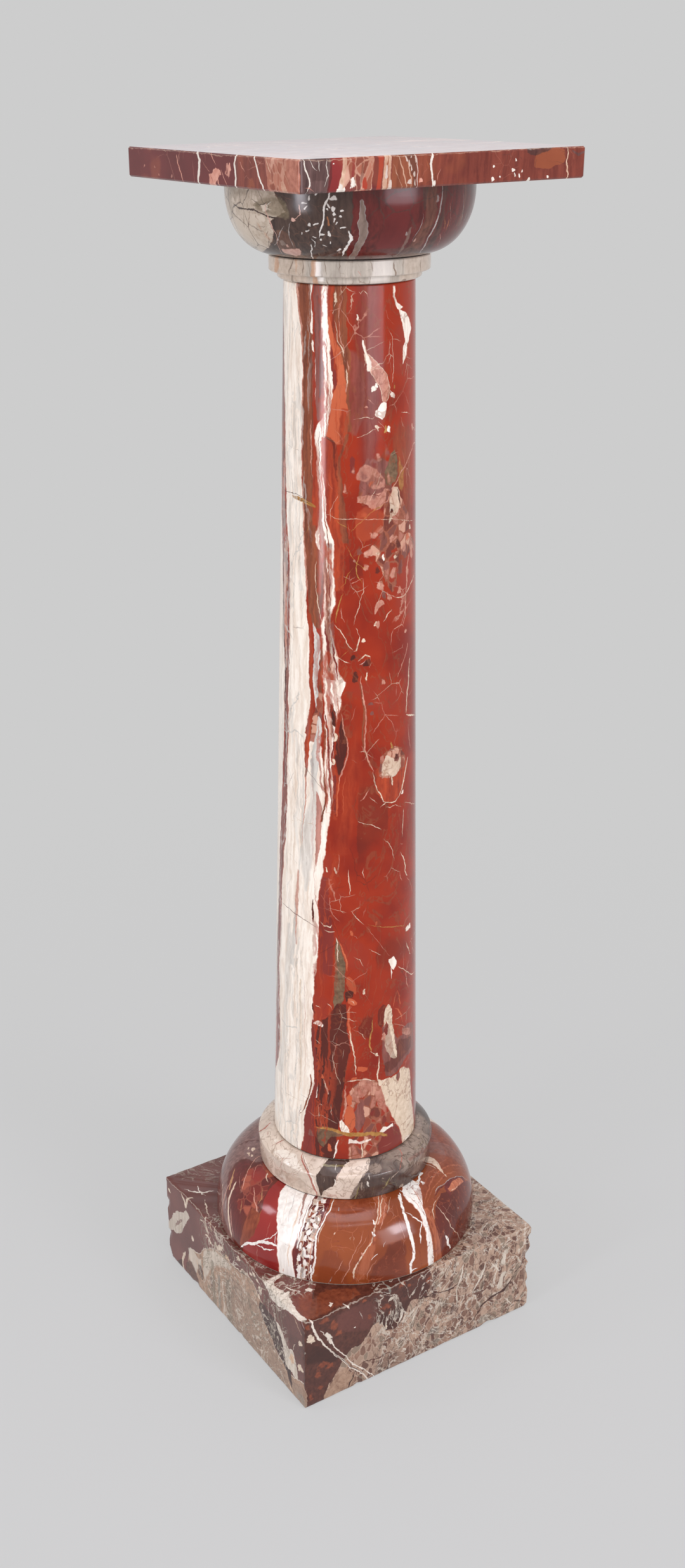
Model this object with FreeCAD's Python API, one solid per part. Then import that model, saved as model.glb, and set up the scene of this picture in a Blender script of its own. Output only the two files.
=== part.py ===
"""Marble pedestal column: a square top slab on a bowl capital, a collar and a tapered round
shaft, standing on a base ring, a torus and a square plinth.

The stones are bored through and drawn together by one steel tie rod.
Frame: millimetres, +Z up, origin on the floor at the centre of the plinth's underside.
"""
import FreeCAD, Part
import math
import os

# Plinth, the square block on the floor
plinth_width = 270.0
plinth_height = 102.0
plinth_arris = 1.5

# Torus, the large moulding on the plinth
torus_foot_radius = 130.5
torus_top_radius = 85.5
torus_foot_height = 8.0
torus_curve_height = 57.0

# Base ring under the shaft
ring_foot_radius = 85.5
ring_arris_radius = 86.5
ring_band_height = 25.0
ring_bevel_height = 9.0
ring_bevel_bulge_height = 1.0
ring_land_width = 1.5

# Shaft
shaft_foot_radius = 70.5
shaft_neck_radius = 52.5
shaft_length = 800.0

# Collar: a band over a smaller stepped member
collar_band_radius = 64.2
collar_band_height = 12.0
collar_step_radius = 57.6
collar_step_height = 6.0
collar_step_round = 2.5

# Bowl capital
bowl_seat_radius = 62.0
bowl_rim_radius = 97.7
bowl_lip_height = 7.0
bowl_curve_height = 46.0

# Top slab
slab_width = 254.0
slab_thickness = 22.0
slab_corner_radius = 2.5
slab_arris = 1.2

# Mortar beds between the stones
bed_thickness = 1.0
bed_setback = 0.6

# Worn arrises of the turned stones
turned_arris = 0.8

# Tie rod and its fixings, M12
rod_diameter = 12.0
rod_end_length = 3.0
bore_clearance = 2.0
nut_across_flats = 18.0
nut_height = 10.0
lock_washer_outer_diameter = 21.0
lock_washer_thickness = 2.5
lock_washer_slit = 1.5
plate_diameter = 50.0
plate_thickness = 5.0
gasket_thickness = 2.0
rod_hole_clearance = 0.5
recess_side_clearance = 3.0
recess_end_clearance = 1.5

# Dowels between the bowl and the slab
dowel_count = 3
dowel_diameter = 8.0
dowel_circle_radius = 72.0
dowel_depth_in_bowl = 14.0
dowel_depth_in_slab = 12.0
dowel_side_clearance = 0.4
dowel_end_clearance = 1.0

# Sizes that follow from the ones above
rod_radius = rod_diameter / 2
bore_radius = rod_radius + bore_clearance
rod_hole_radius = rod_radius + rod_hole_clearance
recess_radius = plate_diameter / 2 + recess_side_clearance
clamp_stack = gasket_thickness + plate_thickness + lock_washer_thickness + nut_height
recess_depth = clamp_stack + rod_end_length + recess_end_clearance
dowel_hole_radius = dowel_diameter / 2 + dowel_side_clearance

# Levels from the floor up
torus_foot_z = plinth_height + bed_thickness
torus_top_z = torus_foot_z + torus_foot_height + torus_curve_height
ring_foot_z = torus_top_z + bed_thickness
ring_arris_z = ring_foot_z + ring_band_height
ring_top_z = ring_arris_z + ring_bevel_height
shaft_foot_z = ring_top_z + bed_thickness
shaft_top_z = shaft_foot_z + shaft_length
collar_foot_z = shaft_top_z + bed_thickness
collar_step_z = collar_foot_z + collar_step_height
collar_top_z = collar_step_z + collar_band_height
bowl_foot_z = collar_top_z + bed_thickness
bowl_lip_z = bowl_foot_z + bowl_curve_height
bowl_top_z = bowl_lip_z + bowl_lip_height
slab_foot_z = bowl_top_z + bed_thickness
slab_top_z = slab_foot_z + slab_thickness

# The rod is clamped between the roof of the plinth's recess and the floor of the bowl's
foot_clamp_z = recess_depth
head_clamp_z = bowl_top_z - recess_depth

level_tolerance = 0.01
UP = FreeCAD.Vector(0, 0, 1)
ORIGIN = FreeCAD.Vector(0, 0, 0)


def at(radius, height):
    """A point of a turning profile, in the XZ plane."""
    return FreeCAD.Vector(radius, 0, height)


def line(start, end):
    return Part.LineSegment(start, end).toShape()


def arc(start, middle, end):
    return Part.Arc(start, middle, end).toShape()


def bulged(start, end, bulge):
    """A shallow arc from start to end that swells out by bulge at its middle."""
    chord = end - start
    outward = FreeCAD.Vector(chord.z, 0, -chord.x).normalize()
    middle = (start + end) * 0.5 + outward * bulge
    return arc(start, middle, end)


def rounded_corner(start, corner, end):
    """The quarter round that replaces a square corner, between its two ends."""
    centre = start + end - corner
    middle = centre + (corner - centre).normalize() * (start - centre).Length
    return arc(start, middle, end)


def quarter_ellipse(widest, narrowest):
    """Upright at its widest point and level at its narrowest, as a bowl or a torus swells."""
    centre = at(narrowest.x, widest.z)
    across = widest.x - narrowest.x
    along = abs(narrowest.z - widest.z)
    long_end = narrowest if along > across else widest
    short_end = widest if along > across else narrowest
    ellipse = Part.Ellipse(long_end, short_end, centre)
    parameters = sorted([ellipse.parameter(widest), ellipse.parameter(narrowest)])
    if parameters[1] - parameters[0] > math.pi:
        parameters = [parameters[1], parameters[0] + 2 * math.pi]
    return Part.ArcOfEllipse(ellipse, parameters[0], parameters[1]).toShape()


def turned(edges):
    """The solid that a closed profile makes when it turns about the column's axis."""
    outline = Part.Wire(Part.__sortEdges__(edges))
    return Part.Face(outline).revolve(ORIGIN, UP, 360)


def disc(radius, foot_z, height, hole_radius=0.0):
    solid = Part.makeCylinder(radius, height, at(0, foot_z))
    if hole_radius > 0:
        solid = solid.cut(Part.makeCylinder(hole_radius, height, at(0, foot_z)))
    return solid


def square_block(side, foot_z, height):
    corner = FreeCAD.Vector(-side / 2, -side / 2, foot_z)
    return Part.makeBox(side, side, height, corner)


def upright_edges(shape):
    full_height = shape.BoundBox.ZLength - level_tolerance
    return [edge for edge in shape.Edges if edge.BoundBox.ZLength > full_height]


def level_edges(shape):
    return [edge for edge in shape.Edges if edge.BoundBox.ZLength < level_tolerance]


def around(count, radius):
    """Points spaced evenly on a circle about the column's axis."""
    angles = [math.radians(90 + 360 * index / count) for index in range(count)]
    return [FreeCAD.Vector(radius * math.cos(angle), radius * math.sin(angle), 0) for angle in angles]


def dowel_holes(foot_z, height):
    spots = around(dowel_count, dowel_circle_radius)
    return [Part.makeCylinder(dowel_hole_radius, height, spot + at(0, foot_z)) for spot in spots]


def plinth_block():
    block = square_block(plinth_width, 0, plinth_height)
    block = block.makeChamfer(plinth_arris, block.Edges)
    bore = disc(bore_radius, 0, plinth_height)
    recess = disc(recess_radius, 0, foot_clamp_z)
    return block.cut(bore).cut(recess)


def base_torus():
    foot_inner = at(bore_radius, torus_foot_z)
    foot_outer = at(torus_foot_radius, torus_foot_z)
    widest = at(torus_foot_radius, torus_foot_z + torus_foot_height)
    top_outer = at(torus_top_radius, torus_top_z)
    top_inner = at(bore_radius, torus_top_z)
    return turned([
        line(foot_inner, foot_outer),
        line(foot_outer, widest),
        quarter_ellipse(widest, top_outer),
        line(top_outer, top_inner),
        line(top_inner, foot_inner),
    ])


def base_ring():
    foot_inner = at(bore_radius, ring_foot_z)
    foot_outer = at(ring_foot_radius, ring_foot_z)
    arris_below = at(ring_arris_radius, ring_arris_z - turned_arris)
    arris_above = at(ring_arris_radius - turned_arris, ring_arris_z + turned_arris / 2)
    top_outer = at(shaft_foot_radius + ring_land_width, ring_top_z)
    top_inner = at(bore_radius, ring_top_z)
    return turned([
        line(foot_inner, foot_outer),
        line(foot_outer, arris_below),
        bulged(arris_below, arris_above, turned_arris / 5),
        bulged(arris_above, top_outer, ring_bevel_bulge_height),
        line(top_outer, top_inner),
        line(top_inner, foot_inner),
    ])


def shaft():
    foot_inner = at(bore_radius, shaft_foot_z)
    foot_outer = at(shaft_foot_radius - turned_arris, shaft_foot_z)
    foot_above = at(shaft_foot_radius, shaft_foot_z + turned_arris)
    neck_below = at(shaft_neck_radius, shaft_top_z - turned_arris)
    neck_outer = at(shaft_neck_radius - turned_arris, shaft_top_z)
    neck_inner = at(bore_radius, shaft_top_z)
    return turned([
        line(foot_inner, foot_outer),
        line(foot_outer, foot_above),
        line(foot_above, neck_below),
        line(neck_below, neck_outer),
        line(neck_outer, neck_inner),
        line(neck_inner, foot_inner),
    ])


def collar():
    foot_inner = at(bore_radius, collar_foot_z)
    foot_outer = at(collar_step_radius - collar_step_round, collar_foot_z)
    foot_corner = at(collar_step_radius, collar_foot_z)
    foot_above = at(collar_step_radius, collar_foot_z + collar_step_round)
    step_inner = at(collar_step_radius, collar_step_z)
    step_outer = at(collar_band_radius - turned_arris, collar_step_z)
    band_foot = at(collar_band_radius, collar_step_z + turned_arris)
    band_top = at(collar_band_radius, collar_top_z - turned_arris)
    top_outer = at(collar_band_radius - turned_arris, collar_top_z)
    top_inner = at(bore_radius, collar_top_z)
    return turned([
        line(foot_inner, foot_outer),
        rounded_corner(foot_outer, foot_corner, foot_above),
        line(foot_above, step_inner),
        line(step_inner, step_outer),
        line(step_outer, band_foot),
        line(band_foot, band_top),
        line(band_top, top_outer),
        line(top_outer, top_inner),
        line(top_inner, foot_inner),
    ])


def capital_bowl():
    foot_inner = at(bore_radius, bowl_foot_z)
    foot_outer = at(bowl_seat_radius, bowl_foot_z)
    lip_below = at(bowl_rim_radius, bowl_lip_z)
    lip_above = at(bowl_rim_radius, bowl_top_z - turned_arris)
    rim = at(bowl_rim_radius - turned_arris, bowl_top_z)
    recess_top = at(recess_radius, bowl_top_z)
    recess_floor = at(recess_radius, head_clamp_z)
    bore_top = at(bore_radius, head_clamp_z)
    bowl = turned([
        line(foot_inner, foot_outer),
        quarter_ellipse(lip_below, foot_outer),
        line(lip_below, lip_above),
        line(lip_above, rim),
        line(rim, recess_top),
        line(recess_top, recess_floor),
        line(recess_floor, bore_top),
        line(bore_top, foot_inner),
    ])
    hole_depth = dowel_depth_in_bowl + dowel_end_clearance
    return bowl.cut(dowel_holes(bowl_top_z - hole_depth, hole_depth))


def top_slab():
    block = square_block(slab_width, slab_foot_z, slab_thickness)
    block = block.makeFillet(slab_corner_radius, upright_edges(block))
    block = block.makeChamfer(slab_arris, level_edges(block))
    hole_depth = dowel_depth_in_slab + dowel_end_clearance
    return block.cut(dowel_holes(slab_foot_z, hole_depth))


def bed(foot_z, outer_radius, inner_radius=bore_radius):
    """The thin layer of mortar that a stone lies on, raked back a little from its edge."""
    return disc(outer_radius - bed_setback, foot_z, bed_thickness, inner_radius)


def slab_bed():
    layer = bed(bowl_top_z, bowl_rim_radius - turned_arris, recess_radius)
    return layer.cut(dowel_holes(bowl_top_z, bed_thickness))


def tie_rod():
    foot_z = foot_clamp_z - clamp_stack - rod_end_length
    head_z = head_clamp_z + clamp_stack + rod_end_length
    rod = disc(rod_radius, foot_z, head_z - foot_z)
    return rod.makeChamfer(rod_radius / 8, level_edges(rod))


def lock_washer(foot_z):
    ring = disc(lock_washer_outer_diameter / 2, foot_z, lock_washer_thickness, rod_hole_radius)
    slit_corner = FreeCAD.Vector(0, -lock_washer_slit / 2, foot_z)
    slit = Part.makeBox(lock_washer_outer_diameter, lock_washer_slit, lock_washer_thickness, slit_corner)
    return ring.cut(slit)


def nut(foot_z):
    """A hexagon whose corners are turned down, with a hole that clears the rod's thread."""
    corner_radius = nut_across_flats / math.sqrt(3)
    corners = [spot + at(0, foot_z) for spot in around(6, corner_radius)]
    outline = Part.makePolygon(corners + corners[:1])
    prism = Part.Face(outline).extrude(UP * nut_height)
    turned_down = (corner_radius - nut_across_flats / 2) / 2
    barrel = disc(corner_radius, foot_z, nut_height)
    barrel = barrel.makeChamfer(turned_down, level_edges(barrel))
    return prism.common(barrel).cut(disc(rod_radius, foot_z, nut_height))


def foot_levels(start_z, direction, thicknesses):
    """The lower level of each layer of a stack, built up (1) or down (-1) from start_z."""
    levels = []
    level = start_z
    for thickness in thicknesses:
        levels.append(min(level, level + direction * thickness))
        level += direction * thickness
    return levels


def clamp_pieces(end, clamp_z, direction):
    """Gasket, plate, lock washer and nut, stacked away from the stone that they bear on."""
    thicknesses = (gasket_thickness, plate_thickness, lock_washer_thickness, nut_height)
    gasket_z, plate_z, washer_z, nut_z = foot_levels(clamp_z, direction, thicknesses)
    return {
        end + "_gasket": disc(plate_diameter / 2, gasket_z, gasket_thickness, rod_hole_radius),
        end + "_plate": disc(plate_diameter / 2, plate_z, plate_thickness, rod_hole_radius),
        end + "_lock_washer": lock_washer(washer_z),
        end + "_nut": nut(nut_z),
    }


def slab_dowels():
    foot_z = bowl_top_z - dowel_depth_in_bowl
    length = dowel_depth_in_bowl + bed_thickness + dowel_depth_in_slab
    spots = around(dowel_count, dowel_circle_radius)
    dowels = [Part.makeCylinder(dowel_diameter / 2, length, spot + at(0, foot_z)) for spot in spots]
    return Part.Compound(dowels)


pieces = {
    "plinth_block": plinth_block(),
    "plinth_bed": bed(plinth_height, torus_foot_radius),
    "base_torus": base_torus(),
    "torus_bed": bed(torus_top_z, torus_top_radius),
    "base_ring": base_ring(),
    "ring_bed": bed(ring_top_z, shaft_foot_radius - turned_arris),
    "shaft": shaft(),
    "shaft_bed": bed(shaft_top_z, shaft_neck_radius - turned_arris),
    "collar": collar(),
    "collar_bed": bed(collar_top_z, bowl_seat_radius),
    "capital_bowl": capital_bowl(),
    "slab_bed": slab_bed(),
    "top_slab": top_slab(),
    "tie_rod": tie_rod(),
    "slab_dowels": slab_dowels(),
}
pieces.update(clamp_pieces("foot", foot_clamp_z, -1))
pieces.update(clamp_pieces("head", head_clamp_z, 1))

os.makedirs("parts", exist_ok=True)
for node, piece in pieces.items():
    piece.exportStep("parts/" + node + ".step")
print("pieces", len(pieces), "height", slab_top_z)
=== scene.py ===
import math

import bmesh
import bpy
from mathutils import Matrix, Vector, noise


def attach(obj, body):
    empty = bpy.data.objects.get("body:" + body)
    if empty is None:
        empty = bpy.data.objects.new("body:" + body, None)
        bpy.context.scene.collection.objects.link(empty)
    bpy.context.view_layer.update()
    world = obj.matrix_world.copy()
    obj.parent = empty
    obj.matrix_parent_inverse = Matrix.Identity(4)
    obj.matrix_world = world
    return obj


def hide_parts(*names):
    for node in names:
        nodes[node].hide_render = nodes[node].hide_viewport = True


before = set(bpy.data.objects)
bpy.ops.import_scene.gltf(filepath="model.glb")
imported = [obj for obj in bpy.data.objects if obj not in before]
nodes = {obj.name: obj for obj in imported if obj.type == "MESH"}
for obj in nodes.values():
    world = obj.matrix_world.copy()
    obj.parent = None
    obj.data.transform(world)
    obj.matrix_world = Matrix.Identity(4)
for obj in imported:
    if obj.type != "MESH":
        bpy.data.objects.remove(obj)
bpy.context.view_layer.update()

# ---- the camera, as the photograph was taken: metres, degrees, mm of lens and shares of the frame ----
CAMERA_PLACE = (-0.77515, -1.15040, 1.16347)
CAMERA_YAW = 31.58
CAMERA_PITCH_DOWN = 25.46
CAMERA_ROLL = -0.73
CAMERA_LENS = 38.20
CAMERA_SENSOR = 36.0
CAMERA_SHIFT = (0.03754, 0.04066)

# ---- the stones, in mm, and the azimuth of the side that faces the camera ----
# The plain radii are middling ones that turn degrees into mm. Reach is measured from the others.
FRONT_AZIMUTH = -123.97
SHAFT_FOOT, SHAFT_TALL, SHAFT_RADIUS = 204.0, 800.0, 62.0
BOWL_FOOT, BOWL_SEAT_RADIUS, BOWL_RADIUS = 1024.0, 62.0, 90.0
TORUS_FOOT, TORUS_FOOT_RADIUS, TORUS_RADIUS = 103.0, 130.5, 115.0
RING_FOOT, RING_ARRIS_RADIUS = 169.0, 86.5
COLLAR_FOOT, COLLAR_INNER_RADIUS, COLLAR_RADIUS = 1005.0, 55.1, 64.2
SLAB_FOOT, SLAB_HALF = 1078.0, 127.0
PLINTH_HALF = 135.0

BACKGROUND = (205, 205, 205)

# ---- the grain of the stones: scales of noise, and metres that the grain moves an edge ----
BIG_BENDS, SMALL_BENDS = 28.0, 210.0
FIBRE_SCALE, FIBRE_SQUEEZE = 300.0, (1.0, 1.0, 0.09)
GRIT_SCALE, CLOUD_SCALE = 230.0, 16.0
WEAR_SCALE, SWELL_SCALE = 60.0, 45.0
WEAR_LOW, WEAR_HIGH = 0.35, 0.7  # the noise at which the polish is at its best and at its worst
GRIT_ACROSS, FIBRE_UP = 0.0006, 0.0004

# ---- the shapes of the features ----
END_SHARE, END_MM = 0.04, 1.5  # a band's end fades over this share of it, or this many mm if that is less
END_UPRIGHT = 0.0015  # the same limit for an upright band, in metres
RUN_ON = 12.0  # mm that a band goes on past an end of its stone
VEIN_TIP = 0.4  # the width of a vein's ends, as a share of the rest
CLAST_NARROWING, CLAST_ANGULAR, CLAST_ROUND, CLAST_RAGGED = 0.42, 0.7, 0.35, 1.5
PASTE_EDGE, PASTE_CORE = 0.09, 0.03  # how far the paste reaches from the edge of a broken piece
NET_CORE, NET_PATCHES, NET_FADE = 0.3, 0.55, 0.08
CURL_CORE = 0.25
HAIRLINE_FADE = 5.0
SHEET_HOLDS = 36  # features that go into one sheet


def linear(colour):
    """A colour written as 0 to 255 on a screen, as the shader wants it."""
    parts = []
    for value in colour:
        part = value / 255.0
        parts.append(part / 12.92 if part <= 0.04045 else ((part + 0.055) / 1.055) ** 2.4)
    return (*parts, 1.0)


# ---- shared masks ----
def new_group(name, inputs, outputs):
    """An empty node group with these sockets, and its two end nodes."""
    tree = bpy.data.node_groups.new(name, "ShaderNodeTree")
    for title, kind in inputs:
        tree.interface.new_socket(title, in_out="INPUT", socket_type=kind)
    for title, kind in outputs:
        tree.interface.new_socket(title, in_out="OUTPUT", socket_type=kind)
    return tree, tree.nodes.new("NodeGroupInput"), tree.nodes.new("NodeGroupOutput")


class Nodes:
    """Adds shader nodes to a tree, one for each call."""

    def __init__(self, tree):
        self.tree = tree

    def add(self, kind, inputs=None, **settings):
        node = self.tree.nodes.new(kind)
        for key, value in settings.items():
            setattr(node, key, value)
        for key, value in (inputs or {}).items():
            self.plug(value, node.inputs[key])
        return node

    def plug(self, value, socket):
        if isinstance(value, bpy.types.NodeSocket):
            self.tree.links.new(value, socket)
        else:
            socket.default_value = value

    def math(self, operation, *values, clamp=False):
        inputs = dict(enumerate(values))
        return self.add("ShaderNodeMath", inputs, operation=operation, use_clamp=clamp).outputs[0]

    def vector(self, operation, *values):
        return self.add("ShaderNodeVectorMath", dict(enumerate(values)), operation=operation).outputs[0]

    def dot(self, one, other):
        node = self.add("ShaderNodeVectorMath", {0: one, 1: other}, operation="DOT_PRODUCT")
        return node.outputs["Value"]

    def smooth(self, value, low, high):
        """0 below low, 1 above high, and smooth between them."""
        inputs = {"Value": value, "From Min": low, "From Max": high}
        node = self.add("ShaderNodeMapRange", inputs, interpolation_type="SMOOTHSTEP", clamp=False)
        return node.outputs[0]

    def span(self, value, low, high, new_low, new_high, held=True):
        """Turns low..high into new_low..new_high, and keeps to those ends where it is held."""
        inputs = {"Value": value, "From Min": low, "From Max": high}
        inputs |= {"To Min": new_low, "To Max": new_high}
        return self.add("ShaderNodeMapRange", inputs, clamp=held).outputs[0]

    def mix(self, factor, below, above):
        node = self.add("ShaderNodeMix", data_type="RGBA")
        self.plug(factor, node.inputs[0])
        self.plug(below, node.inputs[6])
        self.plug(above, node.inputs[7])
        return node.outputs[2]

    def noise(self, vector, scale, detail=3.0, rough=0.55, distort=0.0):
        inputs = {"Vector": vector, "Scale": scale, "Detail": detail}
        inputs |= {"Roughness": rough, "Distortion": distort}
        return self.add("ShaderNodeTexNoise", inputs)

    def stretch(self, vector, scale):
        return self.vector("MULTIPLY", vector, scale)


def make_band_mask():
    """1 between two edges, and a rim just outside them. Edges: low, high, and 0 past the band's ends."""
    inputs = [("Across", "NodeSocketFloat"), ("Edges", "NodeSocketColor"), ("Grain", "NodeSocketFloat")]
    inputs += [("Ragged", "NodeSocketFloat"), ("Soft", "NodeSocketFloat"), ("Rim", "NodeSocketFloat")]
    outputs = [("Mask", "NodeSocketFloat"), ("Rim", "NodeSocketFloat")]
    tree, start, end = new_group("band_mask", inputs, outputs)
    kit = Nodes(tree)
    edges = kit.add("ShaderNodeSeparateColor", {0: start.outputs["Edges"]}).outputs
    past_low = kit.math("SUBTRACT", start.outputs["Across"], edges[0])
    short_of_high = kit.math("SUBTRACT", edges[1], start.outputs["Across"])
    inside = kit.math("MINIMUM", past_low, short_of_high)
    inside = kit.math("MULTIPLY_ADD", start.outputs["Grain"], start.outputs["Ragged"], inside)
    mask = kit.math("MULTIPLY", kit.smooth(inside, 0.0, start.outputs["Soft"]), edges[2])
    wider = kit.math("ADD", inside, start.outputs["Rim"])
    rim = kit.math("MULTIPLY", kit.smooth(wider, 0.0, start.outputs["Soft"]), edges[2])
    tree.links.new(mask, end.inputs["Mask"])
    tree.links.new(rim, end.inputs["Rim"])
    return tree


def make_clast_mask():
    """1 inside a ragged lump that narrows upward.

    The rows turn the way from its middle into shares of its two radii.
    """
    inputs = [(name, "NodeSocketVector") for name in ("Place", "Middle", "Row A", "Row B")]
    inputs += [("Grain", "NodeSocketFloat"), ("Soft", "NodeSocketFloat")]
    tree, start, end = new_group("clast_mask", inputs, [("Mask", "NodeSocketFloat")])
    kit = Nodes(tree)
    away = kit.vector("SUBTRACT", start.outputs["Place"], start.outputs["Middle"])
    a = kit.dot(away, start.outputs["Row A"])
    b = kit.dot(away, start.outputs["Row B"])
    narrowing = kit.math("MULTIPLY_ADD", b, CLAST_NARROWING, kit.math("ABSOLUTE", a))
    angular = kit.math("MAXIMUM", narrowing, kit.math("ABSOLUTE", b))
    round_off = kit.math("SQRT", kit.math("MULTIPLY_ADD", a, a, kit.math("MULTIPLY", b, b)))
    angular = kit.math("MULTIPLY", angular, CLAST_ANGULAR)
    length = kit.math("MULTIPLY_ADD", round_off, CLAST_ROUND, angular)
    inside = kit.math("SUBTRACT", 1.0, length)
    inside = kit.math("MULTIPLY_ADD", start.outputs["Grain"], CLAST_RAGGED, inside)
    tree.links.new(kit.smooth(inside, 0.0, start.outputs["Soft"]), end.inputs["Mask"])
    return tree


BAND_MASK = make_band_mask()
CLAST_MASK = make_clast_mask()


class Stone(Nodes):
    """A marble that is painted feature by feature on an unrolled stone.

    Across is degrees from the front on a turned stone, or mm round the sides of a square one. Up is mm.
    Tones, broken stone, nets and curls are made first, then the base, then the features. A feature lies
    over those before it. They go into sheets, node groups of a few dozen, as one large tree is slow to
    build.
    """

    def __init__(self, name, radius=None, tall=None, coarse=0.004, fine=0.0012):
        self.material = bpy.data.materials.new(name)
        self.material.use_nodes = True
        super().__init__(self.material.node_tree)
        self.tree.nodes.clear()
        self.main = self.tree
        self.sheet_end = None
        self.features = 0
        self.radius = radius
        self.tall = tall
        self.colours = {}
        place = self.add("ShaderNodeTexCoord").outputs["Object"]
        big = self.vector("SUBTRACT", self.noise(place, BIG_BENDS, 3.0).outputs["Color"], (0.5,) * 3)
        small = self.vector("SUBTRACT", self.noise(place, SMALL_BENDS, 2.0).outputs["Color"], (0.5,) * 3)
        moved = self.vector("MULTIPLY_ADD", big, (coarse * 2,) * 3, place)
        moved = self.vector("MULTIPLY_ADD", small, (fine * 2,) * 3, moved)
        fibre = self.noise(self.stretch(moved, FIBRE_SQUEEZE), FIBRE_SCALE, 2.0).outputs["Fac"]
        grit = self.noise(moved, GRIT_SCALE, 3.0, 0.6).outputs["Fac"]
        cloud = self.noise(moved, CLOUD_SCALE, 3.0).outputs["Fac"]
        self.place = place
        self.moved = moved
        self.at = {
            "fibre": self.math("SUBTRACT", fibre, 0.5),
            "grit": self.math("SUBTRACT", grit, 0.5),
            "cloud": self.math("SUBTRACT", cloud, 0.5),
        }

    # -- where a feature is --
    def lay_out(self, across, up):
        """Keeps the two unrolled places, also as the vectors that the curves and ovals read."""
        self.at["across"] = across
        self.at["up"] = up
        for name, value in (("along_across", across), ("along_up", up)):
            self.at[name] = self.add("ShaderNodeCombineColor", dict.fromkeys(range(3), value)).outputs[0]
        self.at["flat"] = self.add("ShaderNodeCombineXYZ", {0: across, 1: up}).outputs[0]

    def unroll_turned(self, foot, outward=0.0, from_radius=0.0):
        """A turned stone: the angle, and the height above the foot.

        Where outward is given, it times the reach past a radius is added to the height.
        """
        inputs = {"Vector": self.moved, "Angle": -math.radians(FRONT_AZIMUTH)}
        facing = self.add("ShaderNodeVectorRotate", inputs, rotation_type="Z_AXIS")
        parts = self.add("ShaderNodeSeparateXYZ", {0: facing.outputs[0]}).outputs
        angle = self.math("ARCTAN2", parts[1], parts[0])
        across = self.math("MULTIPLY_ADD", angle, 1.0 / math.tau, 0.5)
        up = self.math("SUBTRACT", parts[2], foot / 1000.0)
        if outward:
            squares = self.math("MULTIPLY", parts[1], parts[1])
            squares = self.math("MULTIPLY_ADD", parts[0], parts[0], squares)
            reach = self.math("SUBTRACT", self.math("SQRT", squares), from_radius / 1000.0)
            up = self.math("MULTIPLY_ADD", reach, outward, up)
        self.lay_out(across, up)

    def unroll_square(self, half, foot):
        """A square stone: the way round its sides from the back left corner, and up a side and inward."""
        h = half / 1000.0
        parts = self.add("ShaderNodeSeparateXYZ", {0: self.moved}).outputs
        x, y, z = parts[0], parts[1], parts[2]
        side_x, side_y = self.math("SIGN", x), self.math("SIGN", y)
        far_x, far_y = self.math("ABSOLUTE", x), self.math("ABSOLUTE", y)
        along_y = self.math("MULTIPLY_ADD", y, side_x, self.math("MULTIPLY_ADD", side_x, 2 * h, 3 * h))
        back_x = self.math("MULTIPLY", x, side_y)
        along_x = self.math("SUBTRACT", self.math("MULTIPLY_ADD", side_y, 2 * h, 5 * h), back_x)
        on_x_side = self.math("GREATER_THAN", far_x, far_y)
        across = self.math("MULTIPLY_ADD", self.math("SUBTRACT", along_y, along_x), on_x_side, along_x)
        inward = self.math("SUBTRACT", h, self.math("MAXIMUM", far_x, far_y))
        up = self.math("ADD", self.math("SUBTRACT", z, foot / 1000.0), self.math("MAXIMUM", inward, 0.0))
        across = self.math("MULTIPLY_ADD", self.at["grit"], GRIT_ACROSS, across)
        up = self.math("MULTIPLY_ADD", self.at["fibre"], FIBRE_UP, up)
        self.lay_out(across, up)

    def across_of(self, value):
        return value / 360.0 + 0.5 if self.radius else value / 1000.0

    def per_mm_across(self):
        return 1.0 / (math.tau * self.radius) if self.radius else 0.001

    # -- sheets --
    def open_sheet(self):
        kinds = {"VALUE": "NodeSocketFloat", "VECTOR": "NodeSocketVector", "RGBA": "NodeSocketColor"}
        self.kept = {**self.at, **self.colours, "below": self.colour}
        sockets = [(name, kinds[socket.type]) for name, socket in self.kept.items()]
        outputs = [("Colour", "NodeSocketColor")]
        self.tree, start, self.sheet_end = new_group("marble_sheet", sockets, outputs)
        self.at = {name: start.outputs[name] for name in self.at}
        self.colours = {name: start.outputs[name] for name in self.colours}
        self.colour = start.outputs["below"]
        self.features = 0

    def close_sheet(self):
        self.tree.links.new(self.colour, self.sheet_end.inputs["Colour"])
        sheet, self.tree, self.sheet_end = self.tree, self.main, None
        self.colour = self.add("ShaderNodeGroup", self.kept, node_tree=sheet).outputs[0]
        self.at = {name: self.kept[name] for name in self.at}
        self.colours = {name: self.kept[name] for name in self.colours}

    # -- colours --
    def tone(self, name, dark, light, grain="cloud", low=-0.22, high=0.22):
        """A colour that drifts between two, as the grain says."""
        factor = self.span(self.at[grain], low, high, 0.0, 1.0, held=False)
        self.colours[name] = self.mix(factor, linear(dark), linear(light))

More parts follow.
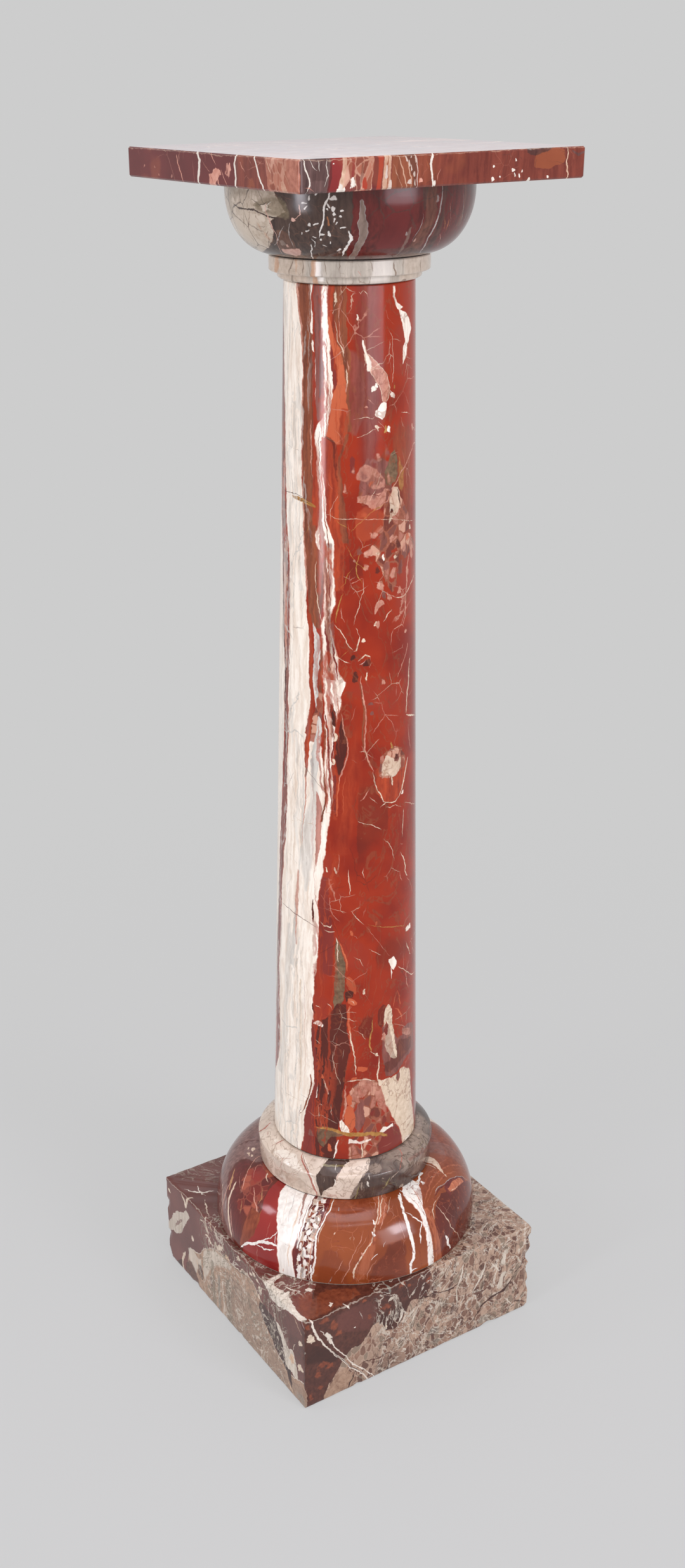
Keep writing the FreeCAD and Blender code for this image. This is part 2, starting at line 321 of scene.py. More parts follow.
    def breccia(self, name, tones, scale, stretch=(1.0, 1.0, 1.0), gap=None):
        """A colour made of broken pieces in several tones, with a paste of its own colour in the gaps."""
        where = {"Vector": self.stretch(self.moved, stretch), "Scale": scale}
        cells = self.add("ShaderNodeTexVoronoi", where).outputs["Color"]
        pick = self.add("ShaderNodeSeparateColor", {0: cells}).outputs[0]
        ramp = self.add("ShaderNodeValToRGB", {0: pick})
        ramp.color_ramp.interpolation = "CONSTANT"
        stops = ramp.color_ramp.elements
        while len(stops) < len(tones):
            stops.new(0.5)
        for index, tone in enumerate(tones):
            stops[index].position = index / len(tones)
            stops[index].color = linear(tone)
        colour = ramp.outputs[0]
        if gap:
            edge = self.add("ShaderNodeTexVoronoi", where, feature="DISTANCE_TO_EDGE").outputs["Distance"]
            colour = self.mix(self.smooth(edge, PASTE_EDGE, PASTE_CORE), colour, linear(gap))
        self.colours[name] = colour

    def base(self, name):
        self.colour = self.colours[name]

    # -- features --
    def lay_on(self, mask, colour, strength=1.0):
        if strength != 1.0:
            mask = self.math("MULTIPLY", mask, strength)
        self.colour = self.mix(mask, self.colour, self.colours[colour])
        self.features += 1

    def ready(self):
        """Turns to a fresh sheet when the one in hand is full."""
        if self.sheet_end and self.features > SHEET_HOLDS:
            self.close_sheet()
        if not self.sheet_end:
            self.open_sheet()

    def edges_of(self, rows, level):
        """A curve node that gives low and high edge, and 0 past the ends, from (along, low, high) rows."""
        rows = sorted(rows)
        first, last = rows[0][0], rows[-1][0]
        end = min((last - first) * END_SHARE, END_MM * self.per_mm_across() if level else END_UPRIGHT)
        lows = [(row[0], row[1]) for row in rows]
        highs = [(row[0], row[2]) for row in rows]
        shown = [(first, 0.0), (first + end, 1.0), (last - end, 1.0), (last, 0.0)]
        node = self.add("ShaderNodeRGBCurve", {"Color": self.at["along_across" if level else "along_up"]})
        node.mapping.use_clip = False
        node.mapping.clip_min_x = first
        node.mapping.clip_max_x = last
        node.mapping.extend = "HORIZONTAL"
        for curve, points in zip(node.mapping.curves, (lows, highs, shown, [(first, first), (last, last)])):
            curve.points[0].location = points[0]
            curve.points[1].location = points[-1]
            for along, value in points[1:-1]:
                curve.points.new(along, value)
            for point in curve.points:
                point.handle_type = "VECTOR"
        node.mapping.update()
        return node.outputs[0]

    def past_the_end(self, up):
        """Metres up. Bands that reach an end of the stone run on past it, so that they don't fade there."""
        if self.tall and up >= self.tall:
            up += RUN_ON
        return (up - RUN_ON if up == 0 else up) / 1000.0

    def strip(self, colour, rows, level, ragged, soft, rim, strength):
        self.ready()
        unit = 0.001 if level else self.per_mm_across()
        inputs = {
            "Across": self.at["up" if level else "across"],
            "Edges": self.edges_of(rows, level),
            "Grain": self.at["grit" if level else "fibre"],
            "Ragged": ragged * unit,
            "Soft": soft * unit,
            "Rim": rim[1] * unit if rim else 0.0,
        }
        outputs = self.add("ShaderNodeGroup", inputs, node_tree=BAND_MASK).outputs
        if rim:
            self.lay_on(outputs["Rim"], rim[0])
        self.lay_on(outputs["Mask"], colour, strength)

    def band(self, colour, *rows, ragged=2.4, soft=0.5, rim=None, strength=1.0):
        """An upright band: rows are (up, left, right). rim is (colour, width in mm)."""
        scaled = []
        for up, left, right in rows:
            scaled.append((self.past_the_end(up), self.across_of(left), self.across_of(right)))
        self.strip(colour, scaled, False, ragged, soft, rim, strength)

    def layer(self, colour, *rows, ragged=1.6, soft=0.5, rim=None, strength=1.0):
        """A level patch: rows are (across, lower, upper)."""
        scaled = [(self.across_of(across), low / 1000.0, high / 1000.0) for across, low, high in rows]
        self.strip(colour, scaled, True, ragged, soft, rim, strength)

    def vein(self, colour, width, *points, ragged=1.0, soft=0.35, strength=1.0):
        """A vein of that width in mm through (across, up) points, which runs mostly up or mostly across."""
        wide = abs(self.across_of(points[-1][0]) - self.across_of(points[0][0])) / self.per_mm_across()
        level = wide > abs(points[-1][1] - points[0][1])
        half = width / 2 * (0.001 if level else self.per_mm_across())
        rows = []
        for index, (across, up) in enumerate(points):
            thin = half * (VEIN_TIP if index in (0, len(points) - 1) else 1.0)
            along, middle = self.across_of(across), up / 1000.0
            if not level:
                along, middle = middle, along
            rows.append((along, middle - thin, middle + thin))
        self.strip(colour, rows, level, ragged, soft, None, strength)

    def clast(self, colour, across, up, wide, tall, turn=0.0, soft=0.25, strength=1.0):
        """A ragged angular lump, wide by tall mm."""
        self.ready()
        unit = self.per_mm_across()
        c, n = math.cos(math.radians(turn)), math.sin(math.radians(turn))
        inputs = {
            "Place": self.at["flat"],
            "Middle": (self.across_of(across), up / 1000.0, 0.0),
            "Row A": (c / unit * 2 / wide, n * 1000 * 2 / wide, 0.0),
            "Row B": (-n / unit * 2 / tall, c * 1000 * 2 / tall, 0.0),
            "Grain": self.at["grit"],
            "Soft": soft,
        }
        mask = self.add("ShaderNodeGroup", inputs, node_tree=CLAST_MASK).outputs[0]
        self.lay_on(mask, colour, strength)

    def clasts(self, *places, soft=0.25, strength=1.0):
        """Several clasts: each is (colour, across, up, wide, tall), and its turn if it has one."""
        for place in places:
            self.clast(*place, soft=soft, strength=strength)

    def between(self, left, right, soft=6.0):
        """1 between two places across, with soft sides. All are in degrees or mm, as the stone goes."""
        rise = self.smooth(self.at["across"], self.across_of(left - soft), self.across_of(left + soft))
        fall = self.smooth(self.at["across"], self.across_of(right + soft), self.across_of(right - soft))
        return self.math("MULTIPLY", rise, fall)

    def clouds(self, colour, low, high, strength=1.0):
        """Soft patches where the cloud noise is past low."""
        self.ready()
        self.lay_on(self.smooth(self.at["cloud"], low, high), colour, strength)

    def net(self, name, scale, width, keep, stretch=(1.0, 1.0, 1.0)):
        """A net of hairline veins, kept only where a cloud is above keep."""
        where = {"Vector": self.stretch(self.moved, stretch), "Scale": scale}
        edge = self.add("ShaderNodeTexVoronoi", where, feature="DISTANCE_TO_EDGE").outputs["Distance"]
        line = self.smooth(edge, width, width * NET_CORE)
        some = self.noise(self.place, scale * NET_PATCHES, 2.0).outputs["Fac"]
        self.at[name] = self.math("MULTIPLY", line, self.smooth(some, keep, keep + NET_FADE))

    def curls(self, name, scale, width, distort=2.2, stretch=(1.0, 1.0, 1.0)):
        """Thin curled streaks, along the middle level of a folded noise."""
        folded = self.noise(self.stretch(self.moved, stretch), scale, 3.0, 0.6, distort).outputs["Fac"]
        off = self.math("ABSOLUTE", self.math("SUBTRACT", folded, 0.5))
        self.at[name] = self.smooth(off, width, width * CURL_CORE)

    def hairlines(self, colour, net, strength=0.9, sides=None, above=None):
        """Lays a net of hairlines on, between two sides or above a level."""
        self.ready()
        line = self.at[net]
        if sides:
            line = self.math("MULTIPLY", line, self.between(*sides))
        if above:
            higher = self.smooth(self.at["up"], above / 1000.0, (above + HAIRLINE_FADE) / 1000.0)
            line = self.math("MULTIPLY", line, higher)
        self.lay_on(line, colour, strength)

    def arris(self, colour, low, high, side, width, strength):
        """Lines of a colour along the arrises of a square stone: the upright ones from low to high, and the
        upper ones.
        """
        for corner in range(5):
            ends = (corner * side, low), (corner * side, high)
            self.vein(colour, width * 2, *ends, ragged=1.6, strength=strength)
        rows = [(end, high - width, high + width) for end in (-5.0, side * 4 + 5.0)]
        self.layer(colour, *rows, ragged=1.8, strength=strength)

    # -- the surface --
    def finish(self, rough=0.14, rough_spread=0.08, bump=0.00003, level=0.5, metallic=0.0):
        """Polish: fine wear in the roughness, and a faint unevenness under the gloss."""
        if self.sheet_end:
            self.close_sheet()
        worn = self.noise(self.place, WEAR_SCALE, 4.0, 0.65).outputs["Fac"]
        roughness = self.span(worn, WEAR_LOW, WEAR_HIGH, rough, rough + rough_spread)
        height = self.noise(self.place, SWELL_SCALE, 2.0).outputs["Fac"]
        swell = {"Height": height, "Distance": bump, "Strength": 1.0}
        normal = self.add("ShaderNodeBump", swell).outputs[0]
        inputs = {"Base Color": self.colour, "Roughness": roughness, "Normal": normal}
        shader = self.add("ShaderNodeBsdfPrincipled", inputs)
        shader.inputs["Specular IOR Level"].default_value = level
        shader.inputs["Metallic"].default_value = metallic
        out = self.add("ShaderNodeOutputMaterial")
        self.tree.links.new(shader.outputs[0], out.inputs["Surface"])
        return self.material


# ---- the shaft: degrees from the front, and mm above its foot ----
def paint_shaft():
    s = Stone("shaft_marble", SHAFT_RADIUS, SHAFT_TALL)
    s.unroll_turned(SHAFT_FOOT)
    s.tone("red", (130, 26, 3), (170, 49, 8), low=-0.14, high=0.16)
    s.tone("brick", (134, 38, 16), (182, 70, 34), "fibre")
    s.tone("rust", (104, 50, 32), (152, 82, 52), "fibre")
    s.tone("maroon", (60, 18, 11), (98, 34, 21))
    s.tone("mauve", (108, 58, 50), (148, 88, 78), "fibre")
    s.tone("wine", (104, 30, 24), (136, 48, 38))
    s.tone("white", (218, 197, 176), (252, 242, 228), "fibre", -0.3, 0.12)
    s.tone("cream", (206, 180, 152), (236, 216, 192), "grit")
    s.tone("pink", (172, 106, 88), (212, 156, 134), "grit")
    s.tone("salmon", (178, 72, 38), (204, 106, 68))
    s.tone("olive", (88, 66, 46), (132, 104, 78), "grit")
    s.tone("ochre", (150, 98, 32), (188, 140, 78), "grit")
    s.tone("gray", (176, 170, 162), (222, 216, 206), "fibre")
    broken = ((176, 112, 94), (142, 66, 46), (204, 152, 128), (112, 50, 38), (184, 128, 106),
        (124, 70, 60), (152, 48, 26))
    s.breccia("rubble", broken, 130.0, (1, 1, 0.7), gap=(150, 84, 62))
    s.net("cracks", 36.0, 0.012, 0.46, (1, 1, 0.35))
    s.net("wide_net", 30.0, 0.010, 0.55, (1, 1, 0.8))
    s.net("fine_net", 52.0, 0.012, 0.60)
    s.net("dark_net", 24.0, 0.008, 0.56, (1, 1, 0.6))
    s.curls("curls", 22.0, 0.022, 2.4, (1, 1, 0.5))
    s.curls("fibres", 60.0, 0.045, 1.0, (1, 1, 0.12))
    s.base("red")

    # broad shades of the body, and a painted lilac sheen right of the front
    s.clouds("wine", 0.03, 0.12, 0.45)
    s.layer("maroon", (8, 300, 400), (22, 318, 405), (36, 330, 400), soft=24, ragged=12, strength=0.45)
    s.band("wine", (800, 0, 30), (740, 1, 34), (700, 3, 30), (640, 8, 26), (610, 12, 20), soft=8,
        strength=0.7)
    # the mauve band from 6 to 26 degrees over the top is a painted lilac sheen, the right lamp's reflection
    s.band("mauve", (800, 6, 26), (740, 6, 26), (690, 8, 26), (660, 12, 22), soft=7, strength=0.45)
    s.layer("mauve", (0, 690, 755), (6, 685, 752), (13, 700, 745), soft=4, strength=0.55)
    s.layer("rust", (40, 600, 690), (50, 560, 700), (66, 590, 690), soft=12, ragged=8, strength=0.5)
    s.layer("maroon", (24, 200, 232), (38, 196, 240), (52, 200, 235), (64, 200, 225), soft=14, ragged=8,
        strength=0.4)

    # the far side: paler and browner beds
    s.band("mauve", (800, 96, 128), (600, 92, 132), (380, 100, 126), (200, 94, 138), (0, 100, 142),
        ragged=6, rim=("cream", 0.8))
    s.band("rust", (800, 132, 158), (520, 140, 164), (260, 134, 150), (0, 146, 166), ragged=6)
    s.band("cream", (800, 128, 133), (560, 132, 141), (300, 127, 133), (0, 142, 147), ragged=4)
    s.band("rubble", (800, -178, -158), (640, -176, -150), (420, -178, -162), (180, -174, -148),
        (0, -178, -156), ragged=6)
    s.band("wine", (800, -150, -134), (400, -158, -138), (0, -150, -136), ragged=5)
    s.band("white", (800, -134, -116), (600, -140, -112), (300, -134, -118), (0, -136, -110), ragged=4)
    s.band("gray", (800, -116, -84), (700, -112, -82), (400, -114, -70), (200, -114, -76),
        (0, -112, -84), ragged=5)
    s.band("white", (690, -80, -79), (600, -92, -76), (470, -104, -64), (400, -102, -65),
        (300, -98, -72), (200, -94, -80), (96, -88, -87), ragged=4)

    for across, up in (
        (98, 705), (146, 560), (-164, 640), (118, 330), (168, 210), (-148, 250), (-122, 440),
        (164, 400), (-96, 140),
    ):
        s.vein("cream", 1.1, (across - 16, up + 34), (across - 3, up + 8), (across + 6, up - 16),
            (across + 20, up - 52), ragged=1.4)
        s.vein("ochre", 0.8, (across + 18, up + 22), (across + 4, up + 6), (across - 12, up - 30))
        s.clast("pink", across + 5, up - 84, 8, 18, 12)
        s.clast("maroon", across - 12, up + 60, 9, 22, -10, strength=0.7)

    # left edge: the pink strip with its dark sides
    s.band("mauve", (800, -88, -82), (740, -86, -75), (700, -85, -71), (660, -81, -68),
        (600, -74, -61.5), (560, -73, -58), (520, -69, -58), (480, -64, -58), (400, -64, -57.5),
        (360, -66, -57.5), (340, -68, -59), (300, -72, -63), (260, -76, -66.5), (200, -78, -69),
        (120, -77, -68), (80, -76, -71), (70, -82, -73))
    s.band("rubble", (690, -84, -71), (650, -79, -67), (620, -74, -63), (596, -72, -60),
        (575, -69, -62), (545, -66, -61), (500, -64, -61))
    s.band("pink", (575, -71, -66), (540, -69, -62), (500, -65, -61), (470, -63.5, -61.5),
        (440, -62.5, -61), ragged=3)
    s.vein("maroon", 3.0, (-72, 578), (-70.5, 540), (-68, 516), (-65.5, 500), (-63.5, 484),
        (-62.7, 450), (-61.5, 405), ragged=1.6)
    s.vein("wine", 2.6, (-64, 400), (-63.5, 380), (-66, 355), (-68, 338), ragged=1.6)

    # the great white band, with its grey and tan seams
    s.band("white", (800, -82, -53), (790, -81, -50.5), (780, -80, -49), (770, -79, -46),
        (760, -77.5, -44), (740, -75, -43), (700, -71, -42), (680, -69, -43.5), (660, -68, -43),
        (640, -66, -43), (620, -63.5, -41), (600, -61.5, -40.5), (580, -58.5, -38.5), (560, -57.5, -36),
        (540, -57, -35.5), (520, -57, -33.5), (500, -57.5, -32.5), (470, -58, -31.5), (450, -57, -33),
        (440, -57, -34.5), (430, -57, -36), (424, -57, -22), (400, -57.5, -18), (390, -57.5, -13),
        (360, -58, -14), (340, -59, -16), (320, -60.5, -17), (300, -63, -20), (280, -65, -22),
        (260, -66.5, -23), (240, -67.5, -22.5), (200, -69, -24), (190, -69, -26), (160, -68.5, -27),
        (110, -68, -24.5), (100, -68.5, -23), (90, -69.5, -23), (80, -72, -22.5), (72, -75, -18.5),
        (68, -79, -19), (66, -80, -25), (60, -82, -28.5), (40, -84, -31), (20, -84, -34), (8, -84, -36),
        (0, -84, -40), ragged=1.6, rim=("pink", 0.5))
    s.band("gray", (420, -30, -24), (400, -31, -23), (370, -33, -22), (350, -38, -24), (320, -42, -26),
        (300, -40, -30), (280, -36, -31), ragged=6, soft=3, strength=0.7)
    s.band("gray", (400, -39.5, -37.5), (370, -39, -36.5), (340, -39, -37), (300, -43, -41),
        (260, -47, -44), (200, -52, -46), ragged=2, soft=1, strength=0.8)
    s.band("gray", (240, -58, -50), (200, -60, -48), (140, -62, -54), (100, -66, -56), (70, -74, -60),
        ragged=6, soft=4, strength=0.6)
    s.band("pink", (396, -36.5, -34), (370, -36.5, -35), (340, -38, -37), (326, -38.5, -37.5), ragged=1)
    s.band("rust", (402, -37, -33.5), (392, -36, -34), (390, -35.6, -34.6), ragged=1)
    s.band("pink", (300, -44, -42.5), (284, -45, -41), (268, -46, -42), (256, -45.5, -43),
        (240, -46, -44), (222, -45, -43), ragged=3.5, strength=0.8)
    s.band("cream", (190, -40, -38), (120, -39.5, -37), (60, -41, -40), (20, -43, -42), ragged=1.6,
        strength=0.8)
    s.vein("pink", 0.8, (-35, 190), (-34, 150), (-34, 112), (-36, 60), strength=0.8)
    s.vein("rust", 2.0, (-29.5, 92), (-28.5, 80), (-29.5, 70), (-31, 62), (-33.5, 48), (-38, 40),
        ragged=2.5)
    s.vein("wine", 1.5, (-37.5, 52), (-38.5, 38), ragged=1.2)
    s.vein("wine", 1.4, (-41.5, 12), (-41.5, 0), ragged=1.2)
    s.vein("gray", 0.9, (-57, 772), (-54, 762), (-50, 745), (-48, 728), (-45, 705), (-43.5, 690),
        strength=0.9)
    s.vein("olive", 0.45, (-72, 676), (-60, 674), (-50, 672), (-44, 671), strength=0.7)
    s.vein("ochre", 0.5, (-57, 358), (-48, 350), (-40, 347), (-28, 347), (-20, 350), strength=0.8)
    s.vein("ochre", 0.5, (-57, 343), (-48, 344), (-40, 349), strength=0.7)
    s.vein("olive", 0.5, (-58, 313), (-50, 310), (-45, 305), (-40, 301), strength=0.8)
    s.vein("olive", 0.6, (-70, 57), (-58, 56), (-44, 56.5), (-30, 57), strength=0.6)
    s.hairlines("gray", "cracks", 0.8, (-66, -34))

    # between the white bands
    s.band("rust", (800, -50, -34), (780, -48, -33), (760, -43.5, -33), (700, -42, -31),
        (640, -42, -30), (600, -40, -27), (590, -39.5, -20), (560, -35, -19), (545, -34, -20),
        (534, -32, -22), (527, -29, -23), ragged=2)
    s.band("pink", (800, -53, -51), (792, -51.5, -48.5), (782, -49.5, -47.5), (772, -48, -45),
        (762, -45.5, -43.5), (740, -43.5, -42.3), (650, -43.2, -42), (630, -42.5, -40),
        (600, -41, -39.5), (572, -37.5, -36), (562, -37, -34.5), (550, -36, -35), ragged=4)
    # the mauve strip from -32 to -24 degrees at the top is a painted lilac highlight, the left lamp's
    # reflection
    s.band("mauve", (800, -32, -24), (780, -31, -24.5), (760, -31, -23), (740, -30, -21),
        (720, -29, -21), (705, -28, -22), (696, -27, -25))
    s.band("brick", (688, -31.5, -28), (660, -31, -26.5), (630, -32, -25), (612, -31, -25.5),
        ragged=1.5, soft=1)
    s.band("white", (800, -35, -33), (784, -34, -32.7), (772, -34, -32), (768, -34.5, -31),
        (764, -34.5, -31.5), (762, -33, -32.5), ragged=3.5)
    s.band("white", (758, -33, -32.5), (755, -34, -30.5), (751, -33, -30.5), (748, -30, -29.5),
        (736, -30, -29.3), (712, -29.5, -28.8), ragged=3.5)
    s.band("pink", (697, -34, -33), (690, -34.5, -32.6), (684, -33, -31.3), (676, -32.7, -31.5),
        (664, -33, -31.5), (650, -31, -30), ragged=3)
    s.band("olive", (750, -32.5, -31.5), (720, -32, -31), (694, -31, -30), ragged=1.2, strength=0.6)
    s.vein("cream", 1.2, (-27.5, 584), (-28, 570), (-25, 552), (-22.5, 540), (-21, 533), ragged=2)
    s.band("brick", (540, -34.5, -31), (520, -34, -31), (500, -32.5, -29), (480, -32, -29),
        (460, -31.5, -29), (450, -33, -29), (430, -35, -30), (410, -37, -32), (398, -37, -34),
        ragged=1.6)
    s.band("gray", (532, -30.5, -29.5), (520, -29, -24), (500, -28.5, -23), (480, -28.5, -23.5),
        (460, -27.5, -24), (450, -26, -24.5))
    s.band("rust", (512, -23.5, -21), (500, -23, -20.5), (480, -24, -21), (462, -25, -20),
        (450, -29, -21), (440, -31, -23), (425, -31, -27), ragged=4)
    s.band("rubble", (470, -25, -19), (455, -27, -20), (445, -30, -22), (425, -31, -24), ragged=4)
    s.band("gray", (450, -24.5, -23.5), (440, -26, -21.5), (424, -28, -22), (408, -31, -22),
        (396, -31, -24), (380, -28, -27), ragged=4)
    s.band("rust", (445, -20, -18.5), (425, -20, -17), (400, -19, -16), (380, -18.5, -16),
        (366, -20.5, -18), (350, -22.5, -20), ragged=1.6)

    # the second white band
    s.band("white", (800, -24, -19), (780, -24, -19), (770, -24, -18), (760, -23, -16),
        (750, -22, -15.5), (735, -20.5, -12.5), (725, -20.5, -13.5), (718, -21, -14), (700, -21, -16),
        (697, -23, -16), (693, -28, -17), (686, -29.5, -17.5), (682, -28, -23), (660, -26, -21),
        (640, -25, -19.5), (620, -24, -18), (610, -27, -15), (604, -29, -12), (600, -29, -11),
        (594, -27, -12), (588, -20, -11.5), (560, -19, -10.5), (550, -19, -10.5), (545, -19, -12.5),
        (540, -18.5, -14), (532, -22, -14.5), (520, -22.5, -12.5), (510, -22, -10.5), (500, -20.5, -8),
        (490, -20.5, -6.5), (484, -20, -3.5), (480, -18, -1.5), (470, -19, -5), (462, -18, -5.5),
        (450, -19, -9), (430, -18, -11), (400, -18, -11), (380, -16, -11), (360, -17, -14), ragged=1.5,
        rim=("pink", 0.7))
    s.vein("pink", 1.4, (-22, 686), (-22, 670), (-21.5, 655), (-21, 630), (-18, 606), ragged=1.2)
    s.vein("wine", 1.0, (-24.5, 690), (-24.5, 672), (-24, 648), (-23, 624), (-22, 600), ragged=1.4)
    s.vein("rust", 1.2, (-20, 640), (-19.5, 622), (-17, 600), (-16, 575), (-15.5, 552), ragged=1.6)
    s.vein("pink", 1.3, (-19.5, 762), (-18, 745), (-18, 722), (-18.5, 704))
    s.band("pink", (680, -28, -25), (650, -26, -23), (610, -26, -21), (590, -24, -18),
        (560, -18.5, -14), (500, -20, -14), (460, -17, -12), (400, -17, -13), ragged=7, soft=1.5,
        strength=0.75)
    s.band("rust", (640, -25, -24), (600, -25, -20), (560, -17, -15), (520, -19, -14), (470, -14, -10),
        (430, -14, -12), ragged=8, soft=0.8, strength=0.8)
    s.band("rubble", (600, -22, -14), (580, -17, -12), (540, -17, -13), (500, -15, -9), (470, -14, -8),
        ragged=8, soft=1, strength=0.7)
    s.vein("wine", 0.8, (-17.5, 588), (-17.5, 572), (-16.5, 556), (-17.5, 542), ragged=1.4)
    s.vein("wine", 1.2, (-14.5, 575), (-15, 558), (-13.5, 545), ragged=1.2)
    s.vein("wine", 2.6, (-18.5, 532), (-17.5, 515), (-16, 503), (-13, 490), ragged=1.6)
    s.vein("wine", 2.2, (-13.5, 516), (-11, 503), (-8.5, 494), (-7.5, 482), ragged=1.2)
    s.vein("rust", 1.8, (-21.5, 512), (-21.8, 502), (-20.5, 494), (-20, 486), ragged=3)
    s.layer("white", (-20, 474, 486), (-17, 472, 484), (-12, 463, 483), (-8, 461, 482), (-5, 468, 481),
        (-1, 479, 482), ragged=2)
    s.band("maroon", (463, -14, -13), (455, -14.5, -9.5), (443, -13, -9), (440, -10, -9.5), ragged=1.2)
    s.band("wine", (452, -18.5, -17), (430, -17.5, -15.5), (410, -15.5, -13.5), (396, -14.5, -12.5),
        (370, -14, -12.5), ragged=1.4)
    s.band("wine", (440, -13, -11.5), (428, -11.5, -10), (416, -12.5, -10.8), (404, -12.5, -10),
        (390, -11, -9), (360, -13, -10))
    s.clasts(("cream", -9.5, 431, 3.5, 9), ("cream", -10.5, 409, 3, 6))
    s.vein("pink", 1.6, (-7.5, 470), (-8, 455), (-9.5, 445))

    # right of it: salmon patch, red-orange run and the braided brown strip
    s.band("rust", (800, -18, -3), (780, -17, -2), (760, -13, -1), (750, -7, 1), (740, -4, 1.5),
        (720, -3, 1.5), (690, -2, 3), ragged=3)
    s.band("brick", (800, -18.5, -13), (780, -18, -14), (766, -17, -13), (757, -15, -9), (750, -12, -8),
        ragged=2)
    s.band("salmon", (778, -18.5, -17), (762, -17, -12), (755, -15, -8), (748, -12, -5.5),
        (740, -10, -3.5), (730, -9.5, -2.5), (722, -12, -2), (715, -15, -1), (705, -15.5, 0.5),
        (698, -16, -1), (690, -17, -1), (686, -18, -2), (683, -14, -3), (679, -9, -3), ragged=1.6)
    s.band("brick", (708, -6, 1), (700, -8, 1), (686, -9, -1), (679, -8, -2), ragged=3, soft=2)
    s.band("wine", (757, -15.5, -15), (748, -15, -12.5), (738, -14, -10.5), (726, -13.5, -10),
        (722, -13, -12.5), ragged=1.2)
    s.band("brick", (686, -22, -14), (670, -21.5, -11), (650, -19, -9.5), (640, -18, -8),
        (620, -17, -7), (600, -12, -3), (580, -10.5, -1), (560, -10.5, -4), ragged=2)
    s.band("maroon", (686, -21, -17), (680, -14, -9), (665, -12, -8), (650, -10, -7), (640, -9, -7),
        ragged=3, soft=1.5, strength=0.7)
    s.band("rust", (690, -2, 2), (670, -9, -5), (640, -9, -4), (620, -7, 1), (600, -5, 2), ragged=3,
        soft=1.5, strength=0.9)
    s.vein("cream", 0.9, (-13, 800), (-12, 788), (-14, 780), (-11, 770), (-9, 760), (-5, 752),
        (-3, 745), (-1, 735), (-1.5, 722), ragged=2.4)
    s.vein("pink", 0.9, (-8, 800), (-7, 790), (-9, 782), (-8, 768), (-5, 756), (-1, 744), (0, 738),
        ragged=2.4)
    s.clasts(("cream", -12.2, 792, 2.6, 9, 8), ("pink", -1.5, 724, 1.6, 9), ("wine", 3.5, 664, 5, 18),
        ("pink", -3.5, 645, 3, 9))
    s.vein("pink", 0.6, (-19, 660), (-16, 648), (-10, 642), ragged=0.6)
    s.vein("cream", 0.7, (-9, 640), (-14, 628), (-15, 618), ragged=0.6)
    s.vein("olive", 0.8, (-22, 687), (-16, 684), (-10, 680), ragged=0.6)
    s.vein("pink", 0.6, (-5, 690), (-5, 680), (-1, 678), ragged=0.5)

    # squiggles and clasts of the upper right
    s.vein("cream", 0.7, (7, 796), (9, 794), (12, 797), (15.5, 794), (16.2, 790), ragged=0.5)
    s.clast("white", 7.8, 775, 1.8, 6, 12)
    s.vein("pink", 0.8, (27, 789), (30, 784), ragged=0.6)
    s.vein("pink", 0.6, (33, 782), (36, 775), (43, 770), ragged=0.6)
    s.vein("cream", 0.7, (37, 767), (40, 760), (40, 745), (39, 725))
    s.vein("pink", 0.5, (35.5, 748), (36.5, 738), (38, 722), ragged=0.8)
    s.band("pink", (750, 13, 17), (745, 14, 21), (740, 16, 26), (735, 18, 31), (730, 22, 33),
        (722, 27, 37), (714, 29, 36), (711, 31, 34), ragged=1.6, rim=("cream", 0.5))
    s.band("white", (759, 12, 13), (756, 12, 14.5), (750, 13.5, 16.5), (744, 14.5, 19), (740, 15, 19.5),
        (736, 15, 17), ragged=1.2)
    s.clasts(("white", 20.5, 722, 5, 5, 20), ("white", 23, 725, 3, 4), ("white", 40.5, 716, 8, 5, -35))
    s.vein("white", 1.2, (37, 720), (39, 718), (42, 714))
    s.clast("ochre", 42, 722, 2, 4)
    s.layer("white", (22, 703, 706), (25, 700, 708), (28, 698, 711), (31, 700, 712), (34, 707, 711),
        ragged=1.2)
    s.clasts(("white", 36, 690, 5, 6, -20), ("ochre", 32.5, 690, 3, 6), ("cream", 24, 692, 5, 3, -50),
        ("pink", 15, 709, 3, 2))
    s.vein("cream", 0.7, (4, 700), (12, 701), (20, 700), (24, 703), ragged=0.6)
    s.vein("cream", 0.7, (6, 685), (14, 687), (20, 690), (28, 692), ragged=0.6)
    s.vein("cream", 0.6, (23, 698), (30, 692), (34, 686), ragged=0.6)
    s.vein("pink", 0.6, (14, 716), (19, 713), (24, 709), ragged=0.6)
    s.vein("wine", 1.2, (12, 724), (16, 712), (18, 700), (22, 688), (23, 670), ragged=1.4)
    s.vein("pink", 0.8, (24, 663), (26, 668), ragged=0.5)
    s.band("white", (798, 40, 42), (794, 39.5, 42.5), (790, 40, 42), (786, 42.5, 46), (782, 45, 53),
        (780, 48, 50), (776, 50, 59), (772, 51, 62), (768, 52, 65), (764, 53, 67), (760, 54, 64),
        (756, 57, 62), (752, 54, 60), (748, 53, 59), (744, 52.5, 58), (740, 51.5, 54), (738, 51, 52.5),
        ragged=2, rim=("pink", 0.5))
    s.vein("cream", 0.6, (52, 743), (60, 742), (70, 740), ragged=0.6)
    s.vein("cream", 0.8, (50, 701), (56, 700), (66, 698))
    s.clast("pink", 70, 686, 3, 8)

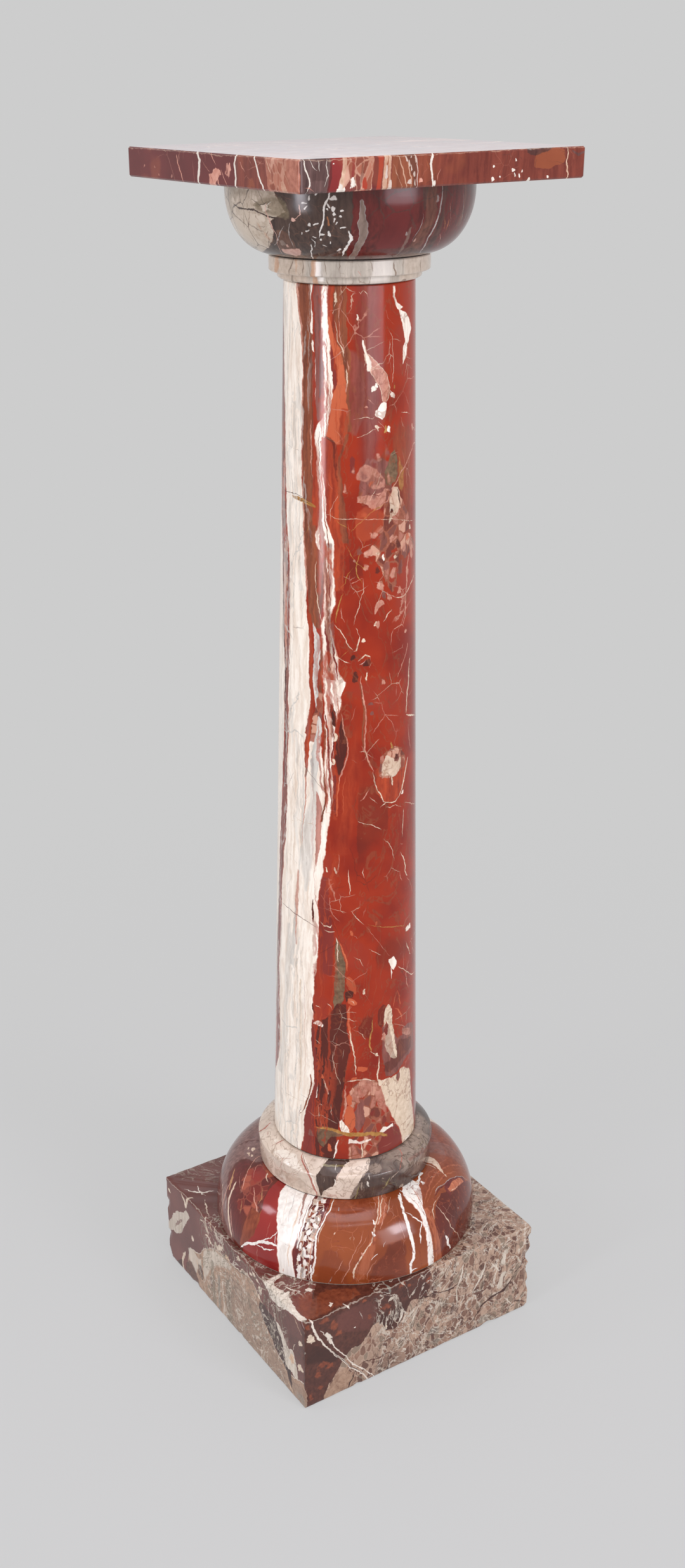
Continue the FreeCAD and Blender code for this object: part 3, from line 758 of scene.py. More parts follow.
    # the pink and beige country right of the front, 600 to 690
    s.layer("mauve", (8, 640, 660), (16, 630, 668), (30, 628, 668), (40, 636, 660), soft=2, ragged=6)
    s.layer("pink", (6, 651, 655), (10, 650, 662), (14, 648, 664), (20, 642, 662), (24, 641, 659),
        (30, 642, 652), (33, 643, 648), ragged=3, soft=1.5, strength=0.75)
    s.layer("mauve", (8, 646, 651), (14, 641, 650), (20, 646, 655), (27, 643, 650), ragged=3, soft=1.5,
        strength=0.7)
    s.layer("olive", (31, 652, 656), (34, 644, 660), (38, 644, 670), (43, 646, 672), (46, 652, 662),
        ragged=3)
    s.layer("pink", (7, 634, 638), (14, 632, 639), (20, 626, 638), (26, 625, 638), (32, 630, 642),
        (37, 636, 641), ragged=4, strength=0.85)
    s.clasts(("mauve", 12, 655, 9, 12, 20), ("wine", 22, 662, 10, 6, -30),
        ("salmon", 18, 648, 7, 5, 40), ("mauve", 28, 649, 8, 6, -20), ("rust", 10, 640, 7, 8, 30),
        ("mauve", 22, 637, 6, 9), ("pink", 26, 668, 5, 8, 20), ("pink", 4, 660, 4, 9, -10),
        ("wine", 30, 628, 8, 7, 30), ("pink", 36, 650, 5, 12, 10), ("salmon", 14, 622, 8, 6, -20),
        ("mauve", 34, 672, 6, 14, 10), soft=0.8, strength=0.8)
    s.vein("cream", 0.8, (16, 630), (22, 640), (27, 652), (30, 664), ragged=1.2)
    s.vein("wine", 0.8, (8, 648), (16, 640), (26, 636), (34, 645), ragged=1.6)
    s.layer("rubble", (30, 592, 628), (34, 596, 640), (44, 596, 640), (54, 602, 626), (62, 604, 618),
        ragged=5)
    s.layer("cream", (36, 612, 634), (40, 618, 642), (45, 622, 642), (48, 628, 636), ragged=4,
        strength=0.7)
    s.vein("maroon", 2.4, (45, 640), (47, 632), (49, 626), ragged=2.0)
    s.clast("maroon", 38, 624, 3, 4)
    s.layer("rubble", (22, 604, 609), (28, 598, 614), (34, 596, 610), ragged=3)
    s.layer("ochre", (47, 640, 668), (50, 636, 660), (54, 640, 655), ragged=5, soft=2, strength=0.6)
    s.vein("pink", 1.6, (24, 626), (34, 632), (42, 643), (50, 652), (60, 661), (72, 671), (84, 673),
        ragged=1.2)
    s.vein("cream", 0.7, (-25, 626), (-10, 621), (6, 620), (24, 618), (42, 616), (60, 612), (72, 610),
        ragged=0.6)
    s.vein("ochre", 1.1, (2, 609), (10, 616), (18, 623), (26, 627), (33, 630), ragged=0.9)
    s.vein("ochre", 1.1, (-12, 623), (-5, 616), (4, 611), ragged=0.9)
    s.vein("pink", 0.8, (2, 632), (0, 622), (2, 612), (0, 600), ragged=1.4)
    s.layer("ochre", (-56, 633, 635), (-48, 631, 635.5), (-38, 629, 633), (-32, 627.5, 631),
        (-28, 628, 629), ragged=0.8)
    s.vein("maroon", 0.9, (-88, 636), (-62, 636), (-50, 637), (-40, 634), (-30, 629), ragged=0.6)
    s.vein("maroon", 0.8, (-56, 635), (-46, 632), (-36, 630.5), (-31, 628.5), ragged=0.5)
    s.layer("salmon", (7, 604, 626), (14, 600, 630), (24, 604, 628), (32, 612, 624), ragged=3, soft=3,
        strength=0.45)
    s.vein("ochre", 0.8, (-41, 601), (-36, 608), (-31, 620), ragged=0.8)

    # busy breccia of 540 to 600
    s.layer("rubble", (14, 588, 592), (20, 589, 597), (30, 587, 602), (44, 590, 602), (56, 580, 602),
        (66, 586, 600), (76, 582, 590), ragged=5)
    s.layer("rubble", (24, 584, 590), (28, 580, 594), (32, 570, 592), (36, 560, 592), (40, 555, 588),
        (45, 562, 588), (48, 584, 592), ragged=4)
    s.clasts(("pink", 22, 606, 8, 7, 20), ("mauve", 30, 604, 7, 9, -20), ("pink", 40, 600, 9, 6, 30),
        ("maroon", 46, 594, 7, 9, 10), ("pink", 54, 590, 8, 10, -15), ("salmon", 60, 598, 7, 8, 20),
        ("pink", 68, 584, 7, 12), ("mauve", 34, 578, 9, 8, 20), ("pink", 42, 572, 6, 10, -20),
        ("maroon", 26, 576, 5, 8, 10), ("pink", 16, 580, 5, 6, 40), ("mauve", 50, 574, 7, 12, -10),
        ("pink", 36, 552, 5, 9, 15), ("pink", 48, 556, 4, 8, -20), ("mauve", 10, 594, 5, 7, 20),
        ("pink", 60, 570, 5, 9, 10), ("cream", 44, 584, 4, 4, 30), ("cream", 26, 590, 4, 3, -30),
        ("cream", 64, 606, 4, 6, 20), ("pink", 6, 586, 3, 4), soft=0.35, strength=0.85)
    s.clasts(("white", 31.5, 585, 2.2, 7, 15), ("pink", 18, 592, 8, 8, 25),
        ("pink", 29, 562, 7, 9, -20), ("mauve", 31, 554, 4, 8))
    s.layer("pink", (21, 538, 542), (24, 541, 548), (28, 544, 550), (31, 545, 548))
    s.clasts(("pink", 25, 529, 7, 6, -50), ("cream", 22.5, 530, 2, 5, -25))
    s.vein("cream", 1.8, (30, 530), (34, 536), (39, 540))
    s.vein("pink", 1.2, (38.5, 510), (40, 519), (42, 523), ragged=0.8)
    s.vein("pink", 1.0, (41, 523), (46, 524.5), (52, 525), (55, 522), ragged=0.8)
    s.vein("pink", 1.2, (44, 532), (49, 533), (52, 540))
    s.vein("cream", 1.4, (42, 551), (50, 549), (57, 551), (66, 557), (76, 562), ragged=1.4)
    s.vein("pink", 2.0, (62, 583), (59, 565), (56.5, 552), (56, 540), (56, 532), (53, 524), ragged=1.4)
    s.vein("pink", 1.4, (60, 507), (56, 497), (50, 486), (46, 480), ragged=1.4)
    s.vein("pink", 0.9, (46, 473), (44, 468), (43.5, 464), ragged=0.8)
    s.vein("cream", 2.0, (64, 492), (63.5, 478), (61, 465), (59, 455), (57, 444), ragged=1.6)
    s.vein("cream", 1.6, (57, 443), (62, 440), (72, 436), (80, 432), ragged=1.6)
    s.vein("pink", 1.2, (60, 434), (62, 420), (66, 406), ragged=1.2)
    s.clasts(("pink", 57, 518, 4, 3, 30), ("pink", 31.5, 480, 4, 6), ("mauve", 20, 462, 6, 3),
        ("mauve", 21.5, 453, 3, 5))
    s.layer("maroon", (2, 570, 592), (6, 566, 590), (14, 570, 586), soft=5, ragged=8, strength=0.35)
    s.vein("ochre", 0.9, (-2, 600), (3, 592), (8, 584), (14, 579), (18, 580))
    s.vein("ochre", 0.9, (14, 602), (10, 590), (8, 580), (9, 572), (13, 565), ragged=1.2)
    s.vein("ochre", 0.8, (-8, 561), (-2, 566), (1, 574), (6, 580), ragged=0.8)
    s.vein("pink", 0.9, (3, 566), (8, 568), (14, 570), ragged=1.4)
    s.vein("cream", 0.8, (13.5, 570), (13, 560), (9, 548), (5.5, 538), (4.5, 531), ragged=0.7)
    s.vein("ochre", 1.2, (-5, 558), (-8, 549), (-9, 540), (-10, 533), ragged=1.2)
    s.vein("pink", 1.2, (-6, 546), (-5, 537), (-2, 534), ragged=0.8)
    s.vein("cream", 1.3, (-11, 532), (-6, 526), (-2, 521), (1, 513), (5, 509))
    s.vein("cream", 1.6, (4, 509), (7, 510), (9, 517), (10, 521), ragged=1.2)
    s.vein("cream", 0.8, (10, 520), (7.5, 527), (6, 529), ragged=0.6)
    s.clast("cream", 13, 518, 3, 3)
    s.vein("ochre", 0.8, (-8, 502), (-3, 507), (0, 511), ragged=0.6)
    s.vein("cream", 0.8, (-14, 506), (-8, 503), (-2, 499), (2, 498), ragged=0.6)
    s.clast("maroon", 4, 504, 6, 6, 20)
    s.vein("cream", 1.6, (8, 500), (11, 503), (14, 505), (18, 503), (20, 498), (18.5, 493), ragged=0.8)
    s.clast("maroon", 15.5, 497.5, 8.5, 7)
    s.vein("white", 0.9, (9, 497), (12, 498), (14.5, 501), ragged=0.5)
    s.clasts(("cream", 16.3, 486, 1.8, 9, 6), ("maroon", 6.5, 486, 5, 12))

    # the long vein down the front, and the dark wedge
    s.vein("rust", 2.6, (12, 489), (10.5, 476), (12.5, 464), (14.5, 455), (13, 438), (14, 425),
        (15, 415), (20, 402), ragged=1.2, soft=1.2)
    s.vein("pink", 1.7, (11.2, 488), (11.2, 476), (13, 465), (15.8, 455), (16, 440), (15.5, 430),
        (14.7, 420), (17, 411), (20, 405), (23, 399), ragged=1.1)
    s.band("maroon", (450, -5.5, -4.5), (438, -7, -2.5), (430, -8, 0.2), (420, -9.5, 0.5),
        (412, -9.5, -2), (402, -8, -4), (396, -7.5, -6.5), ragged=1.6)
    s.vein("pink", 1.5, (-5.5, 453), (-4, 441), (-0.5, 430), (1.3, 423), (0.8, 417), (-2, 408),
        (-5, 398), (-6.5, 388))
    s.vein("salmon", 1.6, (-6, 398), (-7, 385), (-8.5, 370), (-9, 358), ragged=1.2)
    s.vein("salmon", 0.8, (0, 400), (-3, 386), (-3.5, 372), (-4, 360), ragged=0.8)
    s.band("brick", (490, -4, 0), (460, -4, 8), (430, 2, 12), (400, -6, 14), (360, -10, 10),
        (320, -12, 4), soft=10, ragged=4, strength=0.5)

    # the eye and its cup
    s.layer("brick", (22, 384, 400), (26, 376, 404), (32, 368, 406), (40, 366, 406), (48, 368, 404),
        (54, 378, 402), (58, 392, 400), ragged=1.5)
    s.vein("cream", 1.3, (21.5, 401), (22, 392), (25, 383), (29, 374), (31, 368), ragged=0.9)
    s.vein("cream", 1.3, (30, 369), (36, 366), (42, 365), (47, 369), ragged=0.9)
    s.vein("cream", 2.0, (46, 367), (51, 375), (54, 383), (57, 391), (60, 402), ragged=1.2)
    s.clast("white", 52, 371, 3, 5, -20)
    s.layer("rubble", (26, 396, 400), (28, 392, 412), (34, 390, 416), (42, 390, 418), (50, 394, 414),
        (56, 396, 404), ragged=4)
    s.layer("cream", (28, 394, 404), (34, 392, 412), (42, 390, 406), (50, 396, 406), ragged=5,
        strength=0.8)
    s.vein("cream", 2.4, (38, 391), (39, 386), (39, 382))
    s.clasts(("mauve", 44.5, 407, 7, 9), ("maroon", 44, 408, 4.5, 6), ("ochre", 39.5, 420, 2.4, 7))
    s.vein("cream", 0.6, (34, 416), (42, 414), (52, 412), ragged=0.5)

    # thin veins of the middle
    s.vein("cream", 0.9, (18, 377), (22, 373), (26, 368), ragged=0.5)
    s.vein("pink", 1.2, (10, 373), (13, 375), (16, 381), (18, 385))
    s.vein("cream", 1.1, (28, 363), (31, 366), (33, 367), ragged=0.7)
    s.vein("cream", 0.8, (33, 363), (37, 361), (43, 362), (50, 357), ragged=0.9)
    s.vein("cream", 0.8, (54, 359), (62, 356), (70, 352), (80, 350), ragged=0.6)
    s.vein("cream", 0.8, (8, 354), (13, 351), (21, 349), (26, 345), (30, 341), ragged=0.6)
    s.vein("cream", 0.9, (31, 333), (36, 327), (41, 318), (44.5, 308), ragged=0.7)
    s.vein("cream", 1.3, (53, 354), (52, 342), (51, 328), ragged=0.9)
    s.vein("cream", 1.1, (49, 322), (53, 321), ragged=0.9)
    s.vein("cream", 1.3, (50, 315), (54, 308), (57, 298), (56.5, 292), (59, 285), ragged=0.9)
    s.vein("pink", 1.0, (49, 296), (51, 288), (53, 284), ragged=0.8)
    s.vein("pink", 0.9, (58, 284), (64, 276), (70, 264), ragged=0.6)
    s.vein("cream", 1.1, (2.3, 309), (3, 298), (4, 292), (4.5, 284), ragged=0.7)
    s.vein("cream", 1.0, (14.5, 309), (13.5, 304), (14.5, 299), ragged=0.6)
    s.clasts(("cream", -8, 308, 2.2, 7, 18), ("cream", -16, 307, 1.8, 6, 10))
    s.vein("pink", 1.0, (-7, 322), (-6, 312), (-5.5, 306), ragged=1.8)
    s.vein("pink", 0.7, (-2.5, 321), (-2, 313), ragged=0.8)
    s.vein("cream", 1.2, (-19, 296), (-14, 296), (-11, 298))
    s.vein("pink", 1.8, (-14, 299), (-12, 291), (-9, 285), (-7, 276), ragged=2.2)
    s.vein("pink", 1.0, (-12, 279), (-12.5, 272), (-10, 262), (-7, 257), (-4, 254), ragged=0.8)
    s.band("wine", (300, -21, -13), (280, -22, -12.5), (260, -23, -11), (240, -22.5, -10),
        (200, -21.5, -9.5), ragged=1, soft=1.6, strength=0.9)
    s.clasts(("salmon", 25, 252, 2.4, 5), ("salmon", 3.5, 244, 3, 5))
    s.vein("cream", 1.0, (4, 267), (7, 262), (10, 256), (14, 252), ragged=0.5)
    s.vein("pink", 0.6, (12, 254), (18, 246), (26, 233), (34, 219), (38, 213), ragged=0.5)
    s.vein("ochre", 0.9, (16, 253), (28, 248), (40, 243), (50, 240), (58, 237), ragged=0.4)
    s.vein("cream", 1.3, (-22, 254), (-18, 250), (-13, 249), (-11, 252), ragged=0.6)
    s.vein("cream", 1.3, (-18, 246), (-14, 244), (-10, 245), ragged=0.5)
    s.vein("pink", 0.7, (-20, 281), (-16, 275), (-12, 270), ragged=0.5)
    s.vein("pink", 0.6, (-23, 267), (-17, 266), ragged=0.4)
    s.vein("maroon", 1.0, (-68, 256), (-55, 255), (-46, 253), (-36, 252), (-30, 250), (-23, 247),
        ragged=0.3)
    s.layer("brick", (-26, 306, 380), (-24, 312, 378), (-21, 330, 366), ragged=3, strength=0.75)
    s.band("maroon", (275, -27, -26), (266, -29, -26.5), (256, -29.5, -27), (252, -28, -27.5),
        ragged=1.4)
    s.clasts(("white", 61, 233, 8, 6, 10), ("white", 65, 234, 4, 6, -20))
    s.vein("cream", 1.6, (58, 222), (62, 212), (66, 202), ragged=1.6)
    s.layer("white", (36, 208, 211), (39, 202, 212), (42, 198, 213), (45, 203, 206), ragged=3)
    s.vein("white", 1.6, (39, 205), (40, 196), (40, 189), ragged=1.2)
    s.vein("pink", 1.0, (50, 211), (53, 213), ragged=0.8)
    s.vein("cream", 0.8, (18, 227), (24, 222), (30, 218), ragged=0.5)
    s.vein("cream", 1.2, (5, 242), (8, 239), ragged=0.5)
    s.vein("cream", 0.9, (5, 221), (10, 218), (15, 208), ragged=0.8)

    # 120 to 240: olive wedge, salmon vein, brown and cream patches
    s.band("olive", (238, -9.5, -8), (228, -9.5, -4), (216, -9, -1), (204, -8.5, -0.5), (190, -9.5, 0),
        (175, -10, -1), (165, -9.5, -4.5), (160, -9.5, -8), ragged=1.5, soft=1)
    s.vein("cream", 1.2, (-9.5, 240), (-8, 233), (-7, 226), (-6.5, 215), ragged=1.6)
    s.vein("salmon", 1.8, (-7, 236), (-3, 226), (0, 217), (0, 205), ragged=1.2)
    s.layer("salmon", (0, 192, 200), (3, 186, 200), (6, 182, 196), (8, 180, 190), ragged=2,
        strength=0.6)
    s.layer("maroon", (0, 172, 184), (3, 176, 186), (6, 178, 184), ragged=1.5)
    s.band("maroon", (172, -6, 1), (165, -10, 1.5), (156, -14, 2), (150, -21, 2), (140, -23, 2.5),
        (120, -24, 4), (100, -23, 0.5), (85, -22, -1), (70, -23, -2), (50, -24, -3), (36, -23, -5),
        (28, -24, -6), (0, -24, -8), ragged=1.2)
    s.band("wine", (150, -28, -23), (130, -28, -24), (110, -27, -23), (90, -26, -22), (80, -26, -22),
        (62, -30, -24), (40, -33, -24), (0, -37, -24), ragged=1)
    s.vein("cream", 0.8, (-9.5, 120), (-9, 104), (-6.5, 92), (-4.5, 84), ragged=0.6)
    s.vein("cream", 1.8, (-17, 88), (-15, 79), (-13.5, 72))
    s.clast("salmon", -18, 91, 3, 6)
    s.vein("pink", 0.8, (-13, 70), (-13.5, 62), ragged=0.6)
    s.vein("cream", 1.0, (-24, 130), (-21, 127), (-20, 125), ragged=0.8)
    s.vein("cream", 1.0, (-22, 56), (-20, 60), (-17, 59), ragged=0.8)
    s.vein("cream", 1.4, (-21, 57), (-20.5, 50), (-20.3, 44), ragged=0.8)
    s.vein("cream", 0.7, (-31, 48), (-24, 45), (-18, 48), (-10, 44), (-5, 41), ragged=0.5)
    s.vein("cream", 0.8, (-10.5, 62), (-11, 54), (-9.8, 50), ragged=0.6)
    s.vein("pink", 1.0, (-19.3, 44), (-19, 37), (-20, 30), ragged=0.8)
    s.clasts(("white", -21.7, 147.5, 8, 5), ("white", -19, 146.5, 3, 3))
    s.vein("cream", 1.0, (-24, 165.5), (-21, 165), (-19, 164), ragged=0.4)
    s.vein("cream", 1.0, (-14, 171), (-11.5, 168), (-10.3, 164), ragged=0.5)
    s.vein("maroon", 1.8, (-27, 167), (-26.8, 161), (-25, 156), ragged=0.8)
    s.vein("brick", 2.4, (-25.5, 204), (-25, 190), (-25, 172), ragged=1.6)
    s.layer("salmon", (2, 172, 177), (5, 170, 177), (8, 169, 175), (10, 170, 173))
    s.vein("cream", 0.9, (4, 174), (7, 173), (9, 169), ragged=0.8)
    s.vein("salmon", 2.6, (4, 170), (3, 160), (3.5, 150), (4, 140), (3.5, 132), ragged=1.4)
    s.vein("cream", 1.6, (4.2, 142), (4.2, 132), (6, 123), (8, 112), (8.5, 102), (8, 92))
    s.clast("cream", 14.5, 183, 2.2, 6, -10)
    s.vein("pink", 0.5, (10, 190), (16, 179), (22, 165), ragged=0.4)
    s.layer("maroon", (10, 138, 146), (14, 132, 156), (19, 130, 158), (22, 138, 156), ragged=2, soft=4,
        strength=0.6)
    s.vein("ochre", 1.5, (21.5, 152), (21.5, 142), (19.5, 134), (19, 125), (21, 118))
    s.vein("cream", 1.4, (20, 119), (23, 115), (25, 112), ragged=0.8)
    s.clast("cream", 25, 113.5, 4, 4)
    s.vein("cream", 0.8, (6, 144), (9, 147), (13, 137), (16, 131), ragged=0.6)
    s.vein("cream", 1.8, (27.5, 113), (27, 100), (25.5, 92), (27.5, 82), ragged=1.4)
    s.layer("mauve", (30, 108, 140), (34, 86, 144), (40, 84, 140), (46, 86, 122), (60, 96, 124),
        (74, 96, 122), ragged=4)
    s.layer("maroon", (31, 92, 102), (38, 88, 104), (48, 94, 120), (58, 98, 118), (68, 100, 116),
        ragged=5, soft=2, strength=0.7)
    s.layer("maroon", (26, 146, 160), (30, 140, 166), (33, 150, 164), ragged=2, strength=0.7)
    s.layer("cream", (32, 140, 160), (35, 146, 165), (38, 138, 162), (40, 128, 157), (42, 110, 140),
        (44, 103, 118), (46, 101, 106), ragged=3)
    s.layer("cream", (33, 120, 138), (37, 108, 140), (42, 102, 135), (45, 101, 108), ragged=3,
        strength=0.5)
    s.clasts(("wine", 34.5, 136, 6, 13, -20), ("pink", 32, 131, 5, 12))
    s.vein("salmon", 1.8, (41, 158), (43, 168), (46, 174), ragged=1.2)
    s.vein("salmon", 1.8, (46, 174), (49, 168), (51, 158), ragged=1.2)
    s.vein("salmon", 1.8, (42, 158), (48, 154), (52, 146), (54, 136), ragged=1.2)
    s.layer("mauve", (52, 118, 130), (60, 116, 132), (72, 112, 126), ragged=3)
    s.layer("pink", (52, 124, 131), (58, 120, 127), (66, 116, 124), ragged=3, strength=0.7)
    s.vein("cream", 1.2, (46, 201), (52, 194), (58, 187), (66, 181), (78, 177), ragged=0.6)
    s.vein("pink", 1.0, (62, 198), (57, 186), (58, 176), (62, 168), ragged=1.2)

    # the foot: pink breccia, cream wedge and the mustard vein
    s.layer("rubble", (3, 50, 76), (8, 48, 84), (14, 60, 90), (20, 56, 88), (28, 40, 84), (34, 34, 60),
        (40, 30, 46), ragged=3)
    s.layer("pink", (4, 72, 76), (8, 70, 82), (14, 68, 90), (18, 76, 89), (24, 70, 84), (30, 44, 74),
        (36, 38, 52), ragged=5, strength=0.6)
    s.layer("rubble", (3, 0, 22), (10, 0, 26), (20, 0, 30), (28, 0, 34), (34, 0, 24), ragged=3)
    s.layer("rubble", (14, 28, 60), (24, 28, 60), (34, 28, 46), ragged=3)
    s.vein("cream", 1.2, (1, 87), (7, 88), (14, 89), (20, 87), (25, 85), ragged=0.8)
    s.clast("salmon", 7, 90, 6, 3)
    s.layer("salmon", (10, 98, 103), (14, 97, 103), (18, 99, 102))
    s.layer("mauve", (7, 38, 52), (10, 30, 62), (13, 34, 68), (15, 44, 66), ragged=1.8)
    s.layer("salmon", (0, 44, 60), (3, 28, 62), (6, 32, 58), (8, 40, 50), ragged=1.2)
    s.layer("salmon", (1, 62, 70), (3, 60, 74), (5, 62, 70), ragged=1.4)
    s.vein("pink", 1.6, (0.5, 84), (0, 70), (0, 55), (-1, 46))
    s.layer("white", (-4, 38, 45), (-2, 33, 47), (1, 29, 40), (4, 30, 34))
    s.clasts(("wine", 22.5, 50, 6, 9, -20), ("wine", 33, 37, 5, 10))
    s.layer("wine", (28, 0, 12), (34, 0, 28), (40, 0, 32), (44, 0, 28), (49, 0, 18), (53, 0, 6),
        ragged=1)
    s.layer("cream", (27, 81, 86), (32, 76, 84), (38, 82, 84))
    s.layer("white", (28, 24, 26), (32, 24, 30), (37, 25, 28), (42, 26, 30), ragged=2)
    s.band("cream", (88, 50, 56), (84, 49, 58), (82, 34, 62), (78, 30, 65), (70, 31, 66), (60, 33, 67),
        (50, 37, 68), (40, 41, 69), (30, 45, 71), (20, 49, 72), (10, 52, 74), (0, 54, 76), ragged=1.4,
        rim=("pink", 0.6))
    s.band("white", (6, 54, 60), (3, 54.5, 66), (0, 55, 74), ragged=2, soft=3, strength=0.7)
    s.layer("mauve", (45, 78, 84), (48, 75, 85), (50, 78, 84), ragged=1)
    s.vein("wine", 1.4, (66, 44), (69, 38), (74, 28))
    s.band("mauve", (60, 70, 96), (40, 72, 98), (0, 78, 100), ragged=4, soft=2, strength=0.8)
    s.clast("mauve", -27, 25, 5, 8)
    s.layer("olive", (-22, 18, 33), (-17, 12, 36), (-10, 26, 36), (-5, 27, 34), (-1, 28, 31), ragged=2,
        strength=0.8)
    s.layer("ochre", (-24, 32, 33), (-16, 32, 35), (-8, 32, 36), (-3, 30, 34), (4, 26, 31),
        (12, 25, 30), (20, 25, 29), (26, 22, 27), (31, 20, 24), (36, 17, 20), ragged=1.2)
    s.clast("salmon", -12, 13, 3.5, 10)
    s.vein("white", 2.0, (-5, 24), (-7, 12), (-8.5, 0), ragged=1.2)
    s.vein("cream", 1.5, (14, 18), (14.5, 9), (13, 0), ragged=1.4)
    s.layer("white", (3, 18, 24), (7, 18, 22), (13, 17, 20), (22, 19, 22), ragged=3, strength=0.8)

    # hairlines over the red, fewer on the left
    s.hairlines("gray", "fibres", 0.5, (-78, -36))
    s.hairlines("rust", "curls", 0.45, (-8, 100))
    s.hairlines("brick", "fibres", 0.75, (-27, -8))
    s.hairlines("pink", "wide_net", 0.7, (-14, 100))
    s.hairlines("cream", "fine_net", 0.6, (-10, 176))
    s.hairlines("maroon", "dark_net", 0.5, (-170, 172))
    return s.finish(0.11, 0.08, level=0.42)


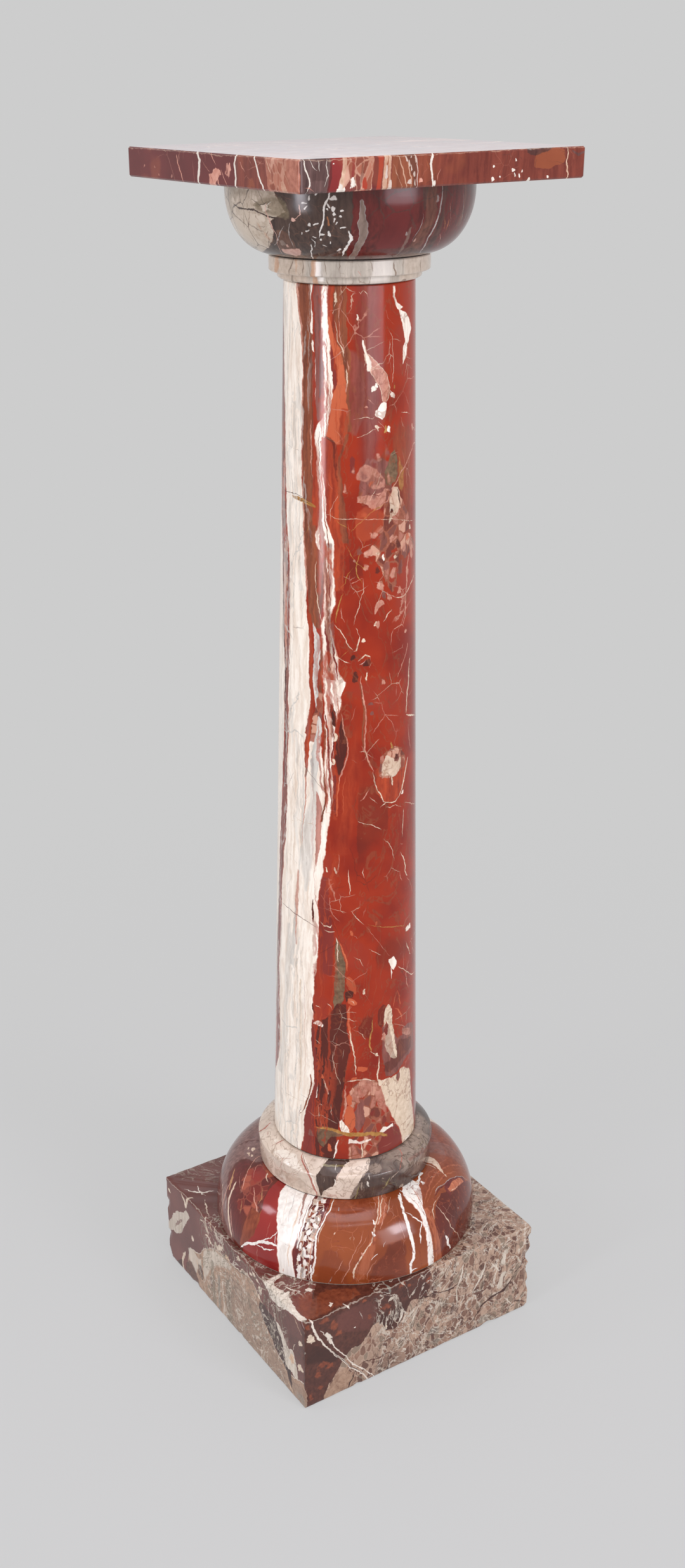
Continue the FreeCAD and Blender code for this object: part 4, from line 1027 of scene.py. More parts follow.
# ---- the capital's bowl: degrees, and mm along its profile from the seat ----
def paint_bowl():
    s = Stone("bowl_marble", BOWL_RADIUS)
    s.unroll_turned(BOWL_FOOT, 1.0, BOWL_SEAT_RADIUS)
    s.tone("maroon", (74, 20, 18), (104, 34, 30), "fibre")
    s.tone("ruby", (92, 24, 24), (124, 40, 38))
    s.tone("dark", (50, 35, 30), (82, 62, 53), "fibre")
    s.tone("brown", (84, 52, 40), (120, 84, 66), "fibre")
    s.tone("beige", (164, 146, 126), (206, 192, 174), "grit")
    s.tone("cream", (188, 172, 152), (220, 208, 192))
    s.tone("olive", (98, 86, 64), (136, 120, 96), "grit")
    s.tone("taupe", (112, 94, 84), (142, 122, 110), "fibre")
    s.tone("pink", (190, 142, 126), (216, 176, 160), "grit")
    s.tone("white", (206, 200, 192), (238, 234, 226), "fibre")
    s.tone("gray", (128, 118, 114), (170, 160, 154), "fibre")
    s.tone("ochre", (160, 96, 56), (196, 126, 78))
    s.net("cracks", 52.0, 0.026, 0.40, (1, 1, 0.8))
    s.net("fine_net", 90.0, 0.020, 0.48)
    s.base("maroon")

    # the far side
    s.band("dark", (100, 100, 128), (50, 96, 130), (0, 100, 126), ragged=6, rim=("gray", 1.0))
    s.band("brown", (100, 128, 150), (50, 130, 156), (0, 126, 150), ragged=6)
    s.band("beige", (100, 150, 164), (50, 156, 172), (0, 150, 168), ragged=5, rim=("brown", 1.0))
    s.band("ruby", (100, 164, 184), (0, 168, 184), ragged=5)
    s.band("ruby", (100, -184, -160), (0, -184, -164), ragged=5)
    s.band("dark", (100, -160, -134), (40, -166, -132), (0, -164, -120), ragged=6)

    # the dark middle and the crackled beige on the left
    s.band("dark", (100, -50, 3), (60, -48, 1.5), (30, -58, -1), (0, -100, -2), ragged=2)
    s.band("beige", (100, -134, -35), (85, -134, -35), (80, -134, -33), (70, -134, -29),
        (66, -134, -33), (60, -134, -39), (50, -134, -38), (40, -134, -41.5), (34, -134, -45),
        (30, -134, -48), (22, -132, -56), (14, -128, -66), (5, -120, -80), (0, -116, -86), ragged=2.2,
        rim=("brown", 0.7))
    s.band("cream", (62, -76, -58), (50, -80, -56), (40, -72, -50), (32, -64, -50), soft=4, ragged=7,
        strength=0.8)
    s.band("cream", (68, -60, -44), (60, -58, -46), (50, -60, -50), soft=2, ragged=4, strength=0.8)
    s.layer("olive", (-46, 70, 80), (-40, 66, 84), (-34, 63, 84), (-29, 60, 80), (-27, 62, 72),
        ragged=5, soft=4, strength=0.75)
    s.layer("olive", (-74, 62, 82), (-68, 60, 88), (-60, 76, 88), (-50, 80, 86), ragged=5, soft=5,
        strength=0.3)
    s.layer("brown", (-64, 4, 10), (-56, 2, 13), (-46, 0, 13), (-34, 0, 12), (-20, 0, 10), (-6, 0, 10),
        ragged=5, soft=5, strength=0.6)
    s.layer("olive", (-92, 2, 7), (-80, 2, 10), (-66, 3, 14), (-54, 5, 14), ragged=3, soft=2,
        strength=0.7)
    s.clasts(("cream", -65, 75.5, 7, 5), ("cream", -65.5, 67, 9, 11), ("cream", -46, 80, 6, 5))
    s.clast("olive", -45, 75.5, 7, 4, strength=0.7)
    s.clasts(("cream", -40, 73, 7, 8, 20), ("cream", -43, 64, 7, 8, 10))
    s.clast("ochre", -43.5, 45, 5, 16, 8, soft=0.7, strength=0.35)
    s.clast("ochre", -46, 56, 3, 12, 12, soft=0.7, strength=0.3)
    s.hairlines("dark", "cracks", 0.75, (-110, -40))
    s.hairlines("olive", "fine_net", 0.45, (-112, -40))
    s.vein("dark", 1.7, (-66, 71.5), (-60, 70.5), (-54, 70), (-48, 71), (-44, 69.5), (-40, 66),
        (-36, 64), (-30, 62), ragged=1.4)
    s.vein("brown", 1.0, (-55.5, 70), (-57, 63), (-59, 56), (-60.5, 50), ragged=0.8)
    s.vein("brown", 1.0, (-50, 70), (-51.5, 63), (-54.5, 56), (-57, 50), ragged=0.8)
    s.vein("brown", 0.8, (-45.5, 69), (-46.5, 64), (-44, 61), ragged=0.8)
    s.vein("dark", 1.0, (-48, 80), (-43, 76), (-40, 77), (-37, 79), ragged=1.4)
    s.vein("dark", 0.8, (-50, 57), (-44, 55), (-40, 56), ragged=1.2)
    s.vein("brown", 1.0, (-41, 52), (-43, 47), (-46, 44), ragged=1.4)
    s.vein("brown", 0.8, (-61, 46), (-57, 40), (-58, 34), ragged=1.2)
    s.vein("white", 1.0, (-36.5, 78), (-38, 76), (-40, 74), ragged=0.6)
    s.vein("pink", 0.9, (-39, 78), (-40, 72), (-38.6, 62), (-38.2, 54), (-37.3, 47), (-38.6, 40),
        (-41, 30), (-41.6, 22), (-43, 12), ragged=0.7)
    s.band("brown", (52, -37.5, -33), (44, -37, -29), (34, -41, -28), (26, -41, -28), (14, -41, -26),
        (6, -40, -24), soft=1.5, ragged=4, strength=0.7)
    s.vein("gray", 1.0, (-31, 56), (-34, 50), (-37, 43), (-40, 37), (-43.5, 33), (-45, 31), ragged=0.8)
    s.vein("dark", 1.6, (-41, 38), (-44, 32), (-46, 27), (-52, 18), ragged=1.4)
    s.clast("taupe", -36, 37, 5, 7, strength=0.8)
    s.clast("pink", -34, 33, 3, 4, strength=0.7)
    s.layer("pink", (-40, 21, 28.5), (-36, 18, 29), (-33, 15, 29), (-29, 18, 29), (-27, 24, 29),
        rim=("brown", 0.5), strength=0.85)

    # clasts and veins of the dark middle
    s.hairlines("brown", "fine_net", 0.6, (-34, 4))
    s.vein("pink", 1.1, (-22.5, 77), (-22, 72), (-22, 68), (-23.5, 66), (-25.5, 63.5), (-27, 61),
        ragged=0.7)
    s.clast("pink", -25.5, 63, 3.5, 3.5, 20)
    s.vein("gray", 0.9, (-27, 61), (-28.5, 54), (-29.6, 46), (-30.2, 38), (-30, 30), ragged=0.6)
    s.vein("white", 1.5, (-7, 89), (-9, 82), (-10.5, 76), (-11.3, 68), (-12.3, 60), (-13.5, 54),
        (-14.2, 45), ragged=0.9)
    s.vein("white", 1.1, (-17.5, 45), (-16.3, 40), (-17, 32), ragged=0.8)
    s.vein("white", 1.4, (-18.5, 37), (-19.3, 30), (-20.5, 24), (-22, 16), (-23.2, 10), (-26, 0),
        ragged=0.8)
    s.vein("white", 2.4, (-0.3, 55), (0.5, 50), (0.9, 46), (-0.4, 40), (-1.6, 34), (-3, 27), (-3.6, 20),
        ragged=0.9)
    for across, up, wide, tall, turn in (
        (-20, 78, 1.4, 4, 0), (-19.5, 74, 1.2, 4, 8), (-18.3, 60, 2.4, 5, 0), (-19.4, 53, 1.8, 4, 0),
        (-22.5, 50, 1.0, 4, 0), (-15.4, 61, 1.4, 5, 6), (-12.6, 50, 2.2, 4, 20), (-13.2, 43, 1.6, 3, 0),
        (-9.4, 51.5, 2.2, 6, 8), (-8.6, 76, 1.6, 5, 8), (-9.4, 73, 1.8, 2.6, 30), (-6.6, 82, 3.0, 6, 0),
        (-6.3, 74, 3.0, 4, 20), (-6, 70, 2.4, 2.4, 0), (-2.6, 72.5, 2.0, 3, 0), (-3, 68, 1.6, 3, 0),
        (-6.2, 64.5, 1.6, 5, 18), (-5.2, 62, 1.2, 3, 0), (-2.4, 58, 1.2, 5, 0), (-9.2, 40, 1.0, 4, 0),
        (-14.5, 85, 1.4, 3, 0), (-18, 82, 1.2, 4, 0), (-5.4, 31, 1.6, 7, 0), (-12, 35, 1.0, 4, 0),
        (-16.5, 46, 1.0, 3, 0),
    ):
        s.clast("white", across, up, wide, tall, turn * 3 + across * 40, strength=0.85)
    s.clast("ochre", -9.3, 63, 1.8, 9, 4, strength=0.6)
    s.clast("olive", -16.8, 19, 1.4, 6, strength=0.8)
    s.clast("brown", -15.5, 14, 1.2, 7)
    s.clast("taupe", -5.2, 27, 2, 5, strength=0.8)
    s.vein("brown", 1.2, (-6, 30), (-6.5, 20), (-7, 8), ragged=0.8, strength=0.7)

    # taupe wedge and the maroon right of it
    s.band("taupe", (82, 5.2, 5.8), (80, 5, 6.2), (75, 4.8, 7), (70, 4.5, 6.8), (66, 4, 7.2),
        (62, 3.6, 7.8), (56, 4.5, 8), (50, 4.8, 8), (45, 4, 7.5), (40, 3, 6.8), (30, 2.3, 5.6),
        (20, 0.6, 4.4), (10, 0, 3.5), (0, -1, 3), ragged=0.8, rim=("gray", 0.35))
    s.band("ruby", (90, 13, 30), (60, 14, 29), (30, 12, 28), (0, 10, 26), soft=5, ragged=3,
        strength=0.8)
    s.band("brown", (90, 34, 42), (60, 34, 42), (40, 32, 41), (20, 29, 42), (0, 26, 60), soft=2.5,
        ragged=2, strength=0.6)
    s.band("dark", (90, 44, 49), (70, 44, 47), (50, 43, 49), (30, 43, 50), (10, 44, 52), soft=2,
        ragged=2, strength=0.6)
    s.band("dark", (90, 33, 36.5), (76, 33, 35), (70, 33.5, 34.5), ragged=1.5, strength=0.6)
    s.band("dark", (30, 8, 34), (14, 4, 60), (0, 0, 80), soft=8, ragged=4, strength=0.45)
    s.band("taupe", (56, 27.6, 29), (44, 27.6, 29.4), (26, 27.8, 29.6), (10, 28, 29), soft=0.8,
        ragged=1, strength=0.5)
    s.vein("gray", 0.8, (33.2, 69), (33.6, 58), (33.2, 50), (32.4, 42), (32.3, 34), ragged=0.6)
    s.clast("gray", 27.3, 48, 1.8, 5, 6, strength=0.7)
    s.clasts(("pink", 33.6, 39, 1.6, 7, -6), ("gray", 41.5, 79, 2.6, 5), strength=0.6)
    s.vein("gray", 1.8, (44.5, 90), (43.8, 78), (43.3, 66), (42.5, 54), (42, 42), (42.4, 32),
        (43.4, 24), (45.5, 14))
    s.vein("white", 0.5, (43.6, 66), (42.9, 58), (42.1, 48), (42.2, 38), ragged=0.5)
    s.vein("ochre", 0.9, (47.3, 63), (49, 56), (50.4, 50), ragged=0.5)
    s.vein("ochre", 0.8, (51.3, 61), (52, 54), (52.3, 47), ragged=0.7)
    s.vein("pink", 0.7, (48, 47), (50, 42), (52, 36), (54, 28), ragged=0.6, strength=0.7)
    s.vein("gray", 1.0, (61, 81), (62.5, 71), (64.8, 60), (66.3, 51), ragged=1.2)
    s.vein("gray", 1.2, (70.5, 68), (69, 61), (69, 55))
    s.vein("pink", 0.6, (50, 75), (51.5, 68), (53, 60), (54, 48), ragged=0.8, strength=0.7)
    s.band("brown", (90, 62, 64), (70, 62, 65), (50, 60, 66), ragged=3, soft=2, strength=0.5)
    s.hairlines("dark", "cracks", 0.5, (8, 176))
    return s.finish(0.14, 0.08)


# ---- the base torus: degrees, and mm up its side and over its back ----
def paint_torus():
    s = Stone("torus_marble", TORUS_RADIUS)
    s.unroll_turned(TORUS_FOOT, -1.0, TORUS_FOOT_RADIUS)
    s.tone("orange", (122, 54, 24), (154, 78, 40))
    s.tone("rust", (110, 44, 26), (150, 74, 46), "fibre")
    s.tone("deep", (78, 26, 18), (112, 44, 32))
    s.tone("crimson", (122, 24, 24), (152, 44, 38))
    s.tone("mauve", (100, 64, 60), (142, 104, 96), "fibre")
    s.tone("wine", (84, 26, 26), (114, 40, 38), "fibre")
    s.tone("white", (216, 206, 196), (246, 240, 232), "fibre", -0.3, 0.12)
    s.tone("cream", (204, 172, 146), (232, 208, 186), "grit")
    s.tone("pink", (190, 128, 108), (222, 168, 148), "grit")
    s.tone("salmon", (168, 88, 58), (200, 120, 86), "fibre")
    s.tone("ochre", (160, 108, 66), (196, 146, 104), "grit")
    s.tone("gray", (142, 132, 128), (186, 178, 172), "fibre")
    broken = ((118, 38, 30), (146, 58, 42), (96, 30, 26), (164, 82, 60), (112, 44, 36))
    s.breccia("rubble", broken, 120.0, gap=(140, 66, 50))
    shattered = ((218, 206, 194), (96, 34, 30), (142, 74, 50), (200, 178, 160), (84, 30, 30),
        (170, 156, 146), (112, 48, 36))
    s.breccia("shatter", shattered, 210.0, (1, 1, 0.42), gap=(210, 186, 166))
    s.curls("curls", 26.0, 0.018, 2.4, (1, 1, 0.6))
    s.net("cracks", 40.0, 0.012, 0.50, (1, 1, 0.7))
    s.net("fine_net", 70.0, 0.012, 0.56)
    s.base("orange")

    # the far side
    s.band("rust", (125, 96, 124), (60, 92, 120), (-12, 98, 126), ragged=6)
    s.band("cream", (125, 124, 131), (60, 120, 128), (-12, 126, 131), ragged=4, rim=("deep", 1.0))
    s.band("deep", (125, 131, 156), (60, 128, 158), (-12, 131, 152), ragged=6)
    s.band("rubble", (125, 156, 184), (-12, 152, 184), ragged=6)
    s.band("rubble", (125, -184, -150), (-12, -184, -156), ragged=6)
    s.band("white", (125, -150, -138), (60, -154, -140), (-12, -156, -136), ragged=4, rim=("pink", 1.0))
    s.band("mauve", (125, -138, -94), (-12, -138, -90), ragged=5)

    # left: mauve and brown with ochre strips, then red breccia
    s.band("deep", (125, -98, -46), (60, -98, -44), (-12, -98, -49), ragged=3)
    s.band("mauve", (125, -98, -74), (104, -98, -72), (92, -98, -80), (72, -98, -80), (60, -98, -78),
        (50, -98, -73), (40, -98, -68), (20, -98, -58), (-12, -98, -56), ragged=7, soft=4)
    s.band("deep", (34, -95, -80), (20, -95, -76), (-12, -95, -72), ragged=4, soft=4, strength=0.75)
    s.band("wine", (96, -80, -73), (80, -80, -68), (60, -78, -62), (40, -66, -52), (10, -60, -50),
        ragged=5, soft=3, strength=0.7)
    s.band("rubble", (125, -72, -52), (100, -70, -51), (90, -70, -48), (80, -68, -47), (70, -65, -46.5),
        (60, -61, -46), (50, -60, -45), (44, -58, -47), ragged=3)
    s.band("crimson", (108, -68, -58), (96, -68, -57), (88, -64, -58), soft=3, ragged=3, strength=0.7)
    s.clasts(("cream", -88, 103, 8, 5), ("cream", -84, 97, 8, 4, 20), ("cream", -90, 97, 5, 3),
        ("cream", -82, 101, 5, 3))
    s.vein("pink", 1.6, (-81, 112), (-78, 104), (-72, 96), (-68, 86), (-64, 74), (-61, 62), ragged=2)
    s.vein("pink", 1.2, (-68, 110), (-70, 103), (-66, 97), (-62, 90), ragged=1.6, strength=0.6)
    s.vein("ochre", 5.0, (-78, 71), (-74, 64), (-72, 57), (-70, 49), ragged=3)
    s.vein("cream", 3.4, (-69, 67), (-67.5, 54), (-66.5, 42), (-64, 30), (-61, 18), (-59, 4),
        ragged=1.8)
    s.vein("pink", 2.0, (-73, 62), (-72, 44), (-71, 30), (-70, 14), (-70, 0), ragged=2.4, strength=0.8)
    s.vein("cream", 1.4, (-79, 46), (-78, 38), (-75, 34), (-72, 26), (-71, 12), ragged=1.6)
    s.vein("gray", 1.8, (-74, 44), (-72, 40), (-69, 36), (-66, 22), ragged=2, strength=0.8)
    s.vein("pink", 1.4, (-64, 40), (-62, 34), (-59, 20), (-57, 8), ragged=1.8, strength=0.8)
    s.vein("cream", 3.0, (-60, 108), (-57, 104), (-53, 99), ragged=1.6)
    s.vein("ochre", 1.4, (-53, 90), (-50, 84), (-48, 78), (-47.5, 66), ragged=1.2)
    s.vein("pink", 1.0, (-72, 80), (-68, 72), (-64, 66), (-61, 60), ragged=1.4, strength=0.7)
    s.vein("pink", 2.2, (-57, 82), (-53.5, 76), (-51, 69), (-48, 64), (-46, 58), (-44.6, 49),
        ragged=1.4)
    s.vein("gray", 1.0, (-46, 64), (-44.8, 54), (-44, 42), (-43.6, 32), ragged=0.8)
    s.vein("ochre", 1.6, (-58, 56), (-56, 48), (-55, 40), ragged=1.6, strength=0.8)

    # the crimson run with its white cross vein
    s.band("rust", (60, -50, -44), (40, -50.5, -43), (20, -51, -43), (4, -52, -46), ragged=2)
    s.band("crimson", (125, -51, -39), (110, -49.5, -39), (90, -48, -37), (70, -45, -33),
        (50, -43, -30), (30, -43.5, -30), (20, -46, -30), (10, -49, -29), (-12, -51, -28), ragged=1.2)
    s.vein("rust", 1.8, (-43.5, 48), (-44.5, 38), (-45.5, 30), (-47, 24), ragged=1.2, strength=0.8)
    s.vein("pink", 0.6, (-37, 62), (-36.8, 48), (-36.5, 34), ragged=0.5)
    s.vein("pink", 0.6, (-41, 22), (-40.5, 10), (-40.6, 0), ragged=0.5, strength=0.8)
    s.vein("white", 4.2, (-51.5, 1), (-49, 8), (-46.5, 14), (-42, 19), (-40, 24), (-37.5, 28),
        (-34, 31), (-30, 32), ragged=2.2)
    s.vein("white", 1.6, (-41, 20), (-37, 20), (-34, 22.5), (-31.5, 25.5))
    s.vein("white", 1.6, (-38.5, 28), (-36.5, 34), (-34.5, 38), (-32.6, 44), (-31.4, 52), ragged=1.2)
    s.vein("white", 0.9, (-31.8, 44), (-32, 36), (-31, 31), ragged=0.8)

    # the great white band and the breccia right of it
    s.band("wine", (125, -22, -8), (90, -22, -10), (60, -22, -12), (40, -22.5, -12.5), (20, -22.5, -13),
        (-12, -22, -13), ragged=1)
    s.band("shatter", (125, -20, -12), (90, -20, -12), (60, -20, -13), (40, -20, -13.5),
        (20, -20.5, -13.6), (-12, -20, -14), ragged=2, strength=0.85)
    s.band("white", (125, -43.5, -22), (110, -42, -22), (100, -41, -22), (90, -38.3, -22),
        (80, -36.7, -21.5), (70, -35, -21.2), (60, -32.7, -21.4), (50, -31.2, -21.6), (40, -30.7, -22),
        (30, -30.3, -22.6), (20, -30, -22.2), (10, -29.3, -21.6), (-12, -29, -21), ragged=1.3,
        rim=("pink", 0.5))
    s.band("rust", (112, -28, -25.5), (100, -26.5, -24.5), (90, -24.5, -23.5), (80, -23.5, -22.5),
        (66, -22.6, -22), ragged=2.6, strength=0.8)
    s.band("white", (112, -23, -20.3), (96, -22.8, -20.3), (80, -22, -19.6), (66, -21.6, -19.6),
        (50, -21.4, -19.8), (36, -21, -20.2), ragged=1.6)
    s.vein("rust", 0.9, (-21.6, 108), (-21.2, 94), (-20.8, 80), (-20.6, 64), (-20.7, 46), (-21.6, 30),
        ragged=1.2)
    s.vein("gray", 1.2, (-33, 108), (-31, 96), (-29, 84), (-27, 66), strength=0.6)
    s.vein("cream", 1.6, (-26.5, 98), (-25, 84), (-24.2, 70), (-24.2, 50), (-24.6, 30), (-24, 10),
        ragged=1.4, strength=0.8)
    s.vein("cream", 0.8, (-37, 108), (-34, 90), (-31, 72), (-28, 54), ragged=0.8, strength=0.7)
    s.vein("gray", 0.5, (-34, 62), (-30, 61), (-27, 60.5), strength=0.8)
    s.vein("gray", 0.6, (-29.5, 38.5), (-26, 37), (-23.2, 35), strength=0.8)
    s.clast("pink", -27, 4, 1.6, 4, strength=0.7)
    for across, up, wide, tall, turn in (
        (-14, 106, 4.5, 7, 30), (-16.3, 96, 3.5, 13, 4), (-12, 94, 1.6, 6, 0), (-15.6, 85, 2.4, 9, -8),
        (-18.6, 86, 1.6, 8, 0), (-16.4, 76, 5, 5, 30), (-13.4, 80, 2, 4, 0), (-14.2, 70, 4.5, 8, 10),
        (-18.2, 68, 3, 10, 0), (-16.6, 60, 5, 9, -12), (-18, 50, 3.4, 9, 0), (-15, 50, 3, 7, 20),
        (-19.4, 40, 2, 10, 0), (-15.2, 42, 4, 7, -10), (-17.2, 33, 3.6, 9, 6), (-14.4, 30, 3.6, 5, 30),
        (-19.6, 26, 3, 8, 0), (-16.8, 22, 3.4, 7, 0), (-19, 13, 4, 10, -6), (-16.4, 8, 3.4, 12, -6),
        (-13.8, 16, 1.6, 9, 0), (-19.3, 3, 3, 8, 0),
    ):
        s.clast("white", across, up, wide * 1.1, tall * 1.25, turn * 2.5, soft=0.2, strength=0.9)
    for across, up, wide, tall in (
        (-18, 92, 2, 6), (-13.4, 88, 1.6, 6), (-15.6, 64, 1.4, 5), (-17.4, 42, 1.4, 6), (-15, 24, 2, 5),
        (-17.8, 17, 2, 5),
    ):
        s.clast("rust", across, up, wide, tall)
    s.clast("gray", -18, 31, 2.4, 8, strength=0.8)
    s.clast("gray", -17.3, 6, 2.4, 8, strength=0.7)
    s.vein("white", 1.8, (-7, 113), (-8, 98), (-9.3, 88), (-11, 76), (-12.4, 66), (-13.1, 56),
        (-12.6, 46), (-12.2, 34), (-12.6, 20), (-13.2, 8), (-13.2, -6), ragged=0.8)
    s.vein("pink", 0.9, (-10.2, 100), (-10.8, 86), (-12.2, 74), (-13.9, 62), (-14.4, 50), (-14.2, 38),
        (-14.8, 24), (-14.6, 8))
    s.vein("cream", 1.0, (-9.8, 78), (-11.4, 66), (-12, 52), (-11.2, 44), strength=0.8)

    # the orange front
    s.band("rust", (125, -7, 18), (96, -8, 17), (84, -10, 16), soft=6, ragged=3, strength=0.55)
    s.band("deep", (44, 19, 27), (34, 17, 29), (20, 12, 28), (-6, 9, 28), soft=3, ragged=3,
        strength=0.6)
    s.band("deep", (40, -10, -2), (20, -12, 2), (-6, -13, 4), soft=5, ragged=3, strength=0.35)
    s.band("salmon", (125, 19, 30), (110, 18.5, 28), (100, 19, 26), (90, 17.5, 24), (80, 16, 21),
        (72, 14.5, 17), soft=1.2, strength=0.6)
    s.band("salmon", (60, 12.5, 15), (40, 8, 13), (20, 5, 11), (4, 4.4, 9), soft=1.6, strength=0.45)
    s.clast("gray", -3.4, 96, 2, 5, strength=0.7)
    s.clast("cream", -5, 63, 1.6, 5, -10, strength=0.8)
    s.vein("cream", 0.7, (3.4, 62), (4, 58), (3.8, 55), ragged=0.4)
    s.vein("cream", 0.7, (3.2, 61), (2.2, 57), (2.6, 54.5), ragged=0.4)
    s.vein("cream", 1.6, (23, 112), (21, 102), (19, 94), (17.6, 86), (15.8, 78), (14.8, 70), (13.6, 62),
        (12.4, 56), (12, 50), (10, 46), (8.4, 40), (6.6, 32), (4.8, 24), (4.4, 16), (4.3, 5),
        ragged=0.9)
    s.vein("cream", 1.5, (26, 112), (23, 103), (20.4, 95), (19, 86), (17.4, 79), (16, 72))
    s.vein("pink", 1.0, (19, 108), (18.4, 100), (17, 92))
    s.vein("cream", 1.0, (29, 104), (26, 96), (24, 88), (23, 84), ragged=0.9)
    s.vein("pink", 0.9, (24.5, 108), (24.5, 98), (22, 90), (19.6, 80), (18, 70), (16, 64))
    s.clasts(("white", 14.6, 76, 2, 7, 14), ("white", 13.2, 60, 2.6, 8, 8), ("pink", 7.4, 37, 2, 6, 20))
    s.vein("pink", 0.9, (9, 68), (7.4, 56), (5, 44), (3, 34), (2.2, 26), (2.2, 18), (0.6, 10),
        (-1.6, 1), ragged=0.8, strength=0.9)
    s.vein("pink", 0.6, (12, 66), (9, 54), (6.4, 44), (4.4, 36), ragged=0.6, strength=0.7)
    s.vein("pink", 0.8, (-0.6, 31), (-1.6, 25), (-2.4, 19), (-4, 12), ragged=0.8)
    s.vein("gray", 0.9, (-4.6, 12), (-5.6, 6), (-6.6, 0), ragged=0.7)
    s.vein("white", 1.8, (14.4, 35), (12.4, 33), (11.2, 29), ragged=0.9)
    s.vein("white", 0.9, (18.6, 49), (17.8, 45), (17.2, 41), ragged=0.5)
    s.vein("pink", 0.7, (28, 78), (27.4, 62), (28.4, 48), (27, 36), ragged=0.9, strength=0.6)
    s.vein("pink", 1.2, (14, 28), (12, 20), (10.4, 12), (9.6, 4), strength=0.5)

    # two white bands of the right
    s.vein("white", 3.2, (36, 106), (33.8, 96), (32.6, 88), (31.7, 80), (31.3, 68), (31.1, 54),
        (31.1, 40), (31.4, 28), (31, 16), (29.4, 12), (29.2, -6), ragged=0.9)
    s.clast("white", 34, 99, 5, 10, -20)
    s.vein("white", 1.5, (32.8, 80), (34.4, 72), (35.2, 67), (37, 60), (38.2, 55), (36.6, 49),
        (35.6, 42), (35.2, 30), ragged=0.9)
    s.vein("white", 1.2, (40, 57), (38.4, 54), (36.4, 48), ragged=0.8)
    s.band("white", (125, 44, 54), (112, 41, 51), (106, 38.5, 50), (100, 37, 49), (90, 37.2, 47),
        (85, 38, 45.6), (80, 38.4, 44.6), (75, 38.7, 43), (70, 39, 42.4), (60, 38.7, 41.8),
        (50, 38.4, 41), (30, 38.3, 41.2), (20, 38.4, 41.6), (8, 38.8, 42), (-12, 39.4, 42.2),
        ragged=1.1, rim=("pink", 0.5))
    s.vein("salmon", 0.9, (39, 100), (40, 90), (40.6, 78), (40.6, 66), ragged=0.6, strength=0.7)
    s.vein("salmon", 1.4, (45, 104), (44.4, 96), (43.4, 86), (42.6, 80), ragged=1.2, strength=0.8)
    s.vein("salmon", 0.7, (40.2, 48), (40.2, 30), (40.6, 12), ragged=0.5, strength=0.5)
    s.vein("white", 1.6, (37.6, 110), (38.4, 104), (40, 100))
    s.layer("white", (47, 99, 106), (51, 103, 107), (56, 106, 109), (62, 108, 113), ragged=2)
    s.clasts(("white", 53, 101, 5, 6), ("cream", 51, 106, 4, 4))
    s.vein("cream", 0.9, (60, 98), (62, 96), (66, 92))
    s.vein("cream", 0.9, (66, 98), (67, 94), (68, 91))
    s.vein("white", 1.8, (33, 4), (30.4, 3.4), (29, 2))
    s.vein("pink", 0.8, (43.8, 22), (44.2, 12), (44, 2), ragged=0.8)
    s.vein("pink", 0.8, (46, 104), (45, 92), (43, 78), (42.6, 60), (42.4, 40), strength=0.7)

    # the domed brown patch
    s.layer("rust", (44, 78, 100), (54, 86, 104), (66, 88, 108), (78, 80, 106), (92, 60, 100), soft=6,
        ragged=5, strength=0.5)
    s.vein("salmon", 3.0, (44, 74), (49, 86), (56, 93), (64, 95), (73, 91), (80, 81), (86, 66),
        (90, 48), ragged=2.4, soft=1.5, strength=0.7)
    s.vein("salmon", 2.0, (46, 96), (54, 99), (64, 101), (76, 97), (86, 84), (92, 70), ragged=2.4,
        soft=1.5, strength=0.6)
    s.vein("salmon", 2.2, (46, 74), (50, 82), (54, 86), (62, 87), (70, 84), (77, 74), (82, 60),
        ragged=1.6, soft=1.0, strength=0.6)
    s.layer("deep", (43.6, -6, 20), (45, -6, 44), (48, -6, 62), (52, -6, 70), (57, -6, 74),
        (62, -6, 71), (66, -6, 64), (72, -6, 59), (78, -6, 55), (84, -6, 42), (88, -6, 18), (90, -6, 4),
        ragged=2)
    s.layer("wine", (61, 62, 76), (64, 64, 79), (68, 60, 77), (73, 58, 72), (78, 52, 64), (81, 44, 54),
        ragged=2.4)
    s.layer("salmon", (63, 65, 71), (67, 60, 70), (72, 57.5, 68), (77, 53, 63), (79, 51, 56))
    s.vein("gray", 1.2, (53, 80), (57, 82.5), (62, 81), (67, 77), (72, 72.5), (77, 66), (80, 58),
        (83, 46), (86, 30))
    s.vein("wine", 2.2, (52, 77), (57, 80), (61, 79), (65, 77), ragged=1.2)
    s.vein("cream", 0.8, (62.4, 70), (64.6, 64.6), (68, 61), (72, 58.5), (76, 56), ragged=1.4)
    s.vein("cream", 1.4, (45.4, 50), (46.6, 62), (49, 68), (51.6, 72), (54.6, 73.6), (57.6, 74.6),
        ragged=0.9)
    s.vein("cream", 1.0, (49.8, 68), (51, 56), (52.4, 46), (53.4, 36), (54.6, 26), (57, 16), (61.5, 2),
        ragged=0.6)
    s.vein("white", 3.2, (50, 24), (51.4, 17), (51.6, 11), (53.4, 2), ragged=1.8)
    s.vein("cream", 0.9, (49, 30), (50, 24), ragged=0.6)
    s.vein("gray", 0.8, (60, 41), (60.2, 31), ragged=0.5)
    s.clast("gray", 63, 41, 2, 4, 30, strength=0.6)
    s.band("salmon", (70, 42, 45), (40, 42, 45.4), (10, 43, 47), (-6, 44, 48), ragged=2, soft=1,
        strength=0.6)
    s.band("cream", (125, 76, 84), (110, 73.5, 80.5), (104, 72.6, 78.5), (98, 71.6, 76),
        (92, 70.5, 72.6), (86, 70, 71), (80, 69.6, 70.4), ragged=3.4)
    s.vein("cream", 1.6, (72, 112), (70.6, 104), (70.4, 97), ragged=1.4)
